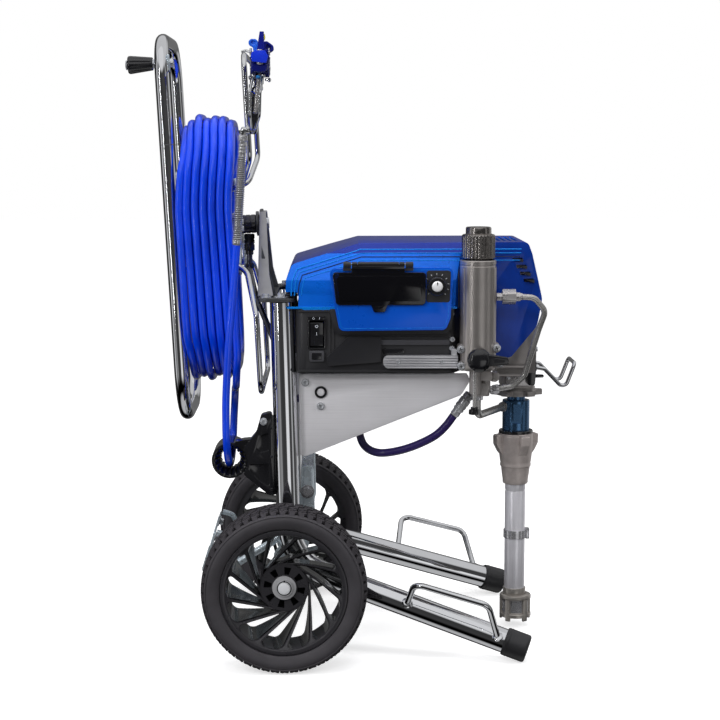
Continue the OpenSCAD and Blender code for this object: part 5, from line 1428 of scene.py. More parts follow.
# front block, drilled for the tip's barrel
b = slab(round2([(-12.6, 2.2), (-11.0, -5.8), (9.8, -8.0), (12.6, 1.8), (8.6, 10.2), (-4.6, 10.4), (-10.8, 8.0)], [2.5, 2.0, 2.2, 3, 2, 3, 3], 5), "y", -258, -242.8)
bmesh.ops.translate(b, verts=b.verts, vec=V(GX, 0, GZ))
c = bmesh.new()
bmesh.ops.create_cone(c, cap_ends=True, segments=48, radius1=4.75, radius2=4.75, depth=80, matrix=Matrix.Translation(V(GX, -250.5, GZ)))
b = boolean(b, c, "DIFFERENCE")
soften(b, 1.0, 3, 40)
t.bm(b, None, 0)
# navy skirt below the block
t.prism(round2([(GX - 13.6, GZ - 8), (GX + 12.2, GZ - 9), (GX + 10.0, GZ - 19), (GX + 3, GZ - 21), (GX - 11, GZ - 20)], [2, 3, 5, 4, 5], 5), "y", -250, -224, 1.8, 3, mi=3)
# wings behind the flag: the left one rounded and light blue, the right one hollow and painted dark blue as shade
b = slab(round2([(GX - 2.6, GZ + 8), (GX - 2.6, GZ + 24), (GX - 5.6, GZ + 27.6), (GX - 13, GZ + 27.8), (GX - 16.8, GZ + 24.4), (GX - 16.2, GZ + 18.6), (GX - 10.4, GZ + 15.4), (GX - 9.4, GZ + 8)], [1.5, 3.5, 4, 4, 4, 4, 3, 1.5], 5), "y", -242.9, -231)
c = slab(round2([(GX - 5.4, GZ + 20), (GX - 6.2, GZ + 24.6), (GX - 12.6, GZ + 24.8), (GX - 13.2, GZ + 20.4)], 1.8, 4), "y", -246, -240.4)
b = boolean(b, c, "DIFFERENCE")
soften(b, 1.1, 3, 38)
t.bm(b, None, 2)
b = slab(round2([(GX + 4, GZ + 8), (GX + 15.6, GZ + 7.6), (GX + 20.6, GZ + 11.4), (GX + 20, GZ + 18), (GX + 11, GZ + 24.4), (GX + 4, GZ + 24)], [1.5, 4, 4, 5, 4, 2], 5), "y", -242.9, -231)
c = slab(round2([(GX + 8.4, GZ + 13), (GX + 15.6, GZ + 11.4), (GX + 16.6, GZ + 16.4), (GX + 9.4, GZ + 20.6)], 1.6, 4), "y", -246, -239)
b = boolean(b, c, "DIFFERENCE")
soften(b, 1.1, 3, 38)
# dark blue on the right wing is painted shade
t.bm(b, None, 1)
# bright pins at both sides of the block
for s in (-1, 1):
    t.lathe([(0, 0), (1.9, 0), (1.9, 10), (1.3, 11), (0, 11)], (GX + s * 13.4, -240, GZ + 3.5), (0, 0, 1), 24, mi=4)
    t.lathe([(0, 0), (2.4, 0), (2.4, 2.0), (1.8, 2.6), (0, 2.8)], (GX + s * 12.6, -243.5, GZ + 8.4), (s, 0, 0), 24, mi=4)
t.done("tip_guard_wings", "reel", [GUNPLATE, GUNBLUE, GUNBLUE2, GUNDARK, STEEL], "tip_guard", angle=38)

# turning tip: barrel, neck and flag
t = Mesh()
t.lathe([(0, -10), (3.9, -10), (4.6, -9.3), (4.6, 11.0), (4.2, 11.8), (0, 11.8)], (GX, -250.5, GZ), (0, 0, 1), 40, mi=1)
flag = [(GX - 4.0, GZ + 11.6), (GX + 6.8, GZ + 11.6), (GX + 6.6, GZ + 38), (GX + 0.3, GZ + 38)]
t.prism(round2(flag, [0.8, 0.8, 1.2, 1.2], 4), "y", -252.2, -248.9, 0.7, 2, mi=0)
t.prism(round2([(GX + 5.4, GZ + 24.4), (GX + 7.6, GZ + 25.4), (GX + 8.6, GZ + 29), (GX + 8.0, GZ + 33.4), (GX + 5.4, GZ + 36)], 1, 4), "y", -250.8, -248.4, 0.4, 2, mi=2)
t.done("spray_tip_flag", "spray_tip", [GUNBLUE, STEEL, YELLOW], "spray_tip", angle=38)

# ------------------------------------------------------------ housing


def mirror_y(pts):
    return [(-a, b) for a, b in pts][::-1]


SHROUD_P = [(0, 545.6), (1, 560), (2.5, 592), (12, 614.5), (117, 646), (383, 646.5), (390, 628), (407, 556), (399, 514), (357, 463.5), (322, 463.5), (284, 545.6)]
SHROUD_IN = [(-5, 540), (4, 560), (5.5, 591), (14.5, 612), (117.5, 643), (381, 643.5), (387, 627), (404, 556), (396, 515), (360, 460), (310, 455), (270, 540)]
CROSS = [(-108, 455), (108, 455), (150, 546), (145, 590), (128, 632), (108, 646.5), (-108, 646.5), (-128, 632), (-145, 590), (-150, 546)]
CROSS_IN = [(-105, 450), (105, 450), (147, 546), (142, 590), (125, 631), (106, 643.5), (-106, 643.5), (-125, 631), (-142, 590), (-147, 546)]
PLAN = [(0, -156), (262, -156), (284, -108), (410, -98), (410, 98), (284, 108), (262, 156), (0, 156)]
PLAN_IN = [(3, -152), (260, -152), (282, -105), (407, -95), (407, 95), (282, 105), (260, 152), (3, 152)]


def side_y(z):
    """Half width of the shroud at height z."""
    for (y0, z0), (y1, z1) in zip(((150, 546), (145, 590), (128, 632)), ((145, 590), (128, 632), (108, 646.5))):
        if z <= z1:
            return y0 + (y1 - y0) * (z - z0) / (z1 - z0)
    return 108


def solid3(side_p, cross_p, plan_p, r, seg):
    b = slab(round2(side_p, r, seg), "y", -165, 165)
    b = boolean(b, slab(round2(cross_p, 10, 4), "x", -6, 421), "INTERSECT")
    return boolean(b, slab(round2(plan_p, 12, 4), "z", 440, 660), "INTERSECT")


outer = solid3(SHROUD_P, CROSS, PLAN, [4, 12, 12, 12, 14, 9, 14, 20, 26, 12, 9, 12], 5)
inner = solid3(SHROUD_IN, CROSS_IN, PLAN_IN, [4, 9, 9, 9, 12, 7, 12, 18, 24, 9, 9, 9], 4)
sh = boolean(outer, inner, "DIFFERENCE")
for s in (-1, 1):
    y = (98, 160) if s > 0 else (-160, -98)
    sh = boolean(sh, slab(round2([(-12, 535), (21.5, 535), (21.5, 572), (-12, 572)], 5, 4), "y", *y), "DIFFERENCE")
for lo, hi, z0, z1, y0, y1 in ((280, 326, 430, 501, -122, -90), (322, 425, 450, 534, -88, 88)):
    sh = boolean(sh, slab([(lo, z0), (hi, z0), (hi, z1), (lo, z1)], "y", y0, y1), "DIFFERENCE")
# louvres at the front corners and vents on top
for k in range(4):
    q = [(358 + 6 * k, 622 - 11 * k), (374 + 6 * k, 622 - 11 * k), (376 + 6 * k, 616.4 - 11 * k), (359.5 + 6 * k, 616.4 - 11 * k)]
    for s in (-1, 1):
        sh = boolean(sh, slab(q, "y", *((80, 125) if s > 0 else (-125, -80))), "DIFFERENCE")
for k in range(5):
    sh = boolean(sh, slab(round2([(330 + 9 * k, -62), (335 + 9 * k, -62), (335 + 9 * k, 62), (330 + 9 * k, 62)], 2.4, 4), "z", 635, 655), "DIFFERENCE")
soften(sh, 1.1, 2, 28)
t = Mesh()
sh.normal_update()
sh.verts.index_update()
vs = [v.co.copy() for v in sh.verts]
deep, mid, front = [], [], []
for f in sh.faces:
    c, nrm = f.calc_center_median(), f.normal
    ids = [v.index for v in f.verts]
    (deep if (nrm.z > 0.5 and c.z > 600) else front if c.x > 347 and c.z < 640 else mid).append(ids)
base = len(t.v)
t.v.extend([(p[0], p[1], p[2]) for p in vs])
for lst, mi in ((mid, 0), (deep, 1), (front, 2)):
    t.f.extend([tuple(i + base for i in ids) for ids in lst])
    t.m.extend([mi] * len(lst))
sh.free()


def edge_line(d, x_end=380, z_end=None):
    """Line on the side face at depth d below the upper outline."""
    pts = [(1.6 + d * 0.95, 566), (2.8 + d, 592 - d * 0.4), (12.5 + d * 0.75, 613.5 - d * 0.8), (117 + d * 0.12, 645.2 - d), (x_end, 645.6 - d)]
    out = []
    for a, b in zip(pts, pts[1:]):
        for k in range(12):
            out.append((a[0] + (b[0] - a[0]) * k / 12, a[1] + (b[1] - a[1]) * k / 12))
    out.append(pts[-1])
    return out


for s in (-1, 1):
    # lines below the upper outline: the light blue ones are painted highlights on the ridges, the dark one painted
    # shade in a groove
    for d, r, mi in ((9.0, 1.2, 3), (14.5, 0.9, 3), (20.0, 0.9, 4), (25.5, 0.8, 3)):
        q = [V(x, s * (side_y(z) - 0.25), z) for x, z in edge_line(d, 372 - d * 0.2)]
        t.tube(q, r, 10, mi=mi)
    # step along the lower edge of the side and the swept strip below the panel, both in the lighter blue as painted
    # highlight
    t.prism(round2([(4, 546), (268, 546), (268, 549.4), (4, 549.4)], 1.4, 3), "y", min(s * 149.2, s * 151.2), max(s * 149.2, s * 151.2), 0.6, 2, mi=3)
    t.prism(round2([(28, 549.5), (82, 549.5), (86, 541), (28, 541)], 2, 3), "y", min(s * 149.4, s * 151.6), max(s * 149.4, s * 151.6), 0.6, 2, mi=3)
    # shadow gap between the side and the front part
    x0 = 268
    q = []
    for k in range(15):
        z = 548 + (630 - 548) * k / 14
        q.append(V(x0 + 3.0, s * (side_y(z) - 3.4), z))
    t.tube(q, 1.1, 8, mi=5)
    for k in range(4):
        z = 616 - 11 * k
        x = 366 + 6 * k
        t.prism([(x - 6, z + 4.5), (x + 10, z + 4.0), (x + 9, z - 1.0)], "y", min(s * 96, s * 104), max(s * 96, s * 104), 0.7, 2, mi=5)
t.done("shroud_shell", "cart", [SHROUD, SHROUD_D, material("shroud_front_blue", (0.002, 0.040, 0.34), 0.32, 0.2, var=0.1, rvar=0.05, spec=0.3, coat=0.25, grain=0.1, grain_s=1500, grain_d=0.03), SHROUD_HIGHLIGHT,
        material("shroud_groove_painted_shade", (0.003, 0.010, 0.08), 0.45, 0.0, var=0.05), PLASTIC], "shroud", angle=30)

# lower housing
LOW_P = [(17.5, -150), (262, -150), (278, -112), (278, 150), (17.5, 150)]
LOW_IN = [(20.5, -147), (260, -147), (275, -111), (275, 147), (20.5, 147)]
b = slab(round2(LOW_P, 14, 6), "z", 445, 545)
b = boolean(b, slab(round2(LOW_IN, 11, 6), "z", 448, 560), "DIFFERENCE")
b = boolean(b, slab([(38, 485), (61.5, 485), (61.5, 528), (38, 528)], "y", -160, -140), "DIFFERENCE")
b = boolean(b, slab([(-110, 452), (110, 452), (110, 560), (-110, 560)], "x", 270, 290), "DIFFERENCE")
c = bmesh.new()
bmesh.ops.create_cone(c, cap_ends=True, segments=40, radius1=11, radius2=11, depth=24, matrix=Matrix.Translation(V(19, 60, 480)) @ Matrix.Rotation(PI / 2, 4, "Y"))
b = boolean(b, c, "DIFFERENCE")
# vents on the far side and at the back
for k in range(9):
    b = boolean(b, slab(round2([(60 + 20 * k, 468), (66 + 20 * k, 468), (66 + 20 * k, 520), (60 + 20 * k, 520)], 2.8, 4), "y", 140, 160), "DIFFERENCE")
for k in range(7):
    b = boolean(b, slab(round2([(-96 + 16 * k, 500), (-90 + 16 * k, 500), (-90 + 16 * k, 532), (-96 + 16 * k, 532)], 2.8, 4), "x", 10, 25), "DIFFERENCE")
soften(b, 1.2, 2, 35)
t = Mesh()
t.bm(b, None, 0)
# facetted boss, ledge, recess and block on the near side
t.prism(round2([(65.7, 471.3), (97.6, 502.2), (149.7, 502.4), (149.7, 463.3), (67.3, 457.2)], 1.5, 3), "y", -156.4, -149.4, 2.4, 3, mi=0)
# black frame below the panel
t.prism(round2([(70, 546), (75.5, 512.5), (84, 506.5), (251, 508), (259, 516), (263.5, 546)], [1, 5, 5, 5, 5, 1], 4), "y", -158.8, -149.4, 1.6, 3, mi=0)
t.prism(round2([(148, 489.5), (256, 489.5), (257, 497.5), (147, 497.5)], 2.4, 3), "y", -153.4, -149.5, 1.0, 2, mi=1)
t.prism(round2([(146, 500.5), (258, 500.5), (258, 503), (146, 503)], 1, 2), "y", -151.6, -149.5, 0.6, 1, mi=0)
t.prism(round2([(152, 475.6), (186, 475.6), (186, 483.6), (152, 483.6)], 3, 4), "y", -152.2, -149.6, 0.8, 2, mi=2)
t.prism(round2([(38, 463.5), (61.5, 463.5), (61.5, 481), (38, 481)], 2.5, 4), "y", -153.4, -149.5, 1.3, 2, mi=1)
t.prism(round2([(42, 467), (57.5, 467), (57.5, 477.5), (42, 477.5)], 1.5, 3), "y", -154.2, -153.2, 0.6, 2, mi=2)
for x in (70, 76):
    t.prism(round2([(x - 1.6, 456), (x + 1.6, 456), (x + 1.6, 540), (x - 1.6, 540)], 1.4, 3), "y", -151.4, -149.4, 0.6, 1, mi=0)
t.prism(round2([(20.5, 540.5), (260, 540.5), (260, 544.4), (20.5, 544.4)], 1.5, 3), "y", -152.0, -149.0, 0.8, 2, mi=0)
t.prism(round2([(22, 447), (259, 447), (259, 450.6), (22, 450.6)], 1.5, 3), "y", -151.8, -149.0, 0.7, 2, mi=0)
t.prism(round2([(20.5, 540.5), (270, 540.5), (270, 544.4), (20.5, 544.4)], 1.5, 3), "y", 149.0, 152.0, 0.8, 2, mi=0)
# switch frame
b = slab(round2([(36, 483), (63.5, 483), (63.5, 535), (36, 535)], 3, 4), "y", -153.2, -149.6)
b = boolean(b, slab(round2([(38.4, 485.4), (61.1, 485.4), (61.1, 527.6), (38.4, 527.6)], 1.2, 3), "y", -160, -140), "DIFFERENCE")
soften(b, 0.7, 2, 40)
t.bm(b, None, 2)
# generic marks above the switch
t.ring((45, -153.1, 531.4), (0, -1, 0), 1.7, 1.15, 0.3, 0.05, 24, mi=3)
t.box((54, -153.45, 529.7), (54.7, -153.1, 533.1), 0.05, 1, mi=3)
t.socket((232, -150, 457), (0, -1, 0), 7, 2.0, 3.4, 1.2, mi=4)
# screws at the right end, seen bright in the front of the case
for x, z in ((262.5, 541 - 3), (263.5, 498), (263.0, 484)):
    t.socket((x - 3.2, -146.6 - 2.6, z), (0.35, -0.94, 0), 8.2, 3.4, 4.2, 2.0, mi=4)
t.done("lower_housing_case", "cart", [PLASTIC, PLASTIC2, GLOSSBLK, MARK, BOLT], "lower_housing", angle=32)

# rocker with dotted grip
t = Mesh()
rz = 506.5
prof = [(-155.4, rz + 19), (-154.2, rz + 10), (-152.9, rz), (-154.2, rz - 10), (-155.4, rz - 19), (-146, rz - 15), (-146, rz + 15)]
t.prism(round2(prof, [1, 6, 20, 6, 1, 1, 1], 4), "x", 40, 59.5, 0.8, 2, mi=0)
for i in range(3):
    for j in range(5):
        z = rz - 16 + j * 2.5
        y = -152.9 - (abs(z - rz) / 19) * 2.4
        t.lathe([(0, 0.45), (0.55, 0.35), (0.85, 0)], (46.2 + 3.4 * i, y, z), (0, -1, 0), 14, mi=0)
t.ring((49.7, -154.8, rz + 12.5), (0, -1, 0.13), 2.3, 1.6, 0.35, 0.05, 24, mi=1)
t.box((49.3, -154.6, rz - 1.5), (50.1, -152.7, rz + 3.0), 0.1, 1, mi=1)
t.done("rocker_switch", "power_rocker", [GLOSSBLK, MARK], "power_rocker", angle=35)

# raised control panel
PANEL_P = [(69, 610), (261, 612), (256.5, 533.5), (249.5, 515), (85.2, 513.7), (78.3, 548)]
b = slab(round2(PANEL_P, 9, 5), "y", -173, -157)
b = boolean(b, slab(round2([(73, 606), (257, 608), (253, 536), (247, 519), (88, 517), (82, 548)], 7, 4), "y", -170, -150), "DIFFERENCE")
b = boolean(b, slab(round2([(78, 603), (214, 603), (214, 558), (84, 558)], 4, 4), "y", -180, -165), "DIFFERENCE")
c = bmesh.new()
bmesh.ops.create_cone(c, cap_ends=True, segments=40, radius1=3.05, radius2=3.05, depth=40, matrix=Matrix.Translation(V(234.8, -165, 583.7)) @ Matrix.Rotation(PI / 2, 4, "X"))
b = boolean(b, c, "DIFFERENCE")
soften(b, 1.5, 3, 35)
t = Mesh()
t.bm(b, None, 0)
# dark field behind the knob and a border line in the lighter blue as painted highlight
t.prism(round2([(218.6, 558), (255.2, 558), (256.8, 607), (219.2, 607)], 4, 4), "y", -173.5, -172.9, 0.2, 1, mi=1)
border = round2([(74, 606.5), (257, 608.3), (252.8, 535), (246.5, 518.4), (88.2, 517.4), (82.2, 549)], 7, 5)
t.tube([V(x, -172.9, z) for x, z in border], 0.35, 8, closed=True, mi=2)
for k in range(11):
    a = math.radians(225 - 27 * k)
    r0, r1 = 17.0, 18.6 + 0.12 * k
    m = Matrix.Translation(V(234.8, 0, 583.7)) @ Matrix.Rotation(-a, 4, "Y")
    t.prism([(r0, -0.35), (min(r1, 19.4), -0.35 - 0.03 * k), (min(r1, 19.4), 0.35 + 0.03 * k), (r0, 0.35)], "y", -173.75, -173.4, 0.08, 1, mi=3, mat=m)
for x in (90.6, 186.2):
    t.box((x, -177.5, 607), (x + 12.4, -173.1, 612.6), 0.8, 2, mi=4)
t.done("panel_moulding", "cart", [material("panel_blue", (0.001, 0.092, 0.62), 0.30, 0.10, var=0.06, var_s=12, rvar=0.05, spec=0.3, coat=0.25, coat_r=0.07, grain=0.08, grain_s=1500, grain_d=0.02), PLASTIC, SHROUD_HIGHLIGHT, MARK, PLASTIC],
       "control_panel", angle=32)

# smoked door with its hinge barrel, and the screen unit behind it
DOOR = [(74, 604.5), (103.5, 604.5), (104, 613), (185, 613), (185.5, 604.5), (218, 604.5), (218, 554), (159, 554), (155, 543), (138, 543), (134, 554), (80, 554)]
t = Mesh()
b = slab(round2(DOOR, [5, 1.5, 1.5, 1.5, 1.5, 5, 7, 3, 3, 3, 3, 6], 5), "y", -177.4, -174.6)
soften(b, 0.9, 3, 40)
t.bm(b, None, 0)
t.prism(round2([(80, 599), (212, 599), (212, 560), (86, 560)], 5, 5), "y", -178.0, -177.2, 0.35, 2, mi=0)
for k in range(4):
    t.box((140.5, -178.4, 545 + 2.2 * k), (152.5, -177.2, 545.9 + 2.2 * k), 0.25, 1, mi=0)
t.prism([(-181, 610), (-175.5, 610), (-175.5, 616), (-181, 616)], "x", 104, 185, 0.6, 2, mi=1)
for x0, x1 in ((104.3, 112.5), (113.1, 176.3), (176.9, 185.1)):
    t.lathe([(1.6, 0), (3.6, 0), (4.0, 0.4), (4.0, x1 - x0 - 0.4), (3.6, x1 - x0), (1.6, x1 - x0)], (x0, -178.6, 616.8), (1, 0, 0), 40, mi=1, closed=True)
t.done("door_smoked", "display_door", [SMOKED, GLOSSBLK], "display_door", angle=30)

t = Mesh()
b = slab(round2([(84, 553), (214, 553), (214, 604), (84, 604)], 3, 4), "y", -168.4, -166)
for x in (102, 189):
    c = bmesh.new()
    bmesh.ops.create_cone(c, cap_ends=True, segments=40, radius1=6.3, radius2=6.3, depth=12, matrix=Matrix.Translation(V(x, -167, 573)) @ Matrix.Rotation(PI / 2, 4, "X"))
    b = boolean(b, c, "DIFFERENCE")
soften(b, 0.5, 2, 40)
t.bm(b, None, 0)
b = slab(round2([(116, 562), (176, 562), (176, 600), (116, 600)], 3, 4), "y", -170.2, -168.4)
b = boolean(b, slab(round2([(120, 566), (172, 566), (172, 596), (120, 596)], 2, 4), "y", -172, -169.2), "DIFFERENCE")
soften(b, 0.5, 2, 40)
t.bm(b, None, 1)
t.box((120.2, -169.3, 566.2), (171.8, -168.5, 595.8), 0.1, 1, mi=2)
# blank seven-bar shapes, unlit
for x in (102, 189):
    t.ring((x, -168.9, 573), (0, -1, 0), 8.2, 6.5, 1.4, 0.5, 48, mi=3)
t.tube([(91, -178.6, 616.8), (198, -178.6, 616.8)], 1.5, 20, mi=4)
for x in (91, 186.4):
    t.lathe([(1.55, 0), (3.6, 0), (4.0, 0.5), (4.0, 11.4), (3.6, 12), (1.55, 12)], (x, -178.6, 616.8), (1, 0, 0), 32, mi=0, closed=True)
    t.box((x, -182, 614.2), (x + 12, -173.2, 616.4), 0.5, 1, mi=0)
t.done("screen_unit", "cart", [PLASTIC, material("screen_frame_silver", (0.22, 0.23, 0.26), 0.35, 0.6, var=0.05), SCREEN, material("button_ring", (0.20, 0.24, 0.34), 0.35, 0.3, var=0.05), BOLT],
       "display_unit", angle=32)
for nm, x in (("left", 102), ("right", 189)):
    t = Mesh()
    t.lathe([(0, 0), (5.7, 0), (5.9, 0.4), (5.9, 4.6), (5.4, 5.5), (4.0, 5.75), (0, 5.3)], (x, -165.9, 573), (0, -1, 0), 48, mi=0)
    t.lathe([(0, 5.4), (1.3, 5.5), (1.5, 5.3), (1.5, 5.0)], (x, -165.9, 573), (0, -1, 0), 24, mi=1)
    t.done("push_button_" + nm, "button_" + nm, [material("button_rubber_" + nm, (0.06, 0.065, 0.08), 0.5, 0.0, var=0.06, grain=0.2), MARK], "button_" + nm, angle=35)

# pressure knob: fluted, with a pale cap and a pointer
t = Mesh()
m = basis((234.8, -175, 583.7), (0, -1, 0), (1, 0, 0))
n = 120
rows = [(0, 12.0, 0), (0, 15.0, 0.2), (0.8, 15.5, 0.6), (3, 15.5, 1), (14.2, 14.6, 1), (16.0, 13.9, 0.4), (17.0, 12.8, 0), (17.0, 8.2, 0)]
vs, fs, rings = [], [], []
for h, r, fl in rows:
    ring = []
    for j in range(n):
        a = 2 * PI * j / n
        d = 1.0 * fl * (0.5 - 0.5 * math.cos(20 * a)) ** 1.6
        ring.append(len(vs))
        vs.append(V((r - d) * math.cos(a), (r - d) * math.sin(a), h))
    rings.append(ring)
for p, q in zip(rings, rings[1:]):
    for j in range(n):
        k = (j + 1) % n
        fs.append((p[j], p[k], q[k], q[j]))
fs.append(tuple(rings[0][::-1]))
t.add(vs, fs, 0, m)
t.lathe([(8.3, 17.0), (8.0, 17.6), (7.8, 18.6), (7.2, 19.5), (6.2, 20.0), (0, 20.2)], m=m, n=72, mi=1)
t.prism([(-0.7, 2.2), (0.7, 2.2), (0.7, 6.6), (-0.7, 6.6)], "y", -195.45, -194.9, 0.15, 1, mi=0, mat=Matrix.Translation(V(234.8, 0, 583.7)))
t.lathe([(0, 0), (2.95, 0), (2.95, 15.2), (0, 15.2)], (234.8, -175.1, 583.7), (0, 1, 0), 32, mi=2)
t.done("pressure_dial", "pressure_knob", [GLOSSBLK, WHITE, STEEL], "pressure_knob", angle=35)

# heat-sink bar: long fins, round left end, small nub
t = Mesh()
prof = [(-150.3, 454.2)]
for k in range(5):
    z = 454.2 + 4.0 * k
    prof += [(-161.8, z), (-161.8, z + 2.6), (-157.6, z + 2.9), (-157.6, z + 3.7)] if k < 4 else [(-161.8, z), (-161.8, 473.8), (-150.3, 473.8)]
b = slab(prof, "x", 153, 269)
for f in (-1, 1):
    arc = [(152.9 + 9.0 * (1 - math.cos(a)), 464.0 + f * (0.6 + 9.4 * math.sin(a))) for a in [PI / 2 * i / 6 for i in range(7)]]
    b = boolean(b, slab([(150, arc[0][1])] + arc + [(162, 464.0 + f * 13), (150, 464.0 + f * 13)], "y", -170, -140), "DIFFERENCE")
soften(b, 0.5, 2, 40)
t.bm(b, None, 0)
t.prism(round2([(259, 474), (267.5, 474), (267.5, 484), (259, 484)], [0.5, 0.5, 3, 3], 4), "y", -160, -150.3, 1.0, 2, mi=0)
for x in (176, 244):
    t.socket((x, -161.6, 464), (0, -1, 0), 6.4, 1.2, 3.2, 0.8, mi=1)
t.done("heat_sink_bar", "cart", [SINK, BOLT], "heat_sink", angle=32)

paint("control_board", BOARD)
paint("motor_stator", material("motor_case", (0.05, 0.05, 0.055), 0.45, 0.6, var=0.1, grain=0.2))
paint("motor_rotor", COPPER)
paint("drive_gear", material("gear_steel", (0.36, 0.36, 0.38), 0.3, 1.0, var=0.1, rvar=0.08))
paint("con_rod", material("forged_steel", (0.33, 0.33, 0.35), 0.38, 1.0, var=0.12, rvar=0.08, grain=0.3, grain_s=500))
# cord inlet with its ribbed collar
t = Mesh()
t.lathe([(4.5, 30), (10.8, 30), (10.8, 17.5), (13.6, 17.4), (15.0, 16.6), (15.0, 11), (14.0, 9.4), (9.0, 9.0), (4.9, 9.0), (4.5, 9.6)], (0, 60, 480), (1, 0, 0), 64, closed=True)
for k in range(4):
    t.ring((10.2 + 1.7 * k, 60, 480), (1, 0, 0), 15.4, 14.2, 0.9, 0.3, 64)
t.done("cord_inlet_collar", "cart", PLASTIC, "cord_gland", angle=35)

# ------------------------------------------------------------ drive housing
PX = 377.0


def ngon(pts, r, seg=3):
    return round2(pts, r, seg)


b = slab(ngon([(-64, 440), (64, 440), (84, 500), (84, 585), (64, 604), (-40, 604), (-64, 580)], 10, 4), "x", 285, 388)
b = boolean(b, slab(ngon([(-50, 425), (50, 425), (62, 470), (50, 530), (-50, 530), (-62, 470)], 8, 4), "x", 340, 402), "UNION")
b = boolean(b, slab(ngon([(351, -38), (402, -38), (402, 38), (351, 38)], 7, 4), "z", 405.5, 441), "UNION")
b = boolean(b, slab([(286, -121.5), (322, -121.5), (322, -64), (286, -64)], "z", 450, 498), "UNION")


def rod_cut(b, a, e, r, seg=48):
    a, e = V(a), V(e)
    c = bmesh.new()
    m = basis((a + e) / 2, e - a)
    bmesh.ops.create_cone(c, cap_ends=True, segments=seg, radius1=r, radius2=r, depth=(e - a).length, matrix=m)
    return boolean(b, c, "DIFFERENCE")


b = rod_cut(b, (280, 0, 515), (309, 0, 515), 54, 64)
b = rod_cut(b, (280, 47.37, 555), (309, 47.37, 555), 16)
b = rod_cut(b, (300, 0, 515), (345, 0, 515), 10.1)
b = rod_cut(b, (338.5, 0, 515), (354, 0, 515), 32, 64)
b = boolean(b, slab([(354, -36), (391, -36), (391, 36), (354, 36)], "z", 428, 560), "DIFFERENCE")
b = rod_cut(b, (PX, 0, 400), (PX, 0, 430), 15)
soften(b, 1.8, 3, 35)
t = Mesh()
t.bm(b, None, 0)
# ribs, cover plate, screws, and the dark cover beside the neck
t.prism(round2([(-40, 432), (40, 432), (46, 470), (40, 512), (-40, 512), (-46, 470)], 6, 4), "x", 402.1, 404.6, 0.9, 2, mi=1)
for y, z in ((-34, 440), (34, 440), (-38, 504), (38, 504), (-42, 470), (42, 470)):
    t.socket((404.6, y, z), (1, 0, 0), 8, 2.0, 4, 1.2, mi=2)
for s in (-1, 1):
    t.prism(round2([(356, 409), (398, 409), (398, 437), (356, 437)], 3, 3), "y", min(s * 38.1, s * 40.2), max(s * 38.1, s * 40.2), 0.8, 2, mi=1)
    for x in (360, 394):
        t.socket((x, s * 40.0, 423), (0, s, 0), 6.4, 1.4, 3.2, 0.9, mi=2)
t.prism(round2([(390, 412), (402.0, 412), (404.6, 448), (398, 462), (390, 462)], 3, 3), "y", -52, -38.4, 1.2, 2, mi=3)
t.prism(round2([(400, 424), (416.5, 424.5), (416.5, 429), (400, 429.5)], 2, 3), "y", -50, -44, 0.9, 2, mi=3)
t.done("drive_case", "cart", [BEAD, GUNMETAL, BOLT, GLOSSBLK], "drive_housing", angle=35)

# pail hook
t = Mesh()
t.tube(bends([(401.0, -38, 440.3), (419, -38, 437), (446, -38, 409), (455, -38, 412), (468, -38, 446), (468, 38, 446), (455, 38, 412), (446, 38, 409), (419, 38, 437), (401.0, 38, 440.3)], 7.8, 5), 3.25, 20)
for s in (-1, 1):
    t.lathe([(3.2, 0), (5.6, 0), (6.2, 0.6), (6.2, 3.6), (5.4, 4.4), (3.2, 4.6)], (402.2, s * 38, 440.1), (0.985, 0, -0.17), 32, closed=True)
t.done("pail_hook_wire", "cart", WIRE, "pail_hook", angle=40)

# ------------------------------------------------------------ pump
paint("pump_rod", STEEL)
paint("intake_ball", STEEL)
t = Mesh()
ax = basis((PX, 0, 0), (0, 0, 1), (0, -1, 0))
# sleeve with its flat, upper neck and lock nut
n = 96
vs, fs, rings = [], [], []
for r, z, fl in ((21.2, 327, 0), (22.0, 327.6, 0), (22.3, 329, 0), (22.3, 344.5, 0), (22.3, 345, 1), (22.3, 376, 1), (22.3, 376.5, 0), (22.3, 380.4, 0), (21.6, 381.6, 0), (14.8, 382, 0), (14.8, 404, 0), (13, 404.2, 0)):
    ring = []
    for j in range(n):
        a = 2 * PI * j / n
        x, y = r * math.cos(a), r * math.sin(a)
        if fl:
            x = max(-20.6, min(20.6, x))
        ring.append(len(vs))
        vs.append(V(x, y, z))
    rings.append(ring)
for p, q in zip(rings, rings[1:]):
    for j in range(n):
        k = (j + 1) % n
        fs.append((p[j], p[k], q[k], q[j]))
t.add(vs, fs, 0, ax)
t.lathe([(21.2, 327), (14, 327), (13.2, 328), (13.2, 404), (13, 404.2)], m=ax, n=n, mi=0)
# castellated lock nut
NL = 12
vs, fs, rings = [], [], []
n = 240
for r0, z, k0 in ((30.5, 389.8, 0), (32.2, 390.2, 0), (33.0, 391.2, 1), (33.0, 398.4, 1), (32.6, 399.2, 1), (31.0, 399.8, 0), (30.5, 404.4, 0), (29.6, 405, 0), (15.2, 405, 0), (15.2, 390, 0)):
    ring = []
    for j in range(n):
        a = 2 * PI * j / n
        ph = (a * 6 / (2 * PI)) % 1.0
        lug = 1.0 if 0.32 < ph < 0.68 else 0.0
        if 0.27 < ph <= 0.32:
            lug = (ph - 0.27) / 0.05
        if 0.68 <= ph < 0.73:
            lug = (0.73 - ph) / 0.05
        r = r0 + k0 * 9.6 * lug
        ring.append(len(vs))
        vs.append(V(r * math.cos(a), r * math.sin(a), z))
    rings.append(ring)
for p, q in zip(rings, rings[1:] + rings[:1]):
    for j in range(n):
        k = (j + 1) % n
        fs.append((p[j], p[k], q[k], q[j]))
t.add(vs, fs, 1, ax)
t.done("pump_sleeve_nut", "cart", [SLEEVE, BEAD], "pump_sleeve", angle=30)

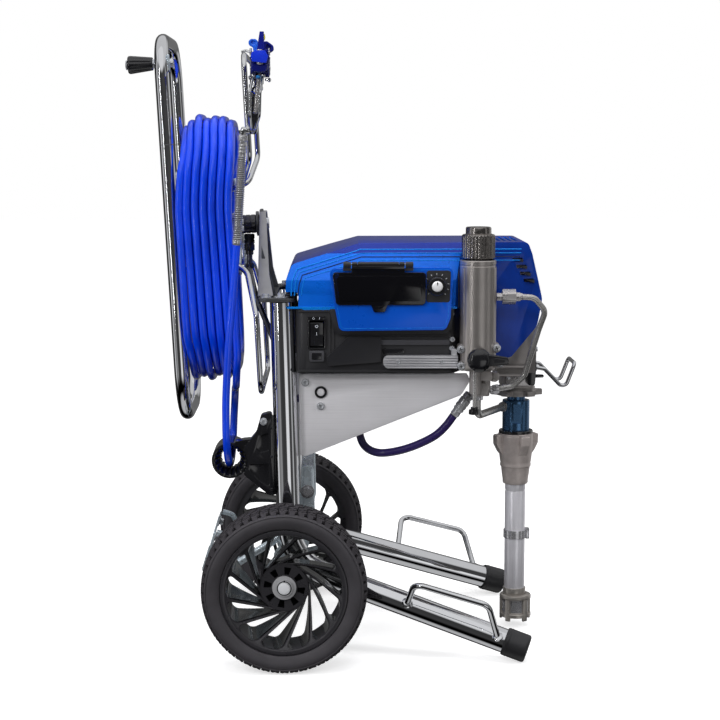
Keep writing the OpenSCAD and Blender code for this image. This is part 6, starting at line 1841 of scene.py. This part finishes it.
# cylinder: cast, lugs round the top and a cut-out with a paler insert
t = Mesh()
t.lathe([(8.1, 252), (8.1, 262), (12.1, 263.5), (12.1, 275), (13.1, 276), (13.1, 325.6), (14, 326.6), (26.5, 326.8), (28.4, 326.2), (29.0, 324.6), (28.8, 318), (28.2, 305), (27.6, 296), (25.6, 280), (24.8, 277), (25.4, 275), (25.2, 271.5), (23.8, 270), (22.4, 258),
         (21.0, 248.6), (21.0, 244.4), (20.0, 242.2), (18.4, 241.5), (16.9, 242), (16.9, 247.6), (8.9, 248), (8.1, 249)], m=ax, n=128, mi=0, closed=True)
t.lathe([(25.2, 331.6), (23.2, 331.9), (23.0, 327.4), (27.4, 327.0), (28.0, 327.8), (28.0, 330.6), (27.2, 331.6)], m=ax, n=96, mi=1, closed=True)
for k in range(4):
    m = Matrix.Translation(V(PX, 0, 0)) @ Matrix.Rotation(math.radians(90 * k + 20), 4, "Z")
    t.prism(round2([(22, 286), (31, 297), (37.4, 309), (38, 324.4), (22, 326)], [2, 6, 4, 3, 2], 4), "y", -7.6, 7.6, 1.8, 3, mi=0, mat=m)
    t.prism(round2([(27, 311), (36.4, 311), (36.4, 320), (27, 320)], 2, 3), "y", -8.2, 8.2, 0.7, 2, mi=0, mat=m)
m = Matrix.Translation(V(PX, 0, 0)) @ Matrix.Rotation(math.radians(-70), 4, "Z")
t.prism(round2([(-7.5, 296), (7.5, 296), (7.5, 322), (-7.5, 322)], 3, 4), "x", 26.0, 29.6, 1.0, 2, mi=2, mat=m)
t.prism(round2([(-4.6, 300), (4.6, 300), (4.6, 318), (-4.6, 318)], 2, 4), "x", 29.4, 30.4, 0.5, 2, mi=0, mat=m)
t.done("pump_cylinder_cast", "cart", [BRONZE, GLOSSBLK, GUNMETAL], "pump_cylinder", angle=32)

# suction tube with its clip, strainer with real mesh wires
t = Mesh()
t.lathe([(14.75, 57.6), (15.4, 57), (16.4, 57.1), (16.75, 57.8), (16.75, 228), (16.1, 229.2), (16.1, 231), (16.75, 232.2), (16.75, 247), (16.2, 247.5), (15.2, 247.5), (14.75, 247)], m=ax, n=96, mi=0, closed=True)
t.lathe([(16.8, 150.4), (18.3, 150), (18.75, 150.6), (18.75, 163.4), (18.3, 164), (16.8, 163.6)], m=ax, n=96, mi=1, closed=True)
t.prism(round2([(PX + 17.5, -7), (PX + 24, -6), (PX + 24, 6), (PX + 17.5, 7)], 1.5, 3), "z", 148.5, 165.5, 1.0, 2, mi=1)
t.done("suction_pipe", "cart", [SUCTION, STEEL, BOLT], "suction_tube", angle=32)

t = Mesh()
sx = basis((PX + 2, 0, 0), (0, 0, 1), (0, -1, 0))
sx0 = basis((PX, 0, 0), (0, 0, 1), (0, -1, 0))
t.lathe([(16.9, 54.5), (18.2, 54), (18.7, 54.8), (18.7, 65.2), (18.2, 66), (16.9, 65.6)], m=sx0, n=80, mi=0, closed=True)
t.lathe([(17.6, 55.5), (22, 55.2), (25.0, 54.0), (26, 52.0), (26, 48.2), (25.4, 47.2), (22.4, 47.0), (22.0, 46.4), (19.2, 46.2), (19.0, 52.6), (17.2, 54)], m=sx, n=96, mi=0, closed=True)
t.lathe([(15.2, 17), (25.2, 17), (26, 17.8), (26, 22.6), (25.2, 23.8), (22.2, 24.2), (21.6, 25), (19.4, 25), (19.2, 19.0), (15.4, 18.8)], m=sx, n=96, mi=0, closed=True)
for k in range(5):
    m = Matrix.Translation(V(PX + 2, 0, 0)) @ Matrix.Rotation(math.radians(72 * k + 18), 4, "Z")
    t.prism(round2([(21.4, 47.2), (25.8, 47.2), (25.8, 13), (24.8, 11.2), (21.8, 11.2), (21.4, 13)], [0.5, 0.5, 2, 1, 1, 2], 3), "y", -3.8, 3.8, 0.9, 2, mi=0, mat=m)
for k in range(72):
    a = 2 * PI * k / 72
    c, s = math.cos(a), math.sin(a)
    t.tube([sx @ V(20.7 * c, 20.7 * s, 24), sx @ V(20.7 * c, 20.7 * s, 47)], 0.34, 6, mi=1, caps=False)
for k in range(13):
    z = 25.6 + 1.72 * k
    t.lathe([(20.9, z - 0.33), (21.5, z), (20.9, z + 0.33)], m=sx, n=96, mi=1, closed=True)
t.lathe([(19.3, 24.5), (19.9, 24.6), (19.9, 46.6), (19.3, 46.7)], m=sx, n=96, mi=2, closed=True)
t.done("suction_strainer", "cart", [STRAINER, STEEL, material("mesh_backing", (0.10, 0.095, 0.09), 0.6, 0.8, var=0.2, grain=0.5, grain_s=1500)], "strainer", angle=32)

# ------------------------------------------------------------ filter
FX, FY = 300.5, -150
fm = basis((FX, FY, 0), (0, 0, 1), (0, -1, 0))
t = Mesh()
t.lathe([(0, 450), (24, 450), (26.4, 450.8), (27.6, 452.6), (28.0, 456), (28.0, 460.4), (27.4, 461.2), (27.4, 463.4), (28.2, 464.4), (28.25, 520), (28.25, 612), (27.6, 612.8), (27.6, 614.6), (28.25, 615.4), (28.25, 620.4), (27.4, 621.6), (25.0, 622), (15.3, 622),
         (15.3, 619), (19, 618), (19, 459), (0, 458)], m=fm, n=144, mi=0)
# two shallow lengthwise ribs, as on a machined casting
for a in (-62, 62, 180):
    m = fm @ Matrix.Rotation(math.radians(a), 4, "Z")
    t.prism(round2([(27.0, -5.5), (29.1, -4.6), (29.1, 4.6), (27.0, 5.5)], [0.4, 1.4, 1.4, 0.4], 3), "z", 466, 610, 0.9, 2, mi=0, mat=m)
# flange and lower block
t.prism(round2([(289, 452), (319, 452), (319, 494), (289, 494)], 4, 4), "y", -126.5, -121.7, 1.0, 2, mi=2)
b = slab(round2([(292, -128), (322, -128), (322, -90), (292, -90)], 5, 4), "z", 405, 449.9)
soften(b, 1.8, 3, 35)
t.bm(b, None, 1)
for q, z0, z1, r in (((299, -134), 409, 447, 9.5), ((315, -127), 413, 444, 8.0)):
    t.lathe([(0, z0), (r - 1.6, z0), (r, z0 + 1.6), (r, z1 - 1.8), (r - 1.8, z1), (0, z1)], (q[0], q[1], 0), (0, 0, 1), 48, mi=1)
t.prism(round2([(290, 432), (325, 430), (324, 446), (312, 449.6), (291, 449.6)], 4, 4), "y", -138.6, -128.2, 1.6, 3, mi=1)
t.prism(round2([(293, 407), (318, 407), (322, 426), (293, 429)], 5, 4), "y", -136.6, -128.2, 1.8, 3, mi=1)
t.lathe([(5.05, 0), (9.2, 0), (10.4, 1.2), (10.4, 6), (9.6, 7.2), (5.05, 7.4)], (299.5, -171.2, 470.5), (0, -1, 0), 56, mi=1, closed=True)
t.lathe([(0, 0), (7.6, 0), (8.4, 1), (8.4, 6), (7, 8.6), (0, 9.4)], (326.0, -128, 437), (0.75, -0.65, 0), 40, mi=1)
# pan screws
for x, z in ((273, 484), (329, 486), (274, 458), (333.5, 462)):
    y0 = -137 if x != 333.5 else -137
    t.lathe([(0, 0), (4.4, 0), (4.5, 0.4), (4.5, 26), (5.6, 26.4), (6.3, 27.4), (6.3, 30.2), (5.2, 32.2), (2.8, 33.0), (0, 33.0)], (x, y0, z), (0, -1, 0), 40, mi=3)
    for a in (0.3, 0.3 + PI / 2):
        d = V(math.cos(a), 0, math.sin(a))
        t.prism([(-3.2, -0.55), (3.2, -0.55), (3.2, 0.55), (-3.2, 0.55)], "y", y0 - 33.3, y0 - 32.4, 0.1, 1, mi=2,
                mat=Matrix.Translation(V(x, 0, z)) @ Matrix.Rotation(-a, 4, "Y"))
# ears that carry the screws
for x, z, dx in ((275.5, 484, 1), (327, 486, -1), (276.5, 458, 1), (331, 462, -1)):
    t.prism(round2([(x - 7, z - 8), (x + 7, z - 8), (x + 7, z + 8), (x - 7, z + 8)], 6, 5), "y", -163.5, -137, 1.6, 3, mi=1)
t.done("filter_body", "cart", [NICKEL, BEAD, GLOSSBLK, BOLT], "filter_manifold", angle=30)

t = Mesh()
n = 240
rows = [(15.1, 608, 0), (15.1, 623.2, 0), (24.4, 624.0, 0), (25.4, 624.4, 0), (26.0, 625.4, 0.4), (26.0, 627.4, 1), (26.0, 657.0, 1), (25.6, 659.6, 0.5), (24.4, 661.4, 0), (20.6, 662.2, 0), (19.9, 662.8, 0), (19.9, 670.8, 0), (19.2, 672.4, 0), (17.6, 673, 0), (0, 673, 0)]
vs, fs, rings = [], [], []
for r0, z, fl in rows:
    if r0 == 0:
        rings.append([len(vs)])
        vs.append(V(0, 0, z))
        continue
    ring = []
    for j in range(n):
        a = 2 * PI * j / n
        d = 1.15 * fl * (0.5 - 0.5 * math.cos(30 * a)) ** 1.4
        ring.append(len(vs))
        vs.append(V((r0 - d) * math.cos(a), (r0 - d) * math.sin(a), z))
    rings.append(ring)
for p, q in zip(rings, rings[1:]):
    for j in range(n):
        k = (j + 1) % n
        fs.append((p[j], p[k], q[0]) if len(q) == 1 else (p[j], p[k], q[k], q[j]))
fs.append(tuple(rings[0][::-1]))
b = bmesh.new()
bv = [b.verts.new(fm @ v) for v in vs]
for f in fs:
    b.faces.new([bv[i] for i in f])
bmesh.ops.recalc_face_normals(b, faces=b.faces)
b = boolean(b, slab([(FX - 25, FY - 3), (FX + 25, FY - 3), (FX + 25, FY + 3), (FX - 25, FY + 3)], "z", 666, 680), "DIFFERENCE")
t.bm(b, None, 0)
t.lathe([(20.4, 623.2), (25.0, 623.0), (25.6, 622.6), (25.6, 622.2), (20.4, 622.2)], m=fm, n=96, mi=1, closed=True)
t.done("filter_cap_ribbed", "filter_cap", [KNURL, GLOSSBLK], "filter_cap", angle=30)
paint("filter_element", material("filter_gauze", (0.7, 0.7, 0.72), 0.5, 0.6, var=0.1, grain=0.6, grain_s=1500, grain_d=0.1))

# prime valve: round black knob with a lever
t = Mesh()
m = basis((299.5, -189, 470.5), (0, -1, 0), (1, 0, 0))
n = 120
rows = [(0, 15, 0), (0, 18, 0), (0.8, 18.6, 0.4), (2.0, 18.75, 1), (9.6, 18.4, 1), (12.4, 17.0, 0.6), (15.2, 13.2, 0), (16.7, 8.0, 0), (17.0, 0, 0)]
vs, fs, rings = [], [], []
for h, r, fl in rows:
    if r == 0:
        rings.append([len(vs)])
        vs.append(V(0, 0, h))
        continue
    ring = []
    for j in range(n):
        a = 2 * PI * j / n
        d = 0.9 * fl * (0.5 - 0.5 * math.cos(10 * a)) ** 3
        ring.append(len(vs))
        vs.append(V((r - d) * math.cos(a), (r - d) * math.sin(a), h))
    rings.append(ring)
for p, q in zip(rings, rings[1:]):
    for j in range(n):
        k = (j + 1) % n
        fs.append((p[j], p[k], q[0]) if len(q) == 1 else (p[j], p[k], q[k], q[j]))
fs.append(tuple(rings[0][::-1]))
t.add(vs, fs, 0, m)
t.prism(round2([(299, 481.5), (318, 479.4), (343, 476), (345, 470), (343, 464), (318, 461.8), (299, 459.5)], [3, 10, 5, 5, 5, 10, 3], 5), "y", -202, -192.6, 2.4, 4, mi=0)
t.prism(round2([(322, 474.6), (338, 472.6), (338, 467.6), (322, 466.2)], 2, 3), "y", -202.5, -201.5, 0.4, 1, mi=0)
t.lathe([(0, 0.1), (9.0, 0.2), (10, 1.2), (10, 8.6), (9.2, 9.8), (0, 9.9)], (299.5, -179, 470.5), (0, -1, 0), 56, mi=1)
t.hexa((299.5, -181.4, 470.5), (0, -1, 0), 18.6, 6.2, 0.8, mi=1)
t.lathe([(0, 0), (5, 0), (5, 8), (0, 8)], (299.5, -171, 470.5), (0, -1, 0), 32, mi=1)
t.done("prime_valve_knob", "prime_valve", [GLOSSBLK, STEEL], "prime_valve", angle=35)

# ------------------------------------------------------------ fluid lines
t = Mesh()
t.hexa((329.4, FY, 564.5), (1, 0, 0), 11.6, 8.6, 0.6, mi=0)
t.lathe([(0, 8.0), (5.2, 8.0), (5.2, 12), (0, 12)], (329.4, FY, 564.5), (1, 0, 0), 32, mi=0)
t.hexa((338.1, FY, 564.5), (1, 0, 0), 21.4, 20.8, 1.4, mi=0, turn=PI / 6)
t.lathe([(9.6, 0), (10.4, 0.5), (10.4, 1.6), (9.6, 2.1)], (347.6, FY, 564.5), (1, 0, 0), 48, mi=0, closed=True)
t.hexa((359.1, FY, 564.5), (1, 0, 0), 13.4, 6.9, 0.7, mi=0)
t.lathe([(0, 0), (5.8, 0), (5.8, 2.4), (5.2, 3.6), (0, 3.8)], (366.0, FY, 564.5), (1, 0, 0), 32, mi=0)
t.tube(bends([(364.0, -150, 564.5), (388, -149, 563), (407, -141, 541), (398, -130, 512), (378, -112, 436), (360, -110, 419), (321.4, -110, 411.9)], 17, 4), 4.75, 24, mi=1)
t.hexa((337.5, -110, 414.7), (-0.985, 0, -0.17), 14.2, 9.5, 0.8, mi=2)
t.lathe([(0, -1), (5.9, 0), (6.2, 1), (6.2, 4), (4.9, 5)], (328.1, -110, 413.1), (-0.985, 0, -0.17), 32, mi=2)
t.pipe(bends([(353, -12, 371), (304, -108, 371), (304, -108, 404.9)], 14, 4), 6, 1.5, 28, mi=1)
t.lathe([(0, 0), (7.8, 0), (8.4, 0.7), (8.4, 7), (7.4, 8), (6, 8.2)], (357, -5, 371), (-0.46, -0.89, 0), 36, mi=2)
t.hexa((304, -108, 396.8), (0, 0, 1), 16.2, 8, 0.8, mi=2)
# drain tube with its dark nut
t.pipe([(296, -152, 388), (296, -152, 449.8)], 3.0, 0.7, 24, mi=1)
t.hexa((296, -152, 380.2), (0, 0, 1), 15.6, 7.6, 0.8, mi=3)
t.lathe([(3.2, 0), (5.4, 0), (5.9, 0.5), (5.9, 3.4), (5.2, 4), (3.2, 4)], (296, -152, 387.8), (0, 0, 1), 36, mi=3, closed=True)
# fitting of the feed hose
fa, fb = V(287, -100, 397), V(268, -94, 370)
fu = unit(fb - fa)
t.hexa(fa - fu * 2.0, -fu, 15, 8.0, 0.8, mi=2)
# feed line to the reel
t.lathe([(0, 655), (7.2, 655), (8.2, 654.2), (8.5, 653), (8.5, 647.4), (7.7, 646.8), (7.7, 645.4), (8.5, 644.8), (8.5, 640), (7.7, 639.4), (7.7, 638), (8.5, 637.4), (8.5, 629), (8.0, 628), (6.2, 627.8), (6.5, 627), (6.5, 621.8), (5.8, 621), (0, 621)],
        (-60.5, 0, 0), (0, 0, 1), 48, mi=3)
t.tube(bends([(-60.5, 0, 621.5), (-60.5, -3, 598), (-54, -18, 572), (-48.5, -30, 550), (-37, -50, 528), (-18, -84, 488), (-6, -98, 462), (-6, -98, 440)], 18, 4), 4.75, 24, mi=4)
t.hexa((-60.5, 0, 606.5), (0.02, -0.12, -1), 13, 8, 0.8, mi=3)
t.done("fluid_line_tubes", "cart", [GUNMETAL, LINE, STEEL, GLOSSBLK, material("feed_line_dark", (0.16, 0.16, 0.17), 0.28, 1.0, var=0.1, rvar=0.06)], "fluid_tubes", angle=35)

# ------------------------------------------------------------ floor, light, view


# the room as metal sees it, by the direction round the cart (0 = in front of it, positive to the right), and its brightness
ROOM = [(-180, 0.16), (-150, 0.05), (-108, 0.03), (-92, 0.03), (-87, 0.80), (-79, 0.80), (-73, 0.16), (-52, 0.26), (-42, 0.30), (-36, 0.06), (-15, 0.04), (6, 0.05), (30, 0.06),
        (40, 0.05), (48, 0.05), (59, 0.07), (64, 0.46), (71, 0.46), (77, 0.05), (94, 0.06), (108, 0.22), (126, 0.55), (146, 0.50), (160, 0.12), (180, 0.16)]
# a lit patch in front, low down and a little to the right
FRONT = [(-180, 0.0), (5, 0.0), (10, 0.80), (32, 0.85), (39, 0.0), (180, 0.0)]
ROOM_LIGHT = 1.0


def simple_material(name, color, rough, strength=None):
    m = bpy.data.materials.new(name)
    m.use_nodes = True
    b = m.node_tree.nodes["Principled BSDF"]
    b.inputs["Base Color"].default_value = (*color, 1)
    b.inputs["Roughness"].default_value = rough
    b.inputs["Specular IOR Level"].default_value = 0.2
    return m


me = bpy.data.meshes.new("floor")
me.from_pydata([(-14, -12, 0), (14, -12, 0), (14, 16, 0), (-14, 16, 0)], [], [(0, 1, 2, 3)])
fm_ = simple_material("floor_pale", (0.80, 0.80, 0.81), 0.7)
fb_ = fm_.node_tree.nodes["Principled BSDF"]
fb_.inputs["Emission Color"].default_value = (1, 1, 1, 1)
fb_.inputs["Emission Strength"].default_value = 0.60
me.materials.append(fm_)
floor = bpy.data.objects.new("floor", me)
bpy.context.scene.collection.objects.link(floor)
floor.visible_glossy = False
floor.visible_diffuse = False


def softbox(name, loc, target, size, power, color=(1, 1, 1), size_y=None):
    d = bpy.data.lights.new(name, "AREA")
    d.shape = "RECTANGLE"
    d.size = size
    d.size_y = size_y or size
    d.energy = power
    d.color = color
    o = bpy.data.objects.new(name, d)
    bpy.context.scene.collection.objects.link(o)
    o.location = loc
    o.rotation_euler = (Vector(target) - Vector(loc)).to_track_quat("-Z", "Y").to_euler()
    return o


kl = softbox("key_left", (-2.3, -1.9, 1.5), (0, 0, 0.7), 0.28, 38, size_y=2.4)
kr = softbox("key_right", (2.5, -1.2, 1.5), (0, 0, 0.5), 0.6, 22, size_y=2.0)
tp = softbox("top", (0.0, -0.3, 2.8), (0, 0, 0.3), 2.0, 34, size_y=1.4)
fh = softbox("front_high", (-0.3, -3.6, 2.6), (0, 0, 0.5), 1.4, 26, size_y=0.6)
st = softbox("streak_left", (-2.1, -2.4, 1.2), (0, 0, 0.7), 0.05, 7, size_y=2.2)      # a thin strip light that glossy pieces show as a line
for lamp in (kl, kr, tp, fh):
    lamp.visible_glossy = False

world_ = bpy.data.worlds.new("studio") if bpy.context.scene.world is None else bpy.context.scene.world
bpy.context.scene.world = world_
world_.use_nodes = True
nt = world_.node_tree
nt.nodes.clear()


def wn(kind, **kw):
    nd = nt.nodes.new(kind)
    for k, v in kw.items():
        setattr(nd, k, v)
    return nd


def step(sock, lo, hi, amount):
    mr = wn("ShaderNodeMapRange", interpolation_type="SMOOTHSTEP")
    for k, v in (("From Min", lo), ("From Max", hi), ("To Min", 0.0), ("To Max", amount)):
        mr.inputs[k].default_value = v
    nt.links.new(sock, mr.inputs["Value"])
    return mr.outputs["Result"]


def most(a, b):
    m = wn("ShaderNodeMath", operation="MAXIMUM")
    nt.links.new(a, m.inputs[0])
    nt.links.new(b, m.inputs[1])
    return m.outputs[0]


out = wn("ShaderNodeOutputWorld")
tc = wn("ShaderNodeTexCoord")
sep = wn("ShaderNodeSeparateXYZ")
nt.links.new(tc.outputs["Generated"], sep.inputs["Vector"])
back = wn("ShaderNodeMath", operation="MULTIPLY")
back.inputs[1].default_value = -1.0
nt.links.new(sep.outputs["Y"], back.inputs[0])
ang = wn("ShaderNodeMath", operation="ARCTAN2")
nt.links.new(sep.outputs["X"], ang.inputs[0])
nt.links.new(back.outputs[0], ang.inputs[1])
turn = wn("ShaderNodeMath", operation="MULTIPLY_ADD")
turn.inputs[1].default_value = 0.5 / PI
turn.inputs[2].default_value = 0.5
nt.links.new(ang.outputs[0], turn.inputs[0])


def belt_of(table):
    belt = wn("ShaderNodeValToRGB")
    ramp = belt.color_ramp
    ramp.interpolation = "LINEAR"
    while len(ramp.elements) < len(table):
        ramp.elements.new(0.5)
    for e_, (deg, val) in zip(ramp.elements, table):
        e_.position = deg / 360 + 0.5
    for e_, (deg, val) in zip(ramp.elements, table):
        e_.color = (val, val, val, 1)
    nt.links.new(turn.outputs[0], belt.inputs["Fac"])
    grey = wn("ShaderNodeRGBToBW")
    nt.links.new(belt.outputs["Color"], grey.inputs["Color"])
    return grey.outputs[0]


def times(a, b):
    m = wn("ShaderNodeMath", operation="MULTIPLY")
    nt.links.new(a, m.inputs[0])
    nt.links.new(b, m.inputs[1])
    return m.outputs[0]


neg = wn("ShaderNodeMath", operation="MULTIPLY")
neg.inputs[1].default_value = -1.0
nt.links.new(sep.outputs["Z"], neg.inputs[0])
room = most(belt_of(ROOM), times(belt_of(FRONT), step(neg.outputs[0], 0.045, 0.12, 1.0)))
low = wn("ShaderNodeMath", operation="MULTIPLY")
nt.links.new(room, low.inputs[0])
nt.links.new(step(sep.outputs["Z"], -0.62, -0.26, 1.0), low.inputs[1])
fwd = wn("ShaderNodeMath", operation="MULTIPLY_ADD")      # towards the front and up
fwd.inputs[1].default_value = 0.5
half = wn("ShaderNodeMath", operation="MULTIPLY")
half.inputs[1].default_value = 0.866
nt.links.new(sep.outputs["Z"], half.inputs[0])
nt.links.new(back.outputs[0], fwd.inputs[0])
nt.links.new(half.outputs[0], fwd.inputs[2])
env = most(low.outputs[0], step(sep.outputs["Z"], 0.42, 0.62, 0.60))
env = most(env, step(fwd.outputs[0], 0.70, 0.88, 0.75))
env = most(env, step(neg.outputs[0], 0.80, 0.93, 0.50))
plus = wn("ShaderNodeMath", operation="ADD")
plus.inputs[1].default_value = 0.0
nt.links.new(env, plus.inputs[0])
col = wn("ShaderNodeCombineColor")
for k in ("Red", "Green", "Blue"):
    nt.links.new(plus.outputs[0], col.inputs[k])
bg = wn("ShaderNodeBackground")
nt.links.new(col.outputs["Color"], bg.inputs["Color"])
bg.inputs["Strength"].default_value = ROOM_LIGHT
white = wn("ShaderNodeBackground")
white.inputs["Color"].default_value = (1, 1, 1, 1)
white.inputs["Strength"].default_value = 1.0
lp = wn("ShaderNodeLightPath")
mx = wn("ShaderNodeMixShader")
nt.links.new(lp.outputs["Is Camera Ray"], mx.inputs["Fac"])
nt.links.new(bg.outputs["Background"], mx.inputs[1])
nt.links.new(white.outputs["Background"], mx.inputs[2])
nt.links.new(mx.outputs["Shader"], out.inputs["Surface"])

bpy.context.scene.view_settings.view_transform = "Standard"
bpy.context.scene.view_settings.exposure = 0.0
